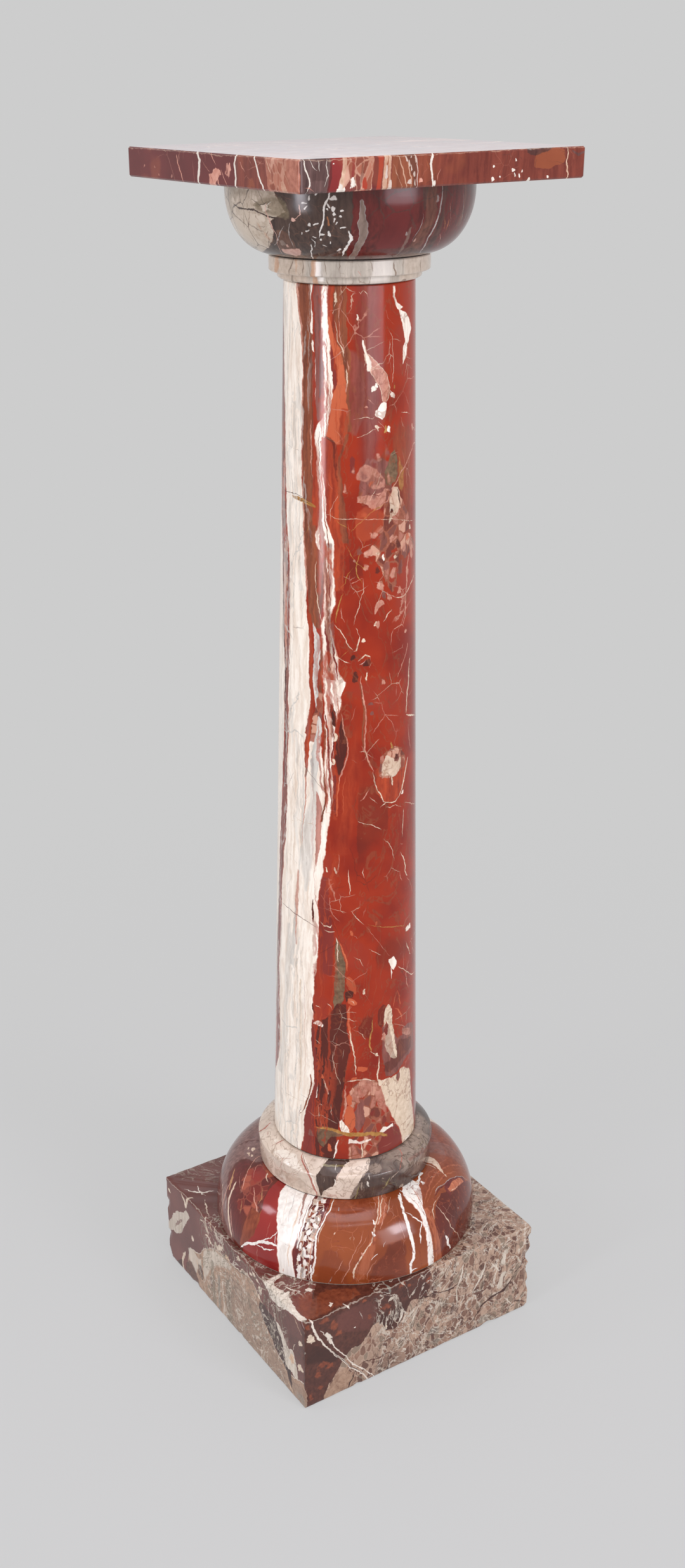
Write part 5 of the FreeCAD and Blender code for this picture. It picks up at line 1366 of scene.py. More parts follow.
    s.band("mauve", (125, 84, 98), (60, 86, 98), (20, 88, 100), ragged=4, soft=4, strength=0.5)

    s.hairlines("rust", "curls", 0.7, (-8, 94))
    s.hairlines("salmon", "cracks", 0.45, (-8, 94))
    s.hairlines("pink", "fine_net", 0.4, (-8, 178))
    s.hairlines("deep", "cracks", 0.4, (-178, -46))
    return s.finish(0.12, 0.08)


# ---- the base ring: degrees, and mm up its side and its bevel ----
def paint_ring():
    s = Stone("ring_marble", RING_ARRIS_RADIUS)
    s.unroll_turned(RING_FOOT, -1.0, RING_ARRIS_RADIUS)
    s.tone("cream", (208, 188, 170), (238, 222, 206))
    s.tone("beige", (158, 136, 118), (198, 176, 158), "grit")
    s.tone("white", (224, 212, 198), (244, 236, 224), "fibre")
    s.tone("dark", (54, 36, 30), (88, 66, 56), "fibre")
    s.tone("slate", (74, 60, 56), (110, 96, 90))
    s.tone("rose", (150, 88, 76), (186, 124, 108), "grit")
    s.tone("olive", (118, 104, 66), (152, 138, 98), "grit")
    s.tone("red", (92, 38, 30), (126, 58, 46))
    s.net("cracks", 44.0, 0.014, 0.50)
    s.net("fine_net", 80.0, 0.014, 0.54)
    s.curls("curls", 30.0, 0.030, 2.2)
    s.base("cream")

    # the far side and the dark right
    s.band("slate", (60, 20, 118), (48, 20, 118), (44, 19, 118), (40, 17, 118), (36, 16, 118),
        (32, 13.2, 118), (28, 10.8, 118), (24, 9.5, 118), (18, 8.8, 118), (12, 9.2, 118), (8, 8.2, 118),
        (4, 6, 118), (-8, 1, 116), ragged=0.9)
    s.band("red", (60, 118, 140), (20, 114, 142), (-8, 118, 138), ragged=4, rim=("rose", 1))
    s.band("dark", (60, 140, 162), (-8, 138, 160), ragged=4)
    s.band("dark", (60, -150, -128), (20, -154, -130), (-8, -150, -124), ragged=4, rim=("rose", 1))

    # swirls of the cream side
    s.clouds("beige", 0.0, 0.1, 0.5)
    s.layer("beige", (-54, 4, 12), (-46, 3, 15), (-38, 2, 17), (-30, 3, 18), (-25, 4, 12), ragged=2,
        soft=1.5, strength=0.6)
    s.layer("beige", (-120, -5, 20), (-94, -5, 22), (-66, -5, 18), (-56, -5, 6), ragged=4, soft=4,
        strength=0.7)
    s.layer("white", (-56, 26, 30), (-48, 25, 42), (-38, 24, 46), (-32, 24, 36), (-27, 23, 26),
        ragged=2, soft=3, strength=0.7)
    s.vein("rose", 2.2, (-57, 50), (-57.4, 43), (-58.6, 37), ragged=1.6)
    s.vein("rose", 3.2, (-85, 46), (-82, 36), (-83, 24), ragged=1.8)
    s.vein("rose", 0.9, (-68.6, 43), (-68, 36), ragged=0.8)
    s.vein("rose", 0.8, (-52, 50), (-55, 42), (-60, 34), (-60.5, 28), strength=0.8)
    s.vein("beige", 1.0, (-74, 30), (-64, 27), (-57, 26), (-50, 22), ragged=1.2)
    s.vein("beige", 1.2, (-62, 40), (-57, 34), (-55, 26), (-52, 16), (-52, 4), ragged=1.2)
    s.vein("rose", 0.7, (-54, 14), (-48, 12), (-46, 9), (-44, 5), ragged=0.8)
    s.vein("rose", 0.6, (-53, 4), (-47, 3.6), (-42, 2), ragged=0.6)
    s.vein("rose", 0.9, (-46, 14), (-40, 15.5), (-34, 18), (-29, 20), ragged=0.8, strength=0.7)
    s.vein("beige", 1.0, (-27, 18), (-25, 12), (-25.5, 6), (-28, 2), ragged=0.8)
    s.vein("olive", 1.6, (-25.4, 12), (-23, 9), (-21.6, 8), ragged=1.6, strength=0.8)
    s.clast("rose", -74, 37, 6, 4, soft=0.6, strength=0.4)
    s.clast("white", -62, 40, 7, 5, soft=0.5, strength=0.7)
    s.clast("white", -44, 8, 14, 6, soft=0.6, strength=0.4)
    s.hairlines("beige", "curls", 0.8, (-128, 14))
    s.hairlines("rose", "cracks", 0.55, (-128, -16))
    s.hairlines("beige", "fine_net", 0.7, (-128, 12))
    s.vein("rose", 2.4, (-35.5, 50), (-31.4, 42), (-28.2, 35), (-25.2, 28), (-23.6, 22), (-22, 14),
        (-20.4, 6), (-18, -3), ragged=0.9)
    s.vein("red", 0.9, (-34, 50), (-30, 42.5), (-26.6, 35), (-23.8, 28), (-22.4, 24), ragged=0.6)
    s.vein("white", 1.0, (-33.6, 50), (-28.6, 42), (-25, 33), (-22.4, 24), (-20.8, 14), (-19.2, 6),
        ragged=0.8)
    s.clast("beige", -23, 46, 8, 4, soft=0.5, strength=0.6)

    # the dark patch in the cream
    s.band("dark", (52, -12.5, 4), (48.5, -13, 4), (44, -14.4, 0.4), (40, -14.8, -1), (35, -16.6, -2.5),
        (30, -18, -4), (25, -19.3, -5.4), (20, -19.4, -6.4), (16, -19, -8), (14, -18.8, -10.4),
        (10, -18.2, -13.6), (6, -17.8, -15.2), (1, -17.2, -16.4), ragged=0.9)
    s.layer("olive", (-15.5, 39.6, 43), (-8, 40, 43.4), (0.5, 40.4, 43), ragged=1, soft=0.8,
        strength=0.75)
    s.layer("slate", (-17, 30, 39), (-12, 27, 40), (-5, 27, 40), (-2, 34, 39), soft=2, ragged=1,
        strength=0.6)
    s.vein("white", 1.3, (-5.4, 44), (-5.8, 40), (-6.2, 36), ragged=0.6)
    s.vein("white", 0.7, (0.4, 49), (1.4, 46.6), (1.8, 44), ragged=0.5)
    s.vein("beige", 0.7, (-5.6, 36), (-4.6, 33), (-3.2, 30.6), ragged=0.5)
    s.vein("beige", 0.7, (-13, 27), (-13.6, 23), (-14.4, 19.6), ragged=0.4)
    s.vein("white", 1.4, (-6.4, 25), (-6, 21), (-7, 17), ragged=1.2, strength=0.8)
    s.vein("rose", 1.0, (-0.6, 44), (-2, 37), (-3.4, 31), (-5, 25), (-6, 20), ragged=0.8, strength=0.45)
    s.vein("beige", 1.0, (6, 48), (4, 38), (1, 28), (-2, 18), (-6, 8), strength=0.6)
    s.vein("beige", 1.4, (14, 46), (11, 36), (6, 26), (3, 14), (0, 4), ragged=1.4, strength=0.6)
    s.clast("rose", -8, 5, 12, 5, soft=0.6, strength=0.35)

    # clasts and veins of the dark right
    s.layer("dark", (3, -3, 3), (10, -4, 25), (20, -4, 24), (34, -4, 22), (46, -4, 10), (60, -4, 4),
        soft=3, ragged=2, strength=0.75)
    s.layer("beige", (16.5, 30, 40), (19, 26, 43), (23, 27, 43), (26, 30, 40), soft=3, ragged=2,
        strength=0.4)
    s.layer("red", (46, 22, 30), (56, 20, 30), (68, 18, 28), (80, 8, 26), (100, -5, 26), soft=5,
        ragged=3, strength=0.5)
    s.vein("olive", 1.4, (9.6, 17), (9, 11), (7.6, 5), (6, -2), ragged=0.8)
    s.vein("beige", 1.2, (13.2, 32.4), (12.2, 29), (10.8, 25.5), ragged=0.8)
    s.vein("white", 1.2, (15.8, 31), (15.4, 26), (16, 21), ragged=0.7)
    s.vein("white", 2.6, (13.8, 20), (14.6, 16.5), (15.6, 12.4), ragged=0.8)
    s.vein("beige", 1.2, (12.2, 14), (13.2, 9), ragged=0.6)
    s.vein("beige", 1.4, (10.4, 20), (11, 15), (11, 9), strength=0.6)
    s.vein("olive", 2.4, (29.6, 17.4), (28, 12.6), (26.4, 8), ragged=0.9)
    s.vein("olive", 1.2, (28, 11), (26, 8), (24, 7.6), ragged=0.7, strength=0.7)
    s.vein("rose", 1.6, (45.8, 51), (46.4, 46), (44.6, 40), (42, 33), (40, 28), (38.4, 24.6),
        (37, 20.4), ragged=0.6)
    s.vein("beige", 1.2, (37.2, 21), (34, 18), (31, 16.4), (29.4, 13), ragged=0.9)
    s.clasts(("beige", 40, 3, 8, 4.4), ("beige", 71.6, 42.6, 5, 2.4))
    s.clast("beige", 66, 13, 5, 4, soft=0.5, strength=0.6)
    s.clast("beige", 24.6, 19, 3, 2, strength=0.6)
    s.clast("rose", 63, 28, 2, 2.4)
    s.vein("rose", 1.4, (60, 17), (66, 10), (72, 3), ragged=1.4, strength=0.5)
    s.vein("rose", 1.6, (76, 26), (88, 27), (100, 24), ragged=1.4, strength=0.5)
    s.hairlines("dark", "curls", 0.6, (14, 116))
    s.hairlines("olive", "cracks", 0.5, (18, 116))
    s.hairlines("red", "fine_net", 0.5, (18, 116))
    return s.finish(0.08, 0.07)


# ---- the collar: degrees, and mm up its profile ----
def paint_collar():
    s = Stone("collar_marble", COLLAR_RADIUS)
    s.unroll_turned(COLLAR_FOOT, 1.0, COLLAR_INNER_RADIUS)
    s.tone("pale", (166, 156, 144), (206, 196, 182), "fibre")
    s.tone("warm", (178, 158, 138), (212, 194, 176), "grit")
    s.tone("white", (206, 198, 188), (228, 222, 212))
    s.tone("streak", (122, 104, 90), (156, 138, 122), "fibre")
    s.tone("orange", (180, 124, 84), (206, 156, 116), "grit")
    s.tone("rose", (170, 128, 114), (196, 156, 142))
    s.net("cracks", 70.0, 0.02, 0.50, (1, 1, 0.3))
    s.net("fine_net", 110.0, 0.02, 0.52, (1, 1, 0.5))
    s.base("pale")
    s.band("warm", (36, -110, -28), (0, -120, -30), soft=8, ragged=6, strength=0.8)
    # the soft white band from 12 to 36 degrees, all the way up, is a painted highlight
    s.band("white", (36, 14, 34), (0, 12, 36), soft=6, ragged=4, strength=0.5)
    s.band("warm", (36, 36, 110), (0, 40, 120), soft=8, ragged=6, strength=0.6)
    s.band("streak", (36, 120, 128), (0, 118, 130), soft=2, ragged=4, strength=0.6)
    s.band("streak", (36, -150, -140), (0, -152, -138), soft=2, ragged=4, strength=0.6)
    s.hairlines("streak", "cracks", 0.65)
    s.hairlines("streak", "fine_net", 0.35)
    s.band("orange", (30, -64, -57), (22, -65, -56), (15, -66, -60), soft=2.4, ragged=3, strength=0.6)
    s.band("orange", (30, -41, -37), (20, -40, -38), (14, -40, -39), soft=1.4, ragged=2, strength=0.4)
    s.band("orange", (30, -27, -23), (18, -28.5, -24), (10, -30, -25), (0, -29, -23), soft=1.4,
        ragged=2, strength=0.65)
    s.band("streak", (9, -50, -47), (-2, -52, -48), soft=1.2, ragged=1.6, strength=0.7)
    s.vein("streak", 1.6, (-41, 30), (-43, 24), (-44.6, 19), (-45, 15), ragged=1.4)
    s.vein("streak", 1.4, (-34, 29), (-33.6, 22), (-34, 16), ragged=1.2)
    s.vein("streak", 1.4, (-18, 28), (-16.6, 22), (-15.6, 16), ragged=1.4, strength=0.8)
    s.vein("streak", 1.4, (-6.4, 28), (-6, 23), (-7, 17), ragged=1.2)
    s.vein("rose", 2.2, (7, 21), (8.4, 17), ragged=1.6)
    s.vein("streak", 1.6, (14.6, 28), (15.4, 23), (16, 20), ragged=1.2, strength=0.7)
    s.vein("streak", 1.6, (32, 27), (31, 21), (34, 12), (37, 7), ragged=1.2)
    s.vein("streak", 1.0, (1.6, 20), (2, 12), (2, 5), ragged=0.8)
    s.vein("streak", 1.6, (59.6, 27), (58, 22), (59, 16), ragged=1.8)
    s.vein("streak", 1.2, (40, 28), (38.6, 22), (39, 17), ragged=1.6)
    s.vein("rose", 1.0, (48, 21), (49, 18), ragged=1.2)
    s.vein("streak", 1.4, (-19, 8), (-17.4, 4), (-17, 0))
    s.vein("orange", 2.0, (-45, 8), (-44, 3), ragged=1.4, strength=0.5)
    s.clast("streak", 47, 3, 6, 3, soft=0.5, strength=0.8)
    return s.finish(0.09, 0.09)


# ---- the top slab: mm round its sides from the back left corner, and mm up ----
def paint_slab():
    s = Stone("slab_marble", coarse=0.003, fine=0.001)
    s.unroll_square(SLAB_HALF, SLAB_FOOT)
    s.tone("oxblood", (86, 22, 22), (114, 38, 38))
    s.tone("russet", (98, 35, 25), (132, 60, 44), "fibre")
    s.tone("pink", (188, 120, 100), (220, 162, 142), "grit")
    s.tone("white", (212, 202, 188), (240, 232, 220), "fibre")
    s.tone("salmon", (144, 80, 62), (190, 124, 102), "grit")
    s.tone("mauve", (66, 42, 40), (112, 82, 78), "fibre")
    s.tone("crimson", (118, 26, 28), (146, 46, 44))
    s.tone("bright", (146, 34, 20), (180, 54, 32))
    s.tone("cream", (194, 152, 124), (228, 198, 172), "grit")
    s.tone("brown", (100, 48, 30), (140, 76, 50), "fibre")
    s.tone("orange", (126, 58, 32), (156, 82, 50))
    s.tone("dark", (50, 28, 26), (80, 50, 46), "fibre")
    broken = ((190, 128, 106), (150, 84, 66), (208, 160, 138), (124, 60, 50), (170, 104, 84))
    s.breccia("rubble", broken, 210.0, (1, 1, 0.5), gap=(196, 148, 126))
    s.net("cracks", 44.0, 0.012, 0.52)
    s.net("fine_net", 90.0, 0.014, 0.54)
    s.curls("streaks", 8.0, 0.010, 1.8, (1.0, 0.5, 1.0))
    s.curls("broad_streaks", 6.0, 0.040, 1.4, (1.0, 0.5, 1.0))
    s.base("oxblood")

    # the left side, as the photograph shows it
    s.vein("pink", 1.6, (82, 18.5), (82.4, 13), (85, 9), (88, 5), (90.4, -1))
    s.vein("pink", 0.8, (82.4, 10.5), (84.6, 9.4), (87, 9), ragged=0.8)
    s.vein("pink", 0.6, (48, 15), (56, 17.6), (66, 20), ragged=0.4, strength=0.4)
    s.vein("white", 3.2, (112, 26), (114, 22), (117.6, 17.5), (115.6, 11), (114, 5), (112.8, -3),
        ragged=0.9)
    s.vein("pink", 0.9, (120, 17), (125, 12.6), (131, 9.4), ragged=0.6)
    s.vein("pink", 1.6, (132, 24), (136, 18.6), (141.4, 14.6), ragged=0.8)
    s.layer("pink", (129, -3, 8), (134, -3, 9), (137, -3, 12), (140, 4, 13), (143, 6, 13), (146, 8, 12),
        (148, 8, 9.6), ragged=2.4)
    s.vein("crimson", 1.2, (131, 8), (134, 4), (136, 1), ragged=1.2)
    s.vein("pink", 1.4, (142, 9), (143, 4), (145.6, -2))
    s.vein("pink", 1.1, (147, 12.6), (151, 8.6), (155, 3.4), (159, -2), ragged=0.9)
    s.clast("pink", 157.6, 12, 7, 10, -20, strength=0.8)
    s.clasts(("oxblood", 157, 11.4, 2, 5, -20), ("pink", 161, 14.5, 2.4, 6, 10))
    s.band("russet", (104, 192.5, 193.5), (36, 173.9, 205.1), (24, 169, 209), (-4, 168, 212), ragged=2)
    s.clast("orange", 190, 4, 12, 8, 10, soft=0.6, strength=0.7)
    s.vein("pink", 1.2, (176, 18), (179.4, 14), (183, 10.6), ragged=0.8)
    s.vein("pink", 0.9, (185, 23), (190, 18), (192, 15), ragged=0.8, strength=0.7)
    s.vein("pink", 0.8, (180, 6), (184, 9), (190, 6), ragged=0.8, strength=0.7)
    s.vein("pink", 0.9, (197, 22), (203, 18), (207, 20), ragged=0.8, strength=0.7)
    s.vein("white", 2.6, (172, 26), (170, 21), (167.4, 17), (168.6, 11), (169.6, 7), (168.6, 4),
        (167, -3), ragged=1.2)
    s.vein("mauve", 1.2, (171.6, 24), (170.8, 14), (170.6, 4), ragged=0.9)
    s.vein("white", 2.2, (193, 26), (196.4, 19), (200, 11), (203, 5.6), (206, 2.6), (206.4, -3),
        ragged=0.9)
    s.band("salmon", (104, 235.5, 236.5), (36, 214.6, 250.4), (24, 209, 256), (10, 211, 256),
        (-4, 212, 256), ragged=2)
    s.band("rubble", (24, 216, 240), (10, 214, 238), (-4, 213, 232), ragged=5, soft=2, strength=0.75)
    s.clast("russet", 219, 3.6, 9, 5, soft=0.4, strength=0.8)
    s.clast("cream", 233, 4, 6, 9, 20, strength=0.7)
    s.vein("cream", 1.4, (210, 24), (213, 18), (218, 11.6), ragged=0.9)
    s.vein("cream", 0.9, (227, 23), (232, 16), (238, 9), (243, 3), ragged=0.8, strength=0.8)
    s.vein("russet", 1.0, (222, 22), (228, 14), (231, 10), ragged=1.2)
    s.clast("pink", 28, 9.6, 2.4, 2, 20, strength=0.6)
    s.clasts(("pink", 45.6, 9, 2, 1.6), ("pink", 51.6, 3.8, 3, 1.8), ("pink", 72.4, 4.6, 1.6, 3),
        strength=0.5)

    # the right side
    s.band("mauve", (70, 269.5, 270.5), (36, 257, 276), (24, 254, 279), (-4, 254, 277), ragged=2)
    s.band("dark", (20, 264, 274), (8, 262, 276), soft=3, ragged=3, strength=0.5)
    s.vein("white", 1.6, (257, 25), (258.4, 16), (261, 11), (262, 6), (258, -2), ragged=1.2)
    s.vein("white", 1.0, (262, 24), (264, 18), (268, 15), ragged=1.2, strength=0.8)
    s.vein("white", 1.0, (268, 24), (269, 18), (270, 14), ragged=1.2, strength=0.8)
    s.vein("white", 1.2, (276, 25), (275, 19), (277, 12), (274, 4), ragged=1.2, strength=0.7)
    s.vein("pink", 1.0, (256, 4), (262, 4), (266, 1), strength=0.8)
    s.band("crimson", (70, 287.5, 288.5), (36, 280.3, 288.7), (24, 279, 289.6), (10, 280, 289),
        (-4, 277, 286), ragged=1.4)
    s.band("cream", (70, 295, 296), (36, 290.5, 293.5), (24, 289, 294), (12, 288, 292), (-4, 284, 290),
        ragged=2.6)
    s.band("rubble", (70, 308, 309), (36, 296.6, 313.4), (24, 293.4, 316), (-4, 289, 315), ragged=4)
    s.band("crimson", (24, 296, 299), (12, 297, 299), (-3, 295, 297), ragged=3, strength=0.8)
    s.band("dark", (18, 304, 306), (10, 305, 308), (2, 304, 305), ragged=3, strength=0.6)
    s.clasts(("white", 298, 7, 5, 7, 12), ("white", 287.6, 3, 5, 7, -16), ("white", 291, 2, 3, 5, 10),
        ("bright", 308.6, 5, 4, 9))
    s.band("oxblood", (24, 315.4, 318.4), (-3, 314, 318), ragged=2)
    s.band("bright", (70, 324.4, 325.4), (36, 319.1, 323.7), (24, 318.4, 324), (12, 319, 323.6),
        (-4, 318, 323), ragged=1.4)
    s.band("cream", (70, 330.7, 331.7), (36, 325.2, 330.2), (24, 324, 331), (10, 323.6, 330),
        (-4, 323, 331), ragged=2.6)
    s.vein("orange", 1.2, (328, 25), (327, 16), (328, 8), (327, -2), ragged=1.4)
    s.clasts(("white", 326.6, 12, 2.4, 12), ("white", 330, 3, 4, 7))
    s.band("brown", (70, 344.5, 345.5), (36, 333.5, 349.5), (24, 331, 351), (-4, 331, 350), ragged=1.6)
    s.vein("cream", 1.4, (335, 25), (338, 17), (341, 9), (344, -2), ragged=0.9)
    s.vein("cream", 0.9, (332, 16), (336, 8), (340, 0), ragged=0.9, strength=0.8)
    s.vein("cream", 1.1, (341, 25), (344.6, 16), (347.4, 8), (348, -2), ragged=0.9)
    s.band("dark", (70, 348, 349), (36, 341.2, 348.8), (24, 341, 351), (16, 345, 351.6),
        (8, 348.6, 352), (-4, 349.6, 352), ragged=1.4)
    for across, up, wide, tall, turn in (
        (342.6, 20, 1.6, 5, 20), (345.6, 17, 1.4, 5, 10), (347.6, 13.4, 1.6, 5, 20),
        (350, 9, 1.2, 5, 0), (350.6, 20, 1.2, 6, 6), (346, 4, 4, 4, 0), (350.6, 3, 1.0, 5, 0),
        (347, 21, 1.2, 3, 0),
    ):
        s.clast("white", across, up, wide, tall, turn, strength=0.9)
    s.vein("white", 1.1, (349.6, 26), (351.6, 18), (353, 10), (352.4, -3), ragged=0.8)
    s.band("russet", (104, 433.3, 434.3), (36, 371.2, 489.4), (24, 353, 508), (-4, 353, 508),
        ragged=1.4)
    s.clouds("orange", 0.03, 0.10, 0.35)
    s.vein("white", 2.0, (365.4, 26), (365.2, 20), (364, 15), (365.4, 8), (367, 2), (368, -3),
        ragged=0.8)
    s.vein("pink", 0.8, (373.6, 12.4), (371.4, 7), (370.6, 2), ragged=0.5)
    s.vein("orange", 1.2, (360.4, 18.4), (362, 14), (363.4, 10.6), ragged=0.8)
    s.clast("pink", 356, 4, 3, 3)
    for across, up, wide, tall, turn in (
        (368.4, 1.5, 3, 4, 0), (420.6, 11, 2.2, 2.4, 30), (420.4, 2, 3, 3.4, 30),
        (427.2, 3.4, 1.8, 1.8, 0), (438.4, 8.4, 2.6, 3.2, 30), (440.2, 15, 1.2, 3, 20),
        (440.6, 4.8, 1.2, 4, 20), (444.6, 4, 1.6, 3.6, 20), (447, 7, 1.2, 2, 0), (454, 1.4, 3, 3.4, 0),
        (471.6, 2.4, 1.6, 2.4, 0), (453, 22, 4, 2, -20), (281, 19.4, 1.6, 1.2, 0),
    ):
        s.clast("white", across, up, wide, tall, turn)
    s.layer("orange", (457.6, 10, 14), (460, 8.6, 19), (466, 7.6, 21), (474, 8, 22), (482, 10, 22),
        (487, 12, 20), (488.4, 14, 17), ragged=1)
    s.layer("dark", (450, 19, 24), (456, 17.4, 26), (462, 17.6, 26), (470, 19, 26), (476, 21.6, 26),
        ragged=1.4, strength=0.75)
    s.vein("dark", 0.7, (458.6, 19), (459.6, 14), (459, 10), (461, 8), ragged=0.5)
    s.vein("cream", 1.6, (489, 24), (491, 18), (489, 12), (489.4, 6), (490.6, 3), (488.4, -3),
        ragged=0.8)
    s.vein("mauve", 2.4, (494, 20), (500, 16), (508, 18), ragged=1.8, strength=0.7)

    # the two sides at the back
    s.band("brown", (104, 568, 569), (36, 546, 584), (24, 544, 596), (-4, 540, 590), soft=1.5, ragged=8)
    s.band("cream", (70, 606.5, 607.5), (36, 600.8, 606.2), (24, 604, 610), (-4, 600, 606), ragged=3,
        rim=("crimson", 1))
    s.band("rubble", (104, 668, 669), (36, 646, 684), (-4, 636, 700), ragged=9)
    s.band("mauve", (104, 739, 740), (36, 723.8, 748.2), (-4, 716, 748), soft=1.5, ragged=8)
    s.vein("white", 2.4, (770, 26), (766, 14), (769, -3), ragged=1.2)
    s.band("brown", (104, 838, 839), (36, 808.4, 861.6), (-4, 806, 860), ragged=3)
    s.vein("pink", 1.6, (900, 24), (906, 12), (902, -3), ragged=1.2)
    s.vein("cream", 1.8, (950, 24), (944, 12), (948, -3), ragged=1.2)
    s.hairlines("brown", "broad_streaks", 0.7, above=26)
    s.hairlines("cream", "streaks", 0.8, above=26)
    s.hairlines("pink", "cracks", 0.35, (4, 208))
    s.hairlines("salmon", "fine_net", 0.4, (353, 1010))
    s.hairlines("dark", "cracks", 0.4, (353, 1010))
    s.arris("cream", 0.0, 22.0, SLAB_HALF * 2, 0.6, 0.35)
    return s.finish(0.07, 0.05)


# ---- the plinth: mm round its sides from the back left corner, and mm up ----
def paint_plinth():
    s = Stone("plinth_marble", coarse=0.005, fine=0.0016)
    s.unroll_square(PLINTH_HALF, 0.0)
    s.tone("mauve", (92, 48, 42), (122, 70, 62))
    s.tone("beige", (136, 110, 92), (174, 146, 124), "grit")
    s.tone("tan", (146, 113, 90), (186, 153, 128), "grit")
    s.tone("pale", (182, 168, 150), (224, 212, 196), "fibre")
    s.tone("olive", (104, 92, 76), (142, 130, 110), "fibre")
    s.tone("dark", (44, 22, 17), (76, 38, 30))
    s.tone("brown", (68, 34, 27), (98, 54, 42), "grit")
    s.tone("rust", (114, 52, 32), (154, 80, 50), "grit")
    s.tone("cream", (194, 172, 148), (232, 214, 192), "grit")
    s.tone("white", (210, 196, 180), (240, 230, 216), "fibre")
    s.tone("slate", (108, 104, 94), (148, 142, 130), "grit")
    s.tone("peach", (196, 160, 128), (224, 194, 164), "grit")
    broken = ((152, 118, 98), (128, 94, 78), (182, 152, 130), (106, 74, 62), (166, 138, 118),
        (142, 122, 104))
    s.breccia("rubble", broken, 170.0, (1, 1, 0.55), gap=(178, 150, 130))
    s.net("chips", 75.0, 0.035, 0.46, (1, 1, 0.6))
    s.curls("curls", 30.0, 0.028, 2.0, (1, 1, 0.8))
    s.curls("dark_curls", 27.0, 0.022, 3.0, (1, 1, 0.8))
    s.net("fine_net", 120.0, 0.030, 0.44)
    s.base("mauve")

    # left side: the beige dome and the pale patch
    s.layer("tan", (38, -10, 6), (42, -10, 24), (48, -10, 40), (60, -10, 44), (70, -10, 47),
        (77, -10, 56), (84, -10, 62), (92, -10, 70), (100, -10, 75), (108, -10, 78.5), (120, -10, 80.5),
        (135, -10, 82), (150, -10, 84), (165, -10, 87), (178, -10, 84), (186, -10, 78), (196, -10, 72),
        (202, -10, 66), (208, -10, 50), (214, -10, 36), (222, -10, 31), (234, -10, 29), (242, -10, 22),
        (250, -10, 24), (262, -10, 27), (276, -10, 31), ragged=2, rim=("pale", 1.0))
    s.layer("beige", (120, -10, 60), (140, -10, 66), (165, -10, 72), (190, -10, 66), (206, -10, 44),
        (240, -10, 20), (276, -10, 26), soft=6, ragged=4)
    s.layer("pale", (77, 14, 55), (82, 24, 61), (88, 34, 66), (94, 44, 71), (102, 52, 76),
        (112, 58, 79), (124, 64, 80), (136, 68, 81), soft=5, ragged=3, strength=0.8)
    s.layer("pale", (44, 22, 38), (50, 20, 44), (58, 14, 44), (66, 26, 42), (74, 30, 44), soft=3,
        ragged=3, strength=0.8)
    s.band("olive", (56, 91, 99), (30, 91, 101), (-10, 90, 102), soft=3, ragged=3, strength=0.75)
    s.band("slate", (48, 104, 112), (20, 103, 111), (-10, 102, 110), soft=3, ragged=3, strength=0.75)
    s.band("olive", (54, 121, 132), (20, 121, 134), (-10, 122, 136), soft=4, ragged=3, strength=0.6)
    s.band("brown", (34, 88, 96), (22, 89, 95), (18, 90, 94), soft=2, ragged=3, strength=0.6)
    s.band("pale", (44, 113, 118), (20, 114, 119), (-10, 114, 120), soft=2, ragged=2, strength=0.6)
    s.vein("pale", 2.0, (79.5, 62), (78.6, 46), (78, 30), (77.6, 14), ragged=1.2)
    s.layer("dark", (64, 20, 26), (67, 18, 34), (72, 14, 33), (76, 16, 28), ragged=3, strength=0.8)
    s.vein("peach", 2.2, (62, 38), (66, 28), (70, 19), (75, 10), (80, 0), ragged=1.4)
    s.vein("pale", 1.2, (66, 36), (70, 26), (74, 18), (80, 8))
    s.vein("brown", 1.2, (64, 34), (68, 24), (72, 16), (77, 7))
    s.layer("brown", (36, -8, 12), (42, -8, 22), (50, -8, 25), (58, -8, 19), (64, -8, 10), soft=3,
        ragged=3, strength=0.85)
    s.layer("dark", (14, -8, 1), (22, -8, 8), (28, -8, 12), (31, -8, 4), ragged=1.4)
    s.vein("cream", 4.0, (36, 29), (33, 22), (30, 14), (29, 6), (31, -4), ragged=1.8)
    s.layer("pale", (-4, 20, 44), (4, 34, 48), (10, 40, 56), (16, 42, 66), (22, 43, 72), (28, 48, 74),
        (34, 57, 78), (40, 66, 84), (45, 74, 82), (48, 76, 79), ragged=3.4, strength=0.85)
    s.layer("mauve", (16, 48, 50), (20, 52, 58), (26, 60, 64), (32, 66, 68), ragged=3, strength=0.7)
    s.vein("cream", 1.6, (20, 70), (28, 62), (26, 50), (24, 44), ragged=1.6, strength=0.7)
    s.clast("cream", 54.6, 57, 6, 7, 30)
    s.vein("cream", 5.0, (31, 101), (36, 96), (40, 91), (40, 86), ragged=3)
    s.vein("cream", 4.0, (46, 108), (43, 100), (42, 92), ragged=3)
    s.clast("cream", 6, 90, 6, 5)
    s.vein("cream", 2.6, (73, 93), (78, 97), (82, 92), (86, 88), (90, 84), ragged=2)
    s.vein("cream", 2.8, (82, 106), (83, 98), (86, 91), (90, 86), ragged=2)
    s.vein("peach", 2.6, (91, 106), (94, 99), (97, 94), ragged=2, strength=0.8)
    s.vein("cream", 2.6, (99, 106), (103, 98), (106, 91), ragged=2)
    s.vein("cream", 3.6, (83, 80), (88, 82), (92, 78), (97, 76), ragged=2)
    s.clast("cream", 103, 83, 9, 7, 20, strength=0.8)
    s.clast("cream", 112, 86, 13, 8, 14, strength=0.9)
    s.clast("cream", 118, 90, 6, 5, strength=0.8)
    s.clast("peach", 127, 83.5, 9, 6, 20)
    s.clast("cream", 130, 78, 6, 4, -30, strength=0.8)
    s.vein("cream", 2.0, (98, 76), (108, 81), (120, 82), ragged=1.4, strength=0.8)
    s.vein("cream", 1.8, (136, 84), (150, 84.4), (157, 87.6), (165, 88.6), (172, 85.6), (181, 86),
        ragged=1.6)
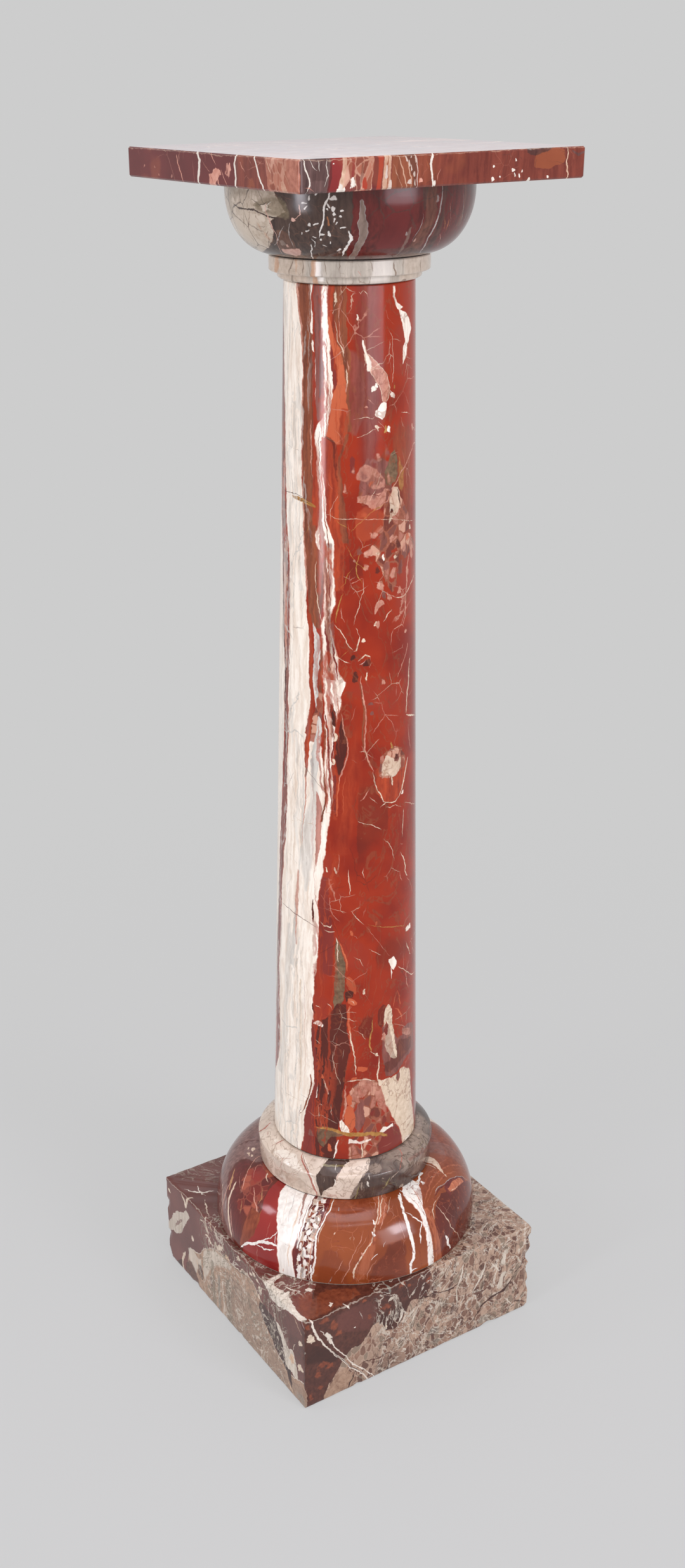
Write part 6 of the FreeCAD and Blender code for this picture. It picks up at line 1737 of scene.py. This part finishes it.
    s.vein("brown", 1.2, (138, 82.4), (150, 82.6), (158, 85.4), (166, 86), ragged=1.2)
    s.clasts(("cream", 149, 96, 9, 6, 20), ("cream", 172, 92, 7, 3.6, 20), ("cream", 178, 97, 6, 6),
        ("cream", 185, 95, 5, 5), ("cream", 190, 87, 8, 7, -20))
    s.vein("cream", 1.6, (185, 90), (194, 91), (202, 95), ragged=1.4, strength=0.8)
    s.clast("cream", 188, 77, 5, 6)
    s.vein("cream", 1.6, (183, 84), (184, 78), (183, 74), ragged=1.2)
    s.vein("cream", 1.0, (218, 79), (217, 74), (216, 71), ragged=0.8)
    s.layer("brown", (196, 72, 93), (210, 70, 92), (225, 72, 94), (240, 62, 97), (256, 56, 99),
        (276, 52, 103), soft=4, ragged=3, strength=0.55)
    s.layer("brown", (240, 50, 72), (250, 54, 78), (262, 50, 80), (276, 44, 74), soft=3, ragged=3,
        strength=0.6)
    s.layer("white", (195, 101.4, 140), (202, 97, 108), (208, 94, 107), (213, 91, 107), (222, 91, 112),
        (230, 93.6, 112), (240, 96.4, 108), (250, 98.4, 107), (262, 99, 106), (270, 101, 104))
    s.vein("peach", 1.2, (250, 99), (256, 94), (262, 88), (270, 84))
    s.layer("dark", (188, 64, 72), (194, 56, 73), (200, 50, 74), (204, 47, 72), (210, 43, 71),
        (216, 38, 70), (222, 34, 69), (228, 31, 64), (233, 26, 56), (238, 22, 46), (241, 15, 38),
        (245, 8, 24), (247, 3, 8), ragged=1.8)
    s.layer("pale", (219, 67, 69), (224, 60, 69), (228, 55, 66), (232, 44, 61), (236, 32, 56),
        (240, 28, 53), (246, 28, 58), (250, 26, 54), (254, 25.6, 44), (258, 25, 29), ragged=2.4,
        rim=("white", 0.8))
    s.clasts(("peach", 246.4, 46, 10, 15, -10), ("cream", 262, 44, 10, 10, 30),
        ("cream", 262, 74, 9, 6, 30))
    s.vein("cream", 1.4, (248, 60), (249.6, 64), (252, 67))
    s.vein("cream", 1.0, (182, 11), (190, 13), (198, 16.4), (206, 21), ragged=0.7)
    s.vein("dark", 1.1, (172, 17), (182, 16.4), (192, 18.4), ragged=1.4, strength=0.8)
    s.vein("dark", 1.6, (200, 38), (206, 34), (212, 31), ragged=2, strength=0.7)
    s.vein("dark", 1.4, (158, 19), (161, 14), (163, 18), ragged=1.4, strength=0.6)
    s.clast("slate", 262, 8, 18, 14, soft=0.8, strength=0.6)
    s.vein("peach", 3.0, (240, 10), (248, 4), (254, -3), ragged=2, strength=0.8)

    # near corner and right side: dark brown over beige breccia
    s.layer("brown", (264, 96, 145), (268, 40, 145), (271, -10, 145), (280, -10, 145), (440, -10, 145),
        ragged=1.4)
    s.layer("mauve", (306, 76, 98), (322, 68, 100), (342, 62, 98), (352, 70, 90), soft=5, ragged=4,
        strength=0.55)
    s.layer("dark", (268, 54, 80), (278, 48, 78), (290, 44, 68), (300, 40, 60), (308, 42, 54), soft=4,
        ragged=3, strength=0.85)
    s.layer("dark", (352, 50, 78), (372, 48, 76), (392, 74, 84), (412, 74, 98), soft=6, ragged=4,
        strength=0.6)
    for across, up, wide, tall, turn in (
        (291, 43, 15, 9, 20), (298, 39, 9, 9, 0), (286, 34, 8, 8, 0), (303, 88, 10, 13, 0),
        (308, 76, 8, 8, 0), (293, 97, 12, 8, 0), (276, 14, 5, 10, 0), (288, 18, 6, 8, 20),
        (361, 82, 13, 7, 0), (366.5, 74, 3, 12, 0), (380, 99, 12, 8, 0), (388, 94, 5, 5, 0),
        (412, 90, 8, 10, 20), (343, 79, 6, 7, 0), (402, 98, 6, 6, 0), (274, 96, 5, 6, 0),
        (338, 98, 6, 4, 20),
    ):
        s.clast("rust", across, up, wide, tall, turn, soft=0.5, strength=0.8)
    s.layer("rubble", (289, -10, 0), (294, -10, 10), (298, -10, 18), (303, -10, 22), (310, -10, 34),
        (316, -10, 44), (322, -10, 50), (332, -10, 50), (340, -10, 57), (347, -10, 66), (354, -10, 68),
        (360, -10, 61), (364, -10, 53), (374, -10, 49), (382, -10, 59), (388, -10, 71), (392, -10, 76),
        (400, -10, 74), (410, -10, 70), (413.5, -10, 76), (414.6, -10, 110), (422, -10, 145),
        (600, -10, 145), ragged=2, rim=("dark", 0.6))
    s.layer("tan", (290, -10, 6), (298, -10, 14), (306, -10, 26), (318, -10, 30), (326, -10, 12),
        soft=2, ragged=2, strength=0.8)
    s.layer("brown", (350, -6, 18), (364, -8, 25), (380, -6, 24), (400, -4, 20), (412, 0, 10), soft=8,
        ragged=6, strength=0.4)
    s.clast("slate", 422, 23, 26, 13, soft=0.8, strength=0.7)
    s.clast("slate", 424, 9, 24, 9, soft=0.8, strength=0.5)
    s.clast("slate", 484, 9.6, 24, 12, soft=0.5, strength=0.7)
    s.clast("olive", 434, 52, 16, 12, -30, soft=0.6, strength=0.5)
    s.clast("pale", 446, 36, 16, 24, soft=0.9, strength=0.35)
    s.hairlines("brown", "chips", 0.5, (316, 1070))
    s.layer("rubble", (598, -10, 145), (630, -10, 145), (660, -10, 92), (700, -10, 64), (730, -10, 30),
        (756, -10, 4), ragged=3, rim=("dark", 0.6))
    s.layer("brown", (730, -10, 20), (770, -10, 62), (800, -10, 90), (830, -10, 145), (900, -10, 145),
        (930, -10, 70), (960, -10, 26), (980, -10, 2), soft=3, ragged=4, strength=0.8)
    s.layer("tan", (850, -10, 10), (880, -10, 46), (920, -10, 66), (960, -10, 58), (1000, -10, 70),
        (1030, -10, 40), (1050, -10, 8), ragged=3, rim=("pale", 1.0))
    s.layer("pale", (868, 18, 20), (890, 8, 30), (920, 14, 48), (950, 10, 38), (985, 20, 42),
        (1016, 34, 36), soft=3, ragged=5, strength=0.7)
    s.vein("white", 2.4, (688, 110), (712, 86), (730, 60), (756, 34), (790, 12), (812, -4), ragged=1.4)
    s.vein("white", 1.4, (724, 82), (748, 62), (776, 46), (806, 40))
    for across, up in (
        (676, 70), (772, 84), (816, 30), (842, 88), (876, 76), (944, 84), (1012, 80), (1042, 60),
    ):
        s.clast("cream", across, up, 9, 6, 24)
        s.clast("dark", across + 12, up - 16, 7, 10, -16, strength=0.7)
    s.hairlines("pale", "curls", 0.8, (352, 690))
    s.hairlines("dark", "dark_curls", 0.65, (350, 690))
    s.hairlines("pale", "curls", 0.3, (690, 1070))
    s.hairlines("olive", "dark_curls", 0.4, (690, 1070))
    s.hairlines("pale", "curls", 0.7, (84, 236))
    s.hairlines("olive", "dark_curls", 0.75, (70, 236))
    s.hairlines("brown", "fine_net", 0.35, (120, 1070))
    s.hairlines("brown", "chips", 0.35, (120, 262))
    s.vein("white", 2.6, (276, 107), (280, 95), (286, 80), (294, 66), (302, 54), (311, 42), (320, 30),
        (328, 20), (338, 9), (346, -4))
    s.vein("white", 1.7, (288, 88), (295, 78), (301, 67), (308, 54), (316, 42), (324, 31), (331, 22),
        (339, 14), (346, 6), (352, -4), ragged=0.9)
    s.vein("dark", 1.2, (298, 60), (308, 46), (318, 33), (328, 21), (336, 12), ragged=0.7)
    s.clasts(("white", 297, 77, 5, 13, 24), ("white", 300, 69, 4, 8, 20), ("cream", 277, 84, 9, 9),
        ("cream", 280, 79, 6, 5))
    s.vein("white", 2.0, (317, 106), (319, 101), (320, 97), ragged=1.2)
    s.vein("white", 1.0, (332, 89), (334, 84), (335.4, 80), ragged=0.9)
    s.vein("slate", 3.2, (365.4, 108), (366, 102), (367, 95), ragged=1.4)
    s.clasts(("pale", 367, 88, 5, 5), ("white", 327, 74, 2.4, 1.8, -30), ("cream", 363.6, 58, 3, 4))
    s.vein("cream", 1.4, (372, 62), (376, 58), (377.6, 52), ragged=1.2)
    s.vein("dark", 1.7, (318.6, -3), (321, 8), (325, 16), (328, 20), ragged=0.9)
    s.vein("brown", 1.5, (330, 23), (340, 25), (350, 22.6), (362, 23), (371, 22), ragged=1.4)
    s.vein("dark", 0.9, (331, 17), (337, 11), (345, 1), ragged=0.9)
    s.vein("olive", 3.0, (328, 14), (334, 8), (340, 2), ragged=1.6, strength=0.7)
    s.vein("dark", 1.6, (364, 21), (366, 12), (366, -3), ragged=1.4, strength=0.8)
    s.vein("dark", 1.6, (401, 73), (410, 71), (420, 71.6), (428, 68.6), (436, 65.6), (444, 66),
        (450, 70), (455, 78), ragged=1.2)
    s.vein("pale", 2.4, (454, 90), (453, 80), (450, 70), (447.4, 60), (448.4, 50), (449, 43),
        ragged=1.2)
    s.vein("pale", 2.6, (484, 83), (480.6, 72), (476, 60), (470, 51), ragged=1.1)
    s.vein("pale", 3.2, (491, 78), (496, 69), (500, 61), ragged=1.6)
    s.clasts(("pale", 506, 76, 6, 20), ("pale", 504, 50, 8, 20, -20))
    s.vein("pale", 2.8, (521, 76), (524, 66), (530, 55), ragged=1.4)
    s.vein("pale", 2.0, (507.6, 29), (513, 21), (519, 12), ragged=1.2)
    s.vein("dark", 3.0, (469, 13), (474, 20), (481, 29), (489, 34.6), (500, 35.6), (510, 38), (516, 43),
        (521, 48), ragged=1.3)
    s.vein("dark", 2.2, (519, 51), (527, 55), (533, 62), (541, 68), ragged=1.2)
    s.vein("dark", 2.2, (516, 12), (524, 14), (532, 10), (540, 4), ragged=1.6, strength=0.8)
    s.vein("brown", 2.2, (474, 46), (481, 47), (488, 49), ragged=1.4)
    s.vein("dark", 1.0, (444, 16), (455, 15), (467, 17), ragged=0.8, strength=0.8)
    s.vein("pale", 2.2, (382, 67), (379.6, 61), (377, 55), ragged=1.2)
    s.vein("pale", 1.8, (391, 67), (391.6, 60), (391, 53))
    s.vein("pale", 2.4, (402, 65), (397, 54), (392, 45), ragged=1.2)
    s.vein("pale", 1.8, (381, 46), (385, 41), (386, 37))
    s.vein("pale", 1.4, (469, 49), (469.6, 44), (468.6, 38), ragged=0.8)
    s.vein("pale", 1.6, (455, 76), (460, 68), (464, 58), ragged=1.2, strength=0.7)

    # on the top
    s.vein("white", 2.4, (28, 108), (37, 114), (46, 124), (50, 132), ragged=2)
    s.vein("white", 2.0, (30, 124), (38, 120), (52, 121), ragged=2)
    s.vein("cream", 1.8, (56, 116), (68, 113), (84, 108), ragged=1.6)
    s.vein("white", 2.2, (214, 114), (222, 120), (230, 126), ragged=2)
    s.clasts(("white", 232, 134, 8, 6, 30), ("white", 224, 112, 5, 9, 10))
    s.layer("rust", (270, 103, 120), (290, 104, 128), (314, 104, 134), (340, 106, 122), soft=4,
        ragged=5, strength=0.6)
    s.layer("rust", (234, 118, 138), (250, 106, 130), (268, 104, 130), soft=4, ragged=5, strength=0.5)
    s.clasts(("white", 306, 112, 6, 4, 20), ("white", 284, 124, 4, 7, 20))
    s.arris("pale", 0.0, 102.0, PLINTH_HALF * 2, 0.9, 0.45)
    return s.finish(0.10, 0.14, bump=0.00006)


# ---- beds, fixings and rubber ----
def paint_mortar(name, dark, light):
    s = Stone(name)
    s.tone("paste", dark, light, "grit")
    s.base("paste")
    return s.finish(0.6, 0.2, bump=0.0003, level=0.3)


def paint_steel():
    """Zinc-plated steel: a bluish spangle with dull rubbed patches."""
    s = Stone("zinc_steel")
    spangle = ((176, 180, 184), (158, 163, 168), (190, 193, 196), (146, 150, 156))
    s.breccia("zinc", spangle, 420.0)
    s.tone("dull", (132, 132, 130), (160, 160, 158), "grit")
    s.base("zinc")
    s.clouds("dull", 0.0, 0.14, 0.8)
    return s.finish(0.3, 0.2, bump=0.00004, metallic=1.0)


def paint_rubber():
    s = Stone("gasket_rubber")
    s.tone("rubber", (26, 26, 28), (44, 43, 44), "grit")
    s.tone("dust", (70, 66, 62), (92, 88, 82), "grit")
    s.base("rubber")
    s.clouds("dust", 0.02, 0.16, 0.4)
    return s.finish(0.65, 0.2, bump=0.0002, level=0.3)


# ---- the plinth's worn block ----
ARRIS = 1.5
ARRIS_ROUND = ARRIS * 0.29  # how far the middle of a rounded arris lies in from each face
PLINTH_TALL = 102.0
RECESS_RADIUS, RECESS_DEEP, BORE_RADIUS = 28.0, 24.0, 8.0
FINE_STEP, FINE_REACH, COARSE_STEP = 1.5, 15.0, 5.0
WEAR_REACH, WEAR_EVEN, WEAR_ROUGH = 4.0, 0.1, 0.35  # mm from an arris, and mm of wear
LUMPS, SMALL_LUMPS, SMALL_SHARE = 0.09, 0.31, 0.6  # the roughness: bumps per mm, and the small ones' share
SCOOP_JAGGED = 0.45  # the share of a scoop's radius that the roughness moves
INNER_RINGS = (8.0, 4.0)  # mm in from the sides, on the underside and on the top
SHARP_FROM = 35.0  # degrees between faces from which an edge is sharp
# corners knocked off: sign of x and y, 1 for the top, and how far the break runs along x, y and z
BROKEN_CORNERS = (
    (-1, -1, 1, 7.0, 8.0, 7.0),
    (-1, 1, 0, 8.0, 7.0, 12.0),
    (1, -1, 0, 5.0, 6.0, 4.0),
    (1, 1, 1, 5.0, 6.0, 4.0),
    (1, -1, 1, 3.0, 4.0, 3.0),
)
# scoops out of the arrises: mm round the block, mm up, radius, depth
SCOOPS = (
    (540, 64, 10, 3.2), (540, 48, 8, 2.6), (540, 86, 6, 1.8), (540, 30, 6, 1.6), (0, 70, 7, 1.6),
    (0, 30, 6, 1.6), (270, 60, 4, 0.5), (270, 18, 5, 0.7), (430, 102, 5, 0.5), (470, 102, 6, 0.7),
    (505, 102, 6, 0.8), (60, 0, 7, 1.2), (150, 0, 5, 0.8), (330, 0, 5, 0.8), (490, 0, 7, 1.2),
    (700, 102, 7, 1.2), (930, 102, 7, 1.0), (810, 50, 8, 1.6),
)


def spaced(length):
    """Places along an edge: close together near its ends, wider apart between."""
    near = [FINE_STEP * step for step in range(1, int(FINE_REACH / FINE_STEP) + 1)]
    count = round((length - 2 * FINE_REACH) / COARSE_STEP)
    middle = [FINE_REACH + (length - 2 * FINE_REACH) * step / count for step in range(1, count)]
    return [0.0] + near + middle + [length - place for place in reversed(near)]


def block_outline(half):
    """(x, y, mm round the block) from the back left corner on, as the marble is unrolled."""
    side = half * 2
    outline = []
    for turn in range(4):
        for place in spaced(side):
            sides = (-half, half - place), (place - half, -half), (half, place - half), (half - place, half)
            outline.append((*sides[turn], turn * side + place))
    return outline


def worn_place(x, y, z, along, half, tall):
    """Where wear, scoops and broken corners leave a point of the block's skin."""
    side = half * 2
    to_corner = min(along % side, side - along % side)
    to_edge = min(z, tall - z)
    place = Vector((x, y, z))
    rough = noise.noise(place * LUMPS) + SMALL_SHARE * noise.noise(place * SMALL_LUMPS)
    near = max(0.0, 1.0 - min(to_corner, to_edge) / WEAR_REACH)
    depth = max(0.0, WEAR_EVEN + WEAR_ROUGH * rough) * near
    for where, up, radius, deep in SCOOPS:
        away = abs(along - where)
        away = math.hypot(min(away, side * 4 - away), z - up)
        jagged = radius * (1.0 + SCOOP_JAGGED * rough)
        depth += deep * max(0.0, 1.0 - (away / jagged) ** 2)
    inward = Vector((0.0, 0.0, 0.0))
    if abs(x) > half - WEAR_REACH:
        inward.x = -math.copysign(1.0, x)
    if abs(y) > half - WEAR_REACH:
        inward.y = -math.copysign(1.0, y)
    if to_edge < WEAR_REACH:
        inward.z = 1.0 if z < tall / 2 else -1.0
    place += inward * depth
    for sign_x, sign_y, top, run_x, run_y, run_z in BROKEN_CORNERS:
        in_x = half - place.x * sign_x
        in_y = half - place.y * sign_y
        in_z = tall - place.z if top else place.z
        short = 1.0 - in_x / run_x - in_y / run_y - in_z / run_z
        if short > 0.0:
            slope = Vector((1 / run_x, 1 / run_y, 1 / run_z))
            push = slope * (short / slope.length_squared)
            place += Vector((-sign_x * push.x, -sign_y * push.y, -push.z if top else push.z))
    return place


def make_plinth():
    """The worn block with its recess below and its bore, as one closed skin of rings."""
    half, tall = PLINTH_HALF, PLINTH_TALL
    outline = block_outline(half)
    # each is a radius or mm in from the sides, mm up, and whether it is round. They go from the mouth of
    # the recess out over the underside, up the sides, in over the top, down the bore and out to the recess
    rings = [(RECESS_RADIUS, 0.0, True)]
    rings += [(inset, 0.0, False) for inset in (*INNER_RINGS, ARRIS)]
    rings += [(ARRIS_ROUND, ARRIS_ROUND, False)]
    rings += [(0.0, max(ARRIS, height), False) for height in spaced(tall)[1:] if height < tall - ARRIS]
    rings += [(0.0, tall - ARRIS, False), (ARRIS_ROUND, tall - ARRIS_ROUND, False)]
    rings += [(inset, tall, False) for inset in (ARRIS, *reversed(INNER_RINGS))]
    rings += [(BORE_RADIUS, tall, True), (BORE_RADIUS, RECESS_DEEP, True)]
    rings += [(RECESS_RADIUS, RECESS_DEEP, True)]
    shape = bmesh.new()
    loops = []
    for size, z, is_round in rings:
        loop = []
        for x, y, along in outline:
            if is_round:
                reach = size / math.hypot(x, y)
                place = Vector((x * reach, y * reach, z))
            else:
                shrink = (half - size) / half
                place = worn_place(x * shrink, y * shrink, z, along, half, tall)
            loop.append(shape.verts.new(place / 1000.0))
        loops.append(loop)
    count = len(outline)
    for index, loop in enumerate(loops):
        above = loops[(index + 1) % len(loops)]
        for step in range(count):
            after = (step + 1) % count
            shape.faces.new((loop[step], loop[after], above[after], above[step]))
    bmesh.ops.recalc_face_normals(shape, faces=shape.faces)
    mesh = bpy.data.meshes.new("worn_plinth")
    shape.to_mesh(mesh)
    shape.free()
    mesh.shade_smooth()
    mesh.set_sharp_from_angle(angle=math.radians(SHARP_FROM))
    mesh.materials.append(paint_plinth())
    plinth = put_in_scene("worn_plinth", mesh)
    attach(plinth, "root")
    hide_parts("plinth_block")


# ---- the room ----
ROOM_LIGHT = 0.97  # the strength at which the backdrop lights the stone; it is seen at 1
LAMP_TINT = (0.95, 0.92, 1.0)
# name, degrees round from the camera's side, m away, m up, m wide, m tall, watts, and the height aimed at
SOFTBOXES = (
    ("left_softbox", -44.0, 2.2, 1.1, 0.35, 1.8, 18.0, 1.0),
    ("left_high_softbox", -80.0, 2.0, 1.5, 0.4, 0.5, 5.0, 0.2),
    ("right_softbox", 50.0, 2.2, 1.45, 0.6, 0.8, 16.0, 1.2),
    ("right_skirt", 46.0, 2.3, 1.2, 1.2, 1.3, 13.0, 1.1),
    ("top_softbox", 10.0, 0.5, 3.0, 1.5, 1.5, 17.0, 0.0),
    ("ceiling_strip", 14.0, 1.3, 2.1, 1.4, 0.05, 1.6, 0.1),
    ("back_softbox", 180.0, 2.4, 1.55, 3.6, 0.7, 3.2, 1.0),
)
FLOOR_RADIUS, FLOOR_DROP, FLOOR_SIDES = 8.0, 0.0005, 96
FLOOR_TINTS = (204, 204, 204), (206, 206, 206)
MOTTLE_SCALE = 6.0
FADE_FROM, FADE_TO, FADE_LEAST = 0.2, 1.4, 0.72  # m from the middle, and the backdrop's share at the stone


def put_in_scene(name, data):
    """A new object of that data."""
    thing = bpy.data.objects.new(name, data)
    bpy.context.scene.collection.objects.link(thing)
    return thing


def make_camera():
    data = bpy.data.cameras.new("camera")
    data.lens = CAMERA_LENS
    data.sensor_width = CAMERA_SENSOR
    data.shift_x, data.shift_y = CAMERA_SHIFT
    yaw = math.radians(CAMERA_YAW)
    pitch = math.radians(CAMERA_PITCH_DOWN)
    roll = math.radians(CAMERA_ROLL)
    ahead = Vector((math.sin(yaw) * math.cos(pitch), math.cos(yaw) * math.cos(pitch), -math.sin(pitch)))
    right = Vector((math.cos(yaw), -math.sin(yaw), 0.0))
    up = right.cross(ahead)
    rolled_right = right * math.cos(roll) + up * math.sin(roll)
    rolled_up = up * math.cos(roll) - right * math.sin(roll)
    turn = Matrix((rolled_right, rolled_up, -ahead)).transposed().to_4x4()
    camera = put_in_scene("camera", data)
    camera.matrix_world = Matrix.Translation(CAMERA_PLACE) @ turn
    bpy.context.scene.camera = camera


def make_softbox(name, turn_from_view, distance, height, wide, tall, power, aim):
    """A lamp that stands round the stone from the camera's side and is turned towards its axis."""
    azimuth = math.radians(FRONT_AZIMUTH + turn_from_view)
    place = Vector((distance * math.cos(azimuth), distance * math.sin(azimuth), height))
    data = bpy.data.lights.new(name, "AREA")
    data.shape = "RECTANGLE"
    data.size = wide
    data.size_y = tall
    data.energy = power
    data.color = LAMP_TINT
    lamp = put_in_scene(name, data)
    lamp.location = place
    lamp.rotation_euler = (Vector((0, 0, aim)) - place).to_track_quat("-Z", "Y").to_euler()


def seen_directly(kit):
    """1 for what the camera sees, also in gloss or through glass, and 0 for the light on the stone."""
    path = kit.add("ShaderNodeLightPath").outputs
    seen = kit.math("MAXIMUM", path["Is Camera Ray"], path["Is Glossy Ray"])
    return kit.math("MAXIMUM", seen, path["Is Transmission Ray"])


def make_world():
    world = bpy.data.worlds.new("room")
    bpy.context.scene.world = world
    world.use_nodes = True
    world.node_tree.nodes.clear()
    kit = Nodes(world.node_tree)
    strength = kit.span(seen_directly(kit), 0.0, 1.0, ROOM_LIGHT, 1.0)
    light = kit.add("ShaderNodeBackground", {"Color": linear(BACKGROUND), "Strength": strength})
    out = kit.add("ShaderNodeOutputWorld")
    kit.tree.links.new(light.outputs[0], out.inputs["Surface"])


def make_floor():
    """A pale disc that keeps the object's soft shadow and fades into the backdrop."""
    mesh = bpy.data.meshes.new("floor")
    shape = bmesh.new()
    bmesh.ops.create_circle(shape, cap_ends=True, segments=FLOOR_SIDES, radius=FLOOR_RADIUS)
    shape.to_mesh(mesh)
    shape.free()
    floor = put_in_scene("floor", mesh)
    floor.location.z = -FLOOR_DROP
    material = bpy.data.materials.new("floor_paint")
    material.use_nodes = True
    material.node_tree.nodes.clear()
    kit = Nodes(material.node_tree)
    place = kit.add("ShaderNodeTexCoord").outputs["Object"]
    far = kit.add("ShaderNodeVectorMath", {0: place}, operation="LENGTH").outputs["Value"]
    mottle = kit.noise(place, MOTTLE_SCALE, 2.0).outputs["Fac"]
    tint = kit.mix(mottle, *map(linear, FLOOR_TINTS))
    matt = kit.add("ShaderNodeBsdfDiffuse", {"Color": tint}).outputs[0]
    glow = kit.add("ShaderNodeEmission", {"Color": linear(BACKGROUND)}).outputs[0]
    fade = kit.span(kit.smooth(far, FADE_FROM, FADE_TO), 0.0, 1.0, FADE_LEAST, 1.0)
    share = kit.math("MULTIPLY", seen_directly(kit), fade)
    shader = kit.add("ShaderNodeMixShader", {0: share, 1: matt, 2: glow}).outputs[0]
    out = kit.add("ShaderNodeOutputMaterial")
    kit.tree.links.new(shader, out.inputs["Surface"])
    mesh.materials.append(material)


# ---- everything in its place ----
def dress(material, *names):
    """Puts a material on solids that are shown as the CAD has them."""
    for name in names:
        for slot in nodes[name].material_slots:
            slot.material = material


make_camera()
make_world()
make_floor()
for softbox in SOFTBOXES:
    make_softbox(*softbox)
bpy.context.scene.view_settings.view_transform = "Standard"

dress(paint_shaft(), "shaft")
dress(paint_bowl(), "capital_bowl")
dress(paint_slab(), "top_slab")
dress(paint_collar(), "collar")
dress(paint_ring(), "base_ring")
dress(paint_torus(), "base_torus")
make_plinth()
pale_mortar = paint_mortar("pale_mortar", (150, 140, 128), (188, 178, 164))
dress(pale_mortar, "plinth_bed", "slab_bed")
dark_mortar = paint_mortar("dark_mortar", (50, 44, 40), (84, 76, 70))
dress(dark_mortar, "torus_bed", "ring_bed", "shaft_bed", "collar_bed")
fixings = [end + name for end in ("foot_", "head_") for name in ("plate", "lock_washer", "nut")]
dress(paint_steel(), "tie_rod", "slab_dowels", *fixings)
dress(paint_rubber(), "foot_gasket", "head_gasket")
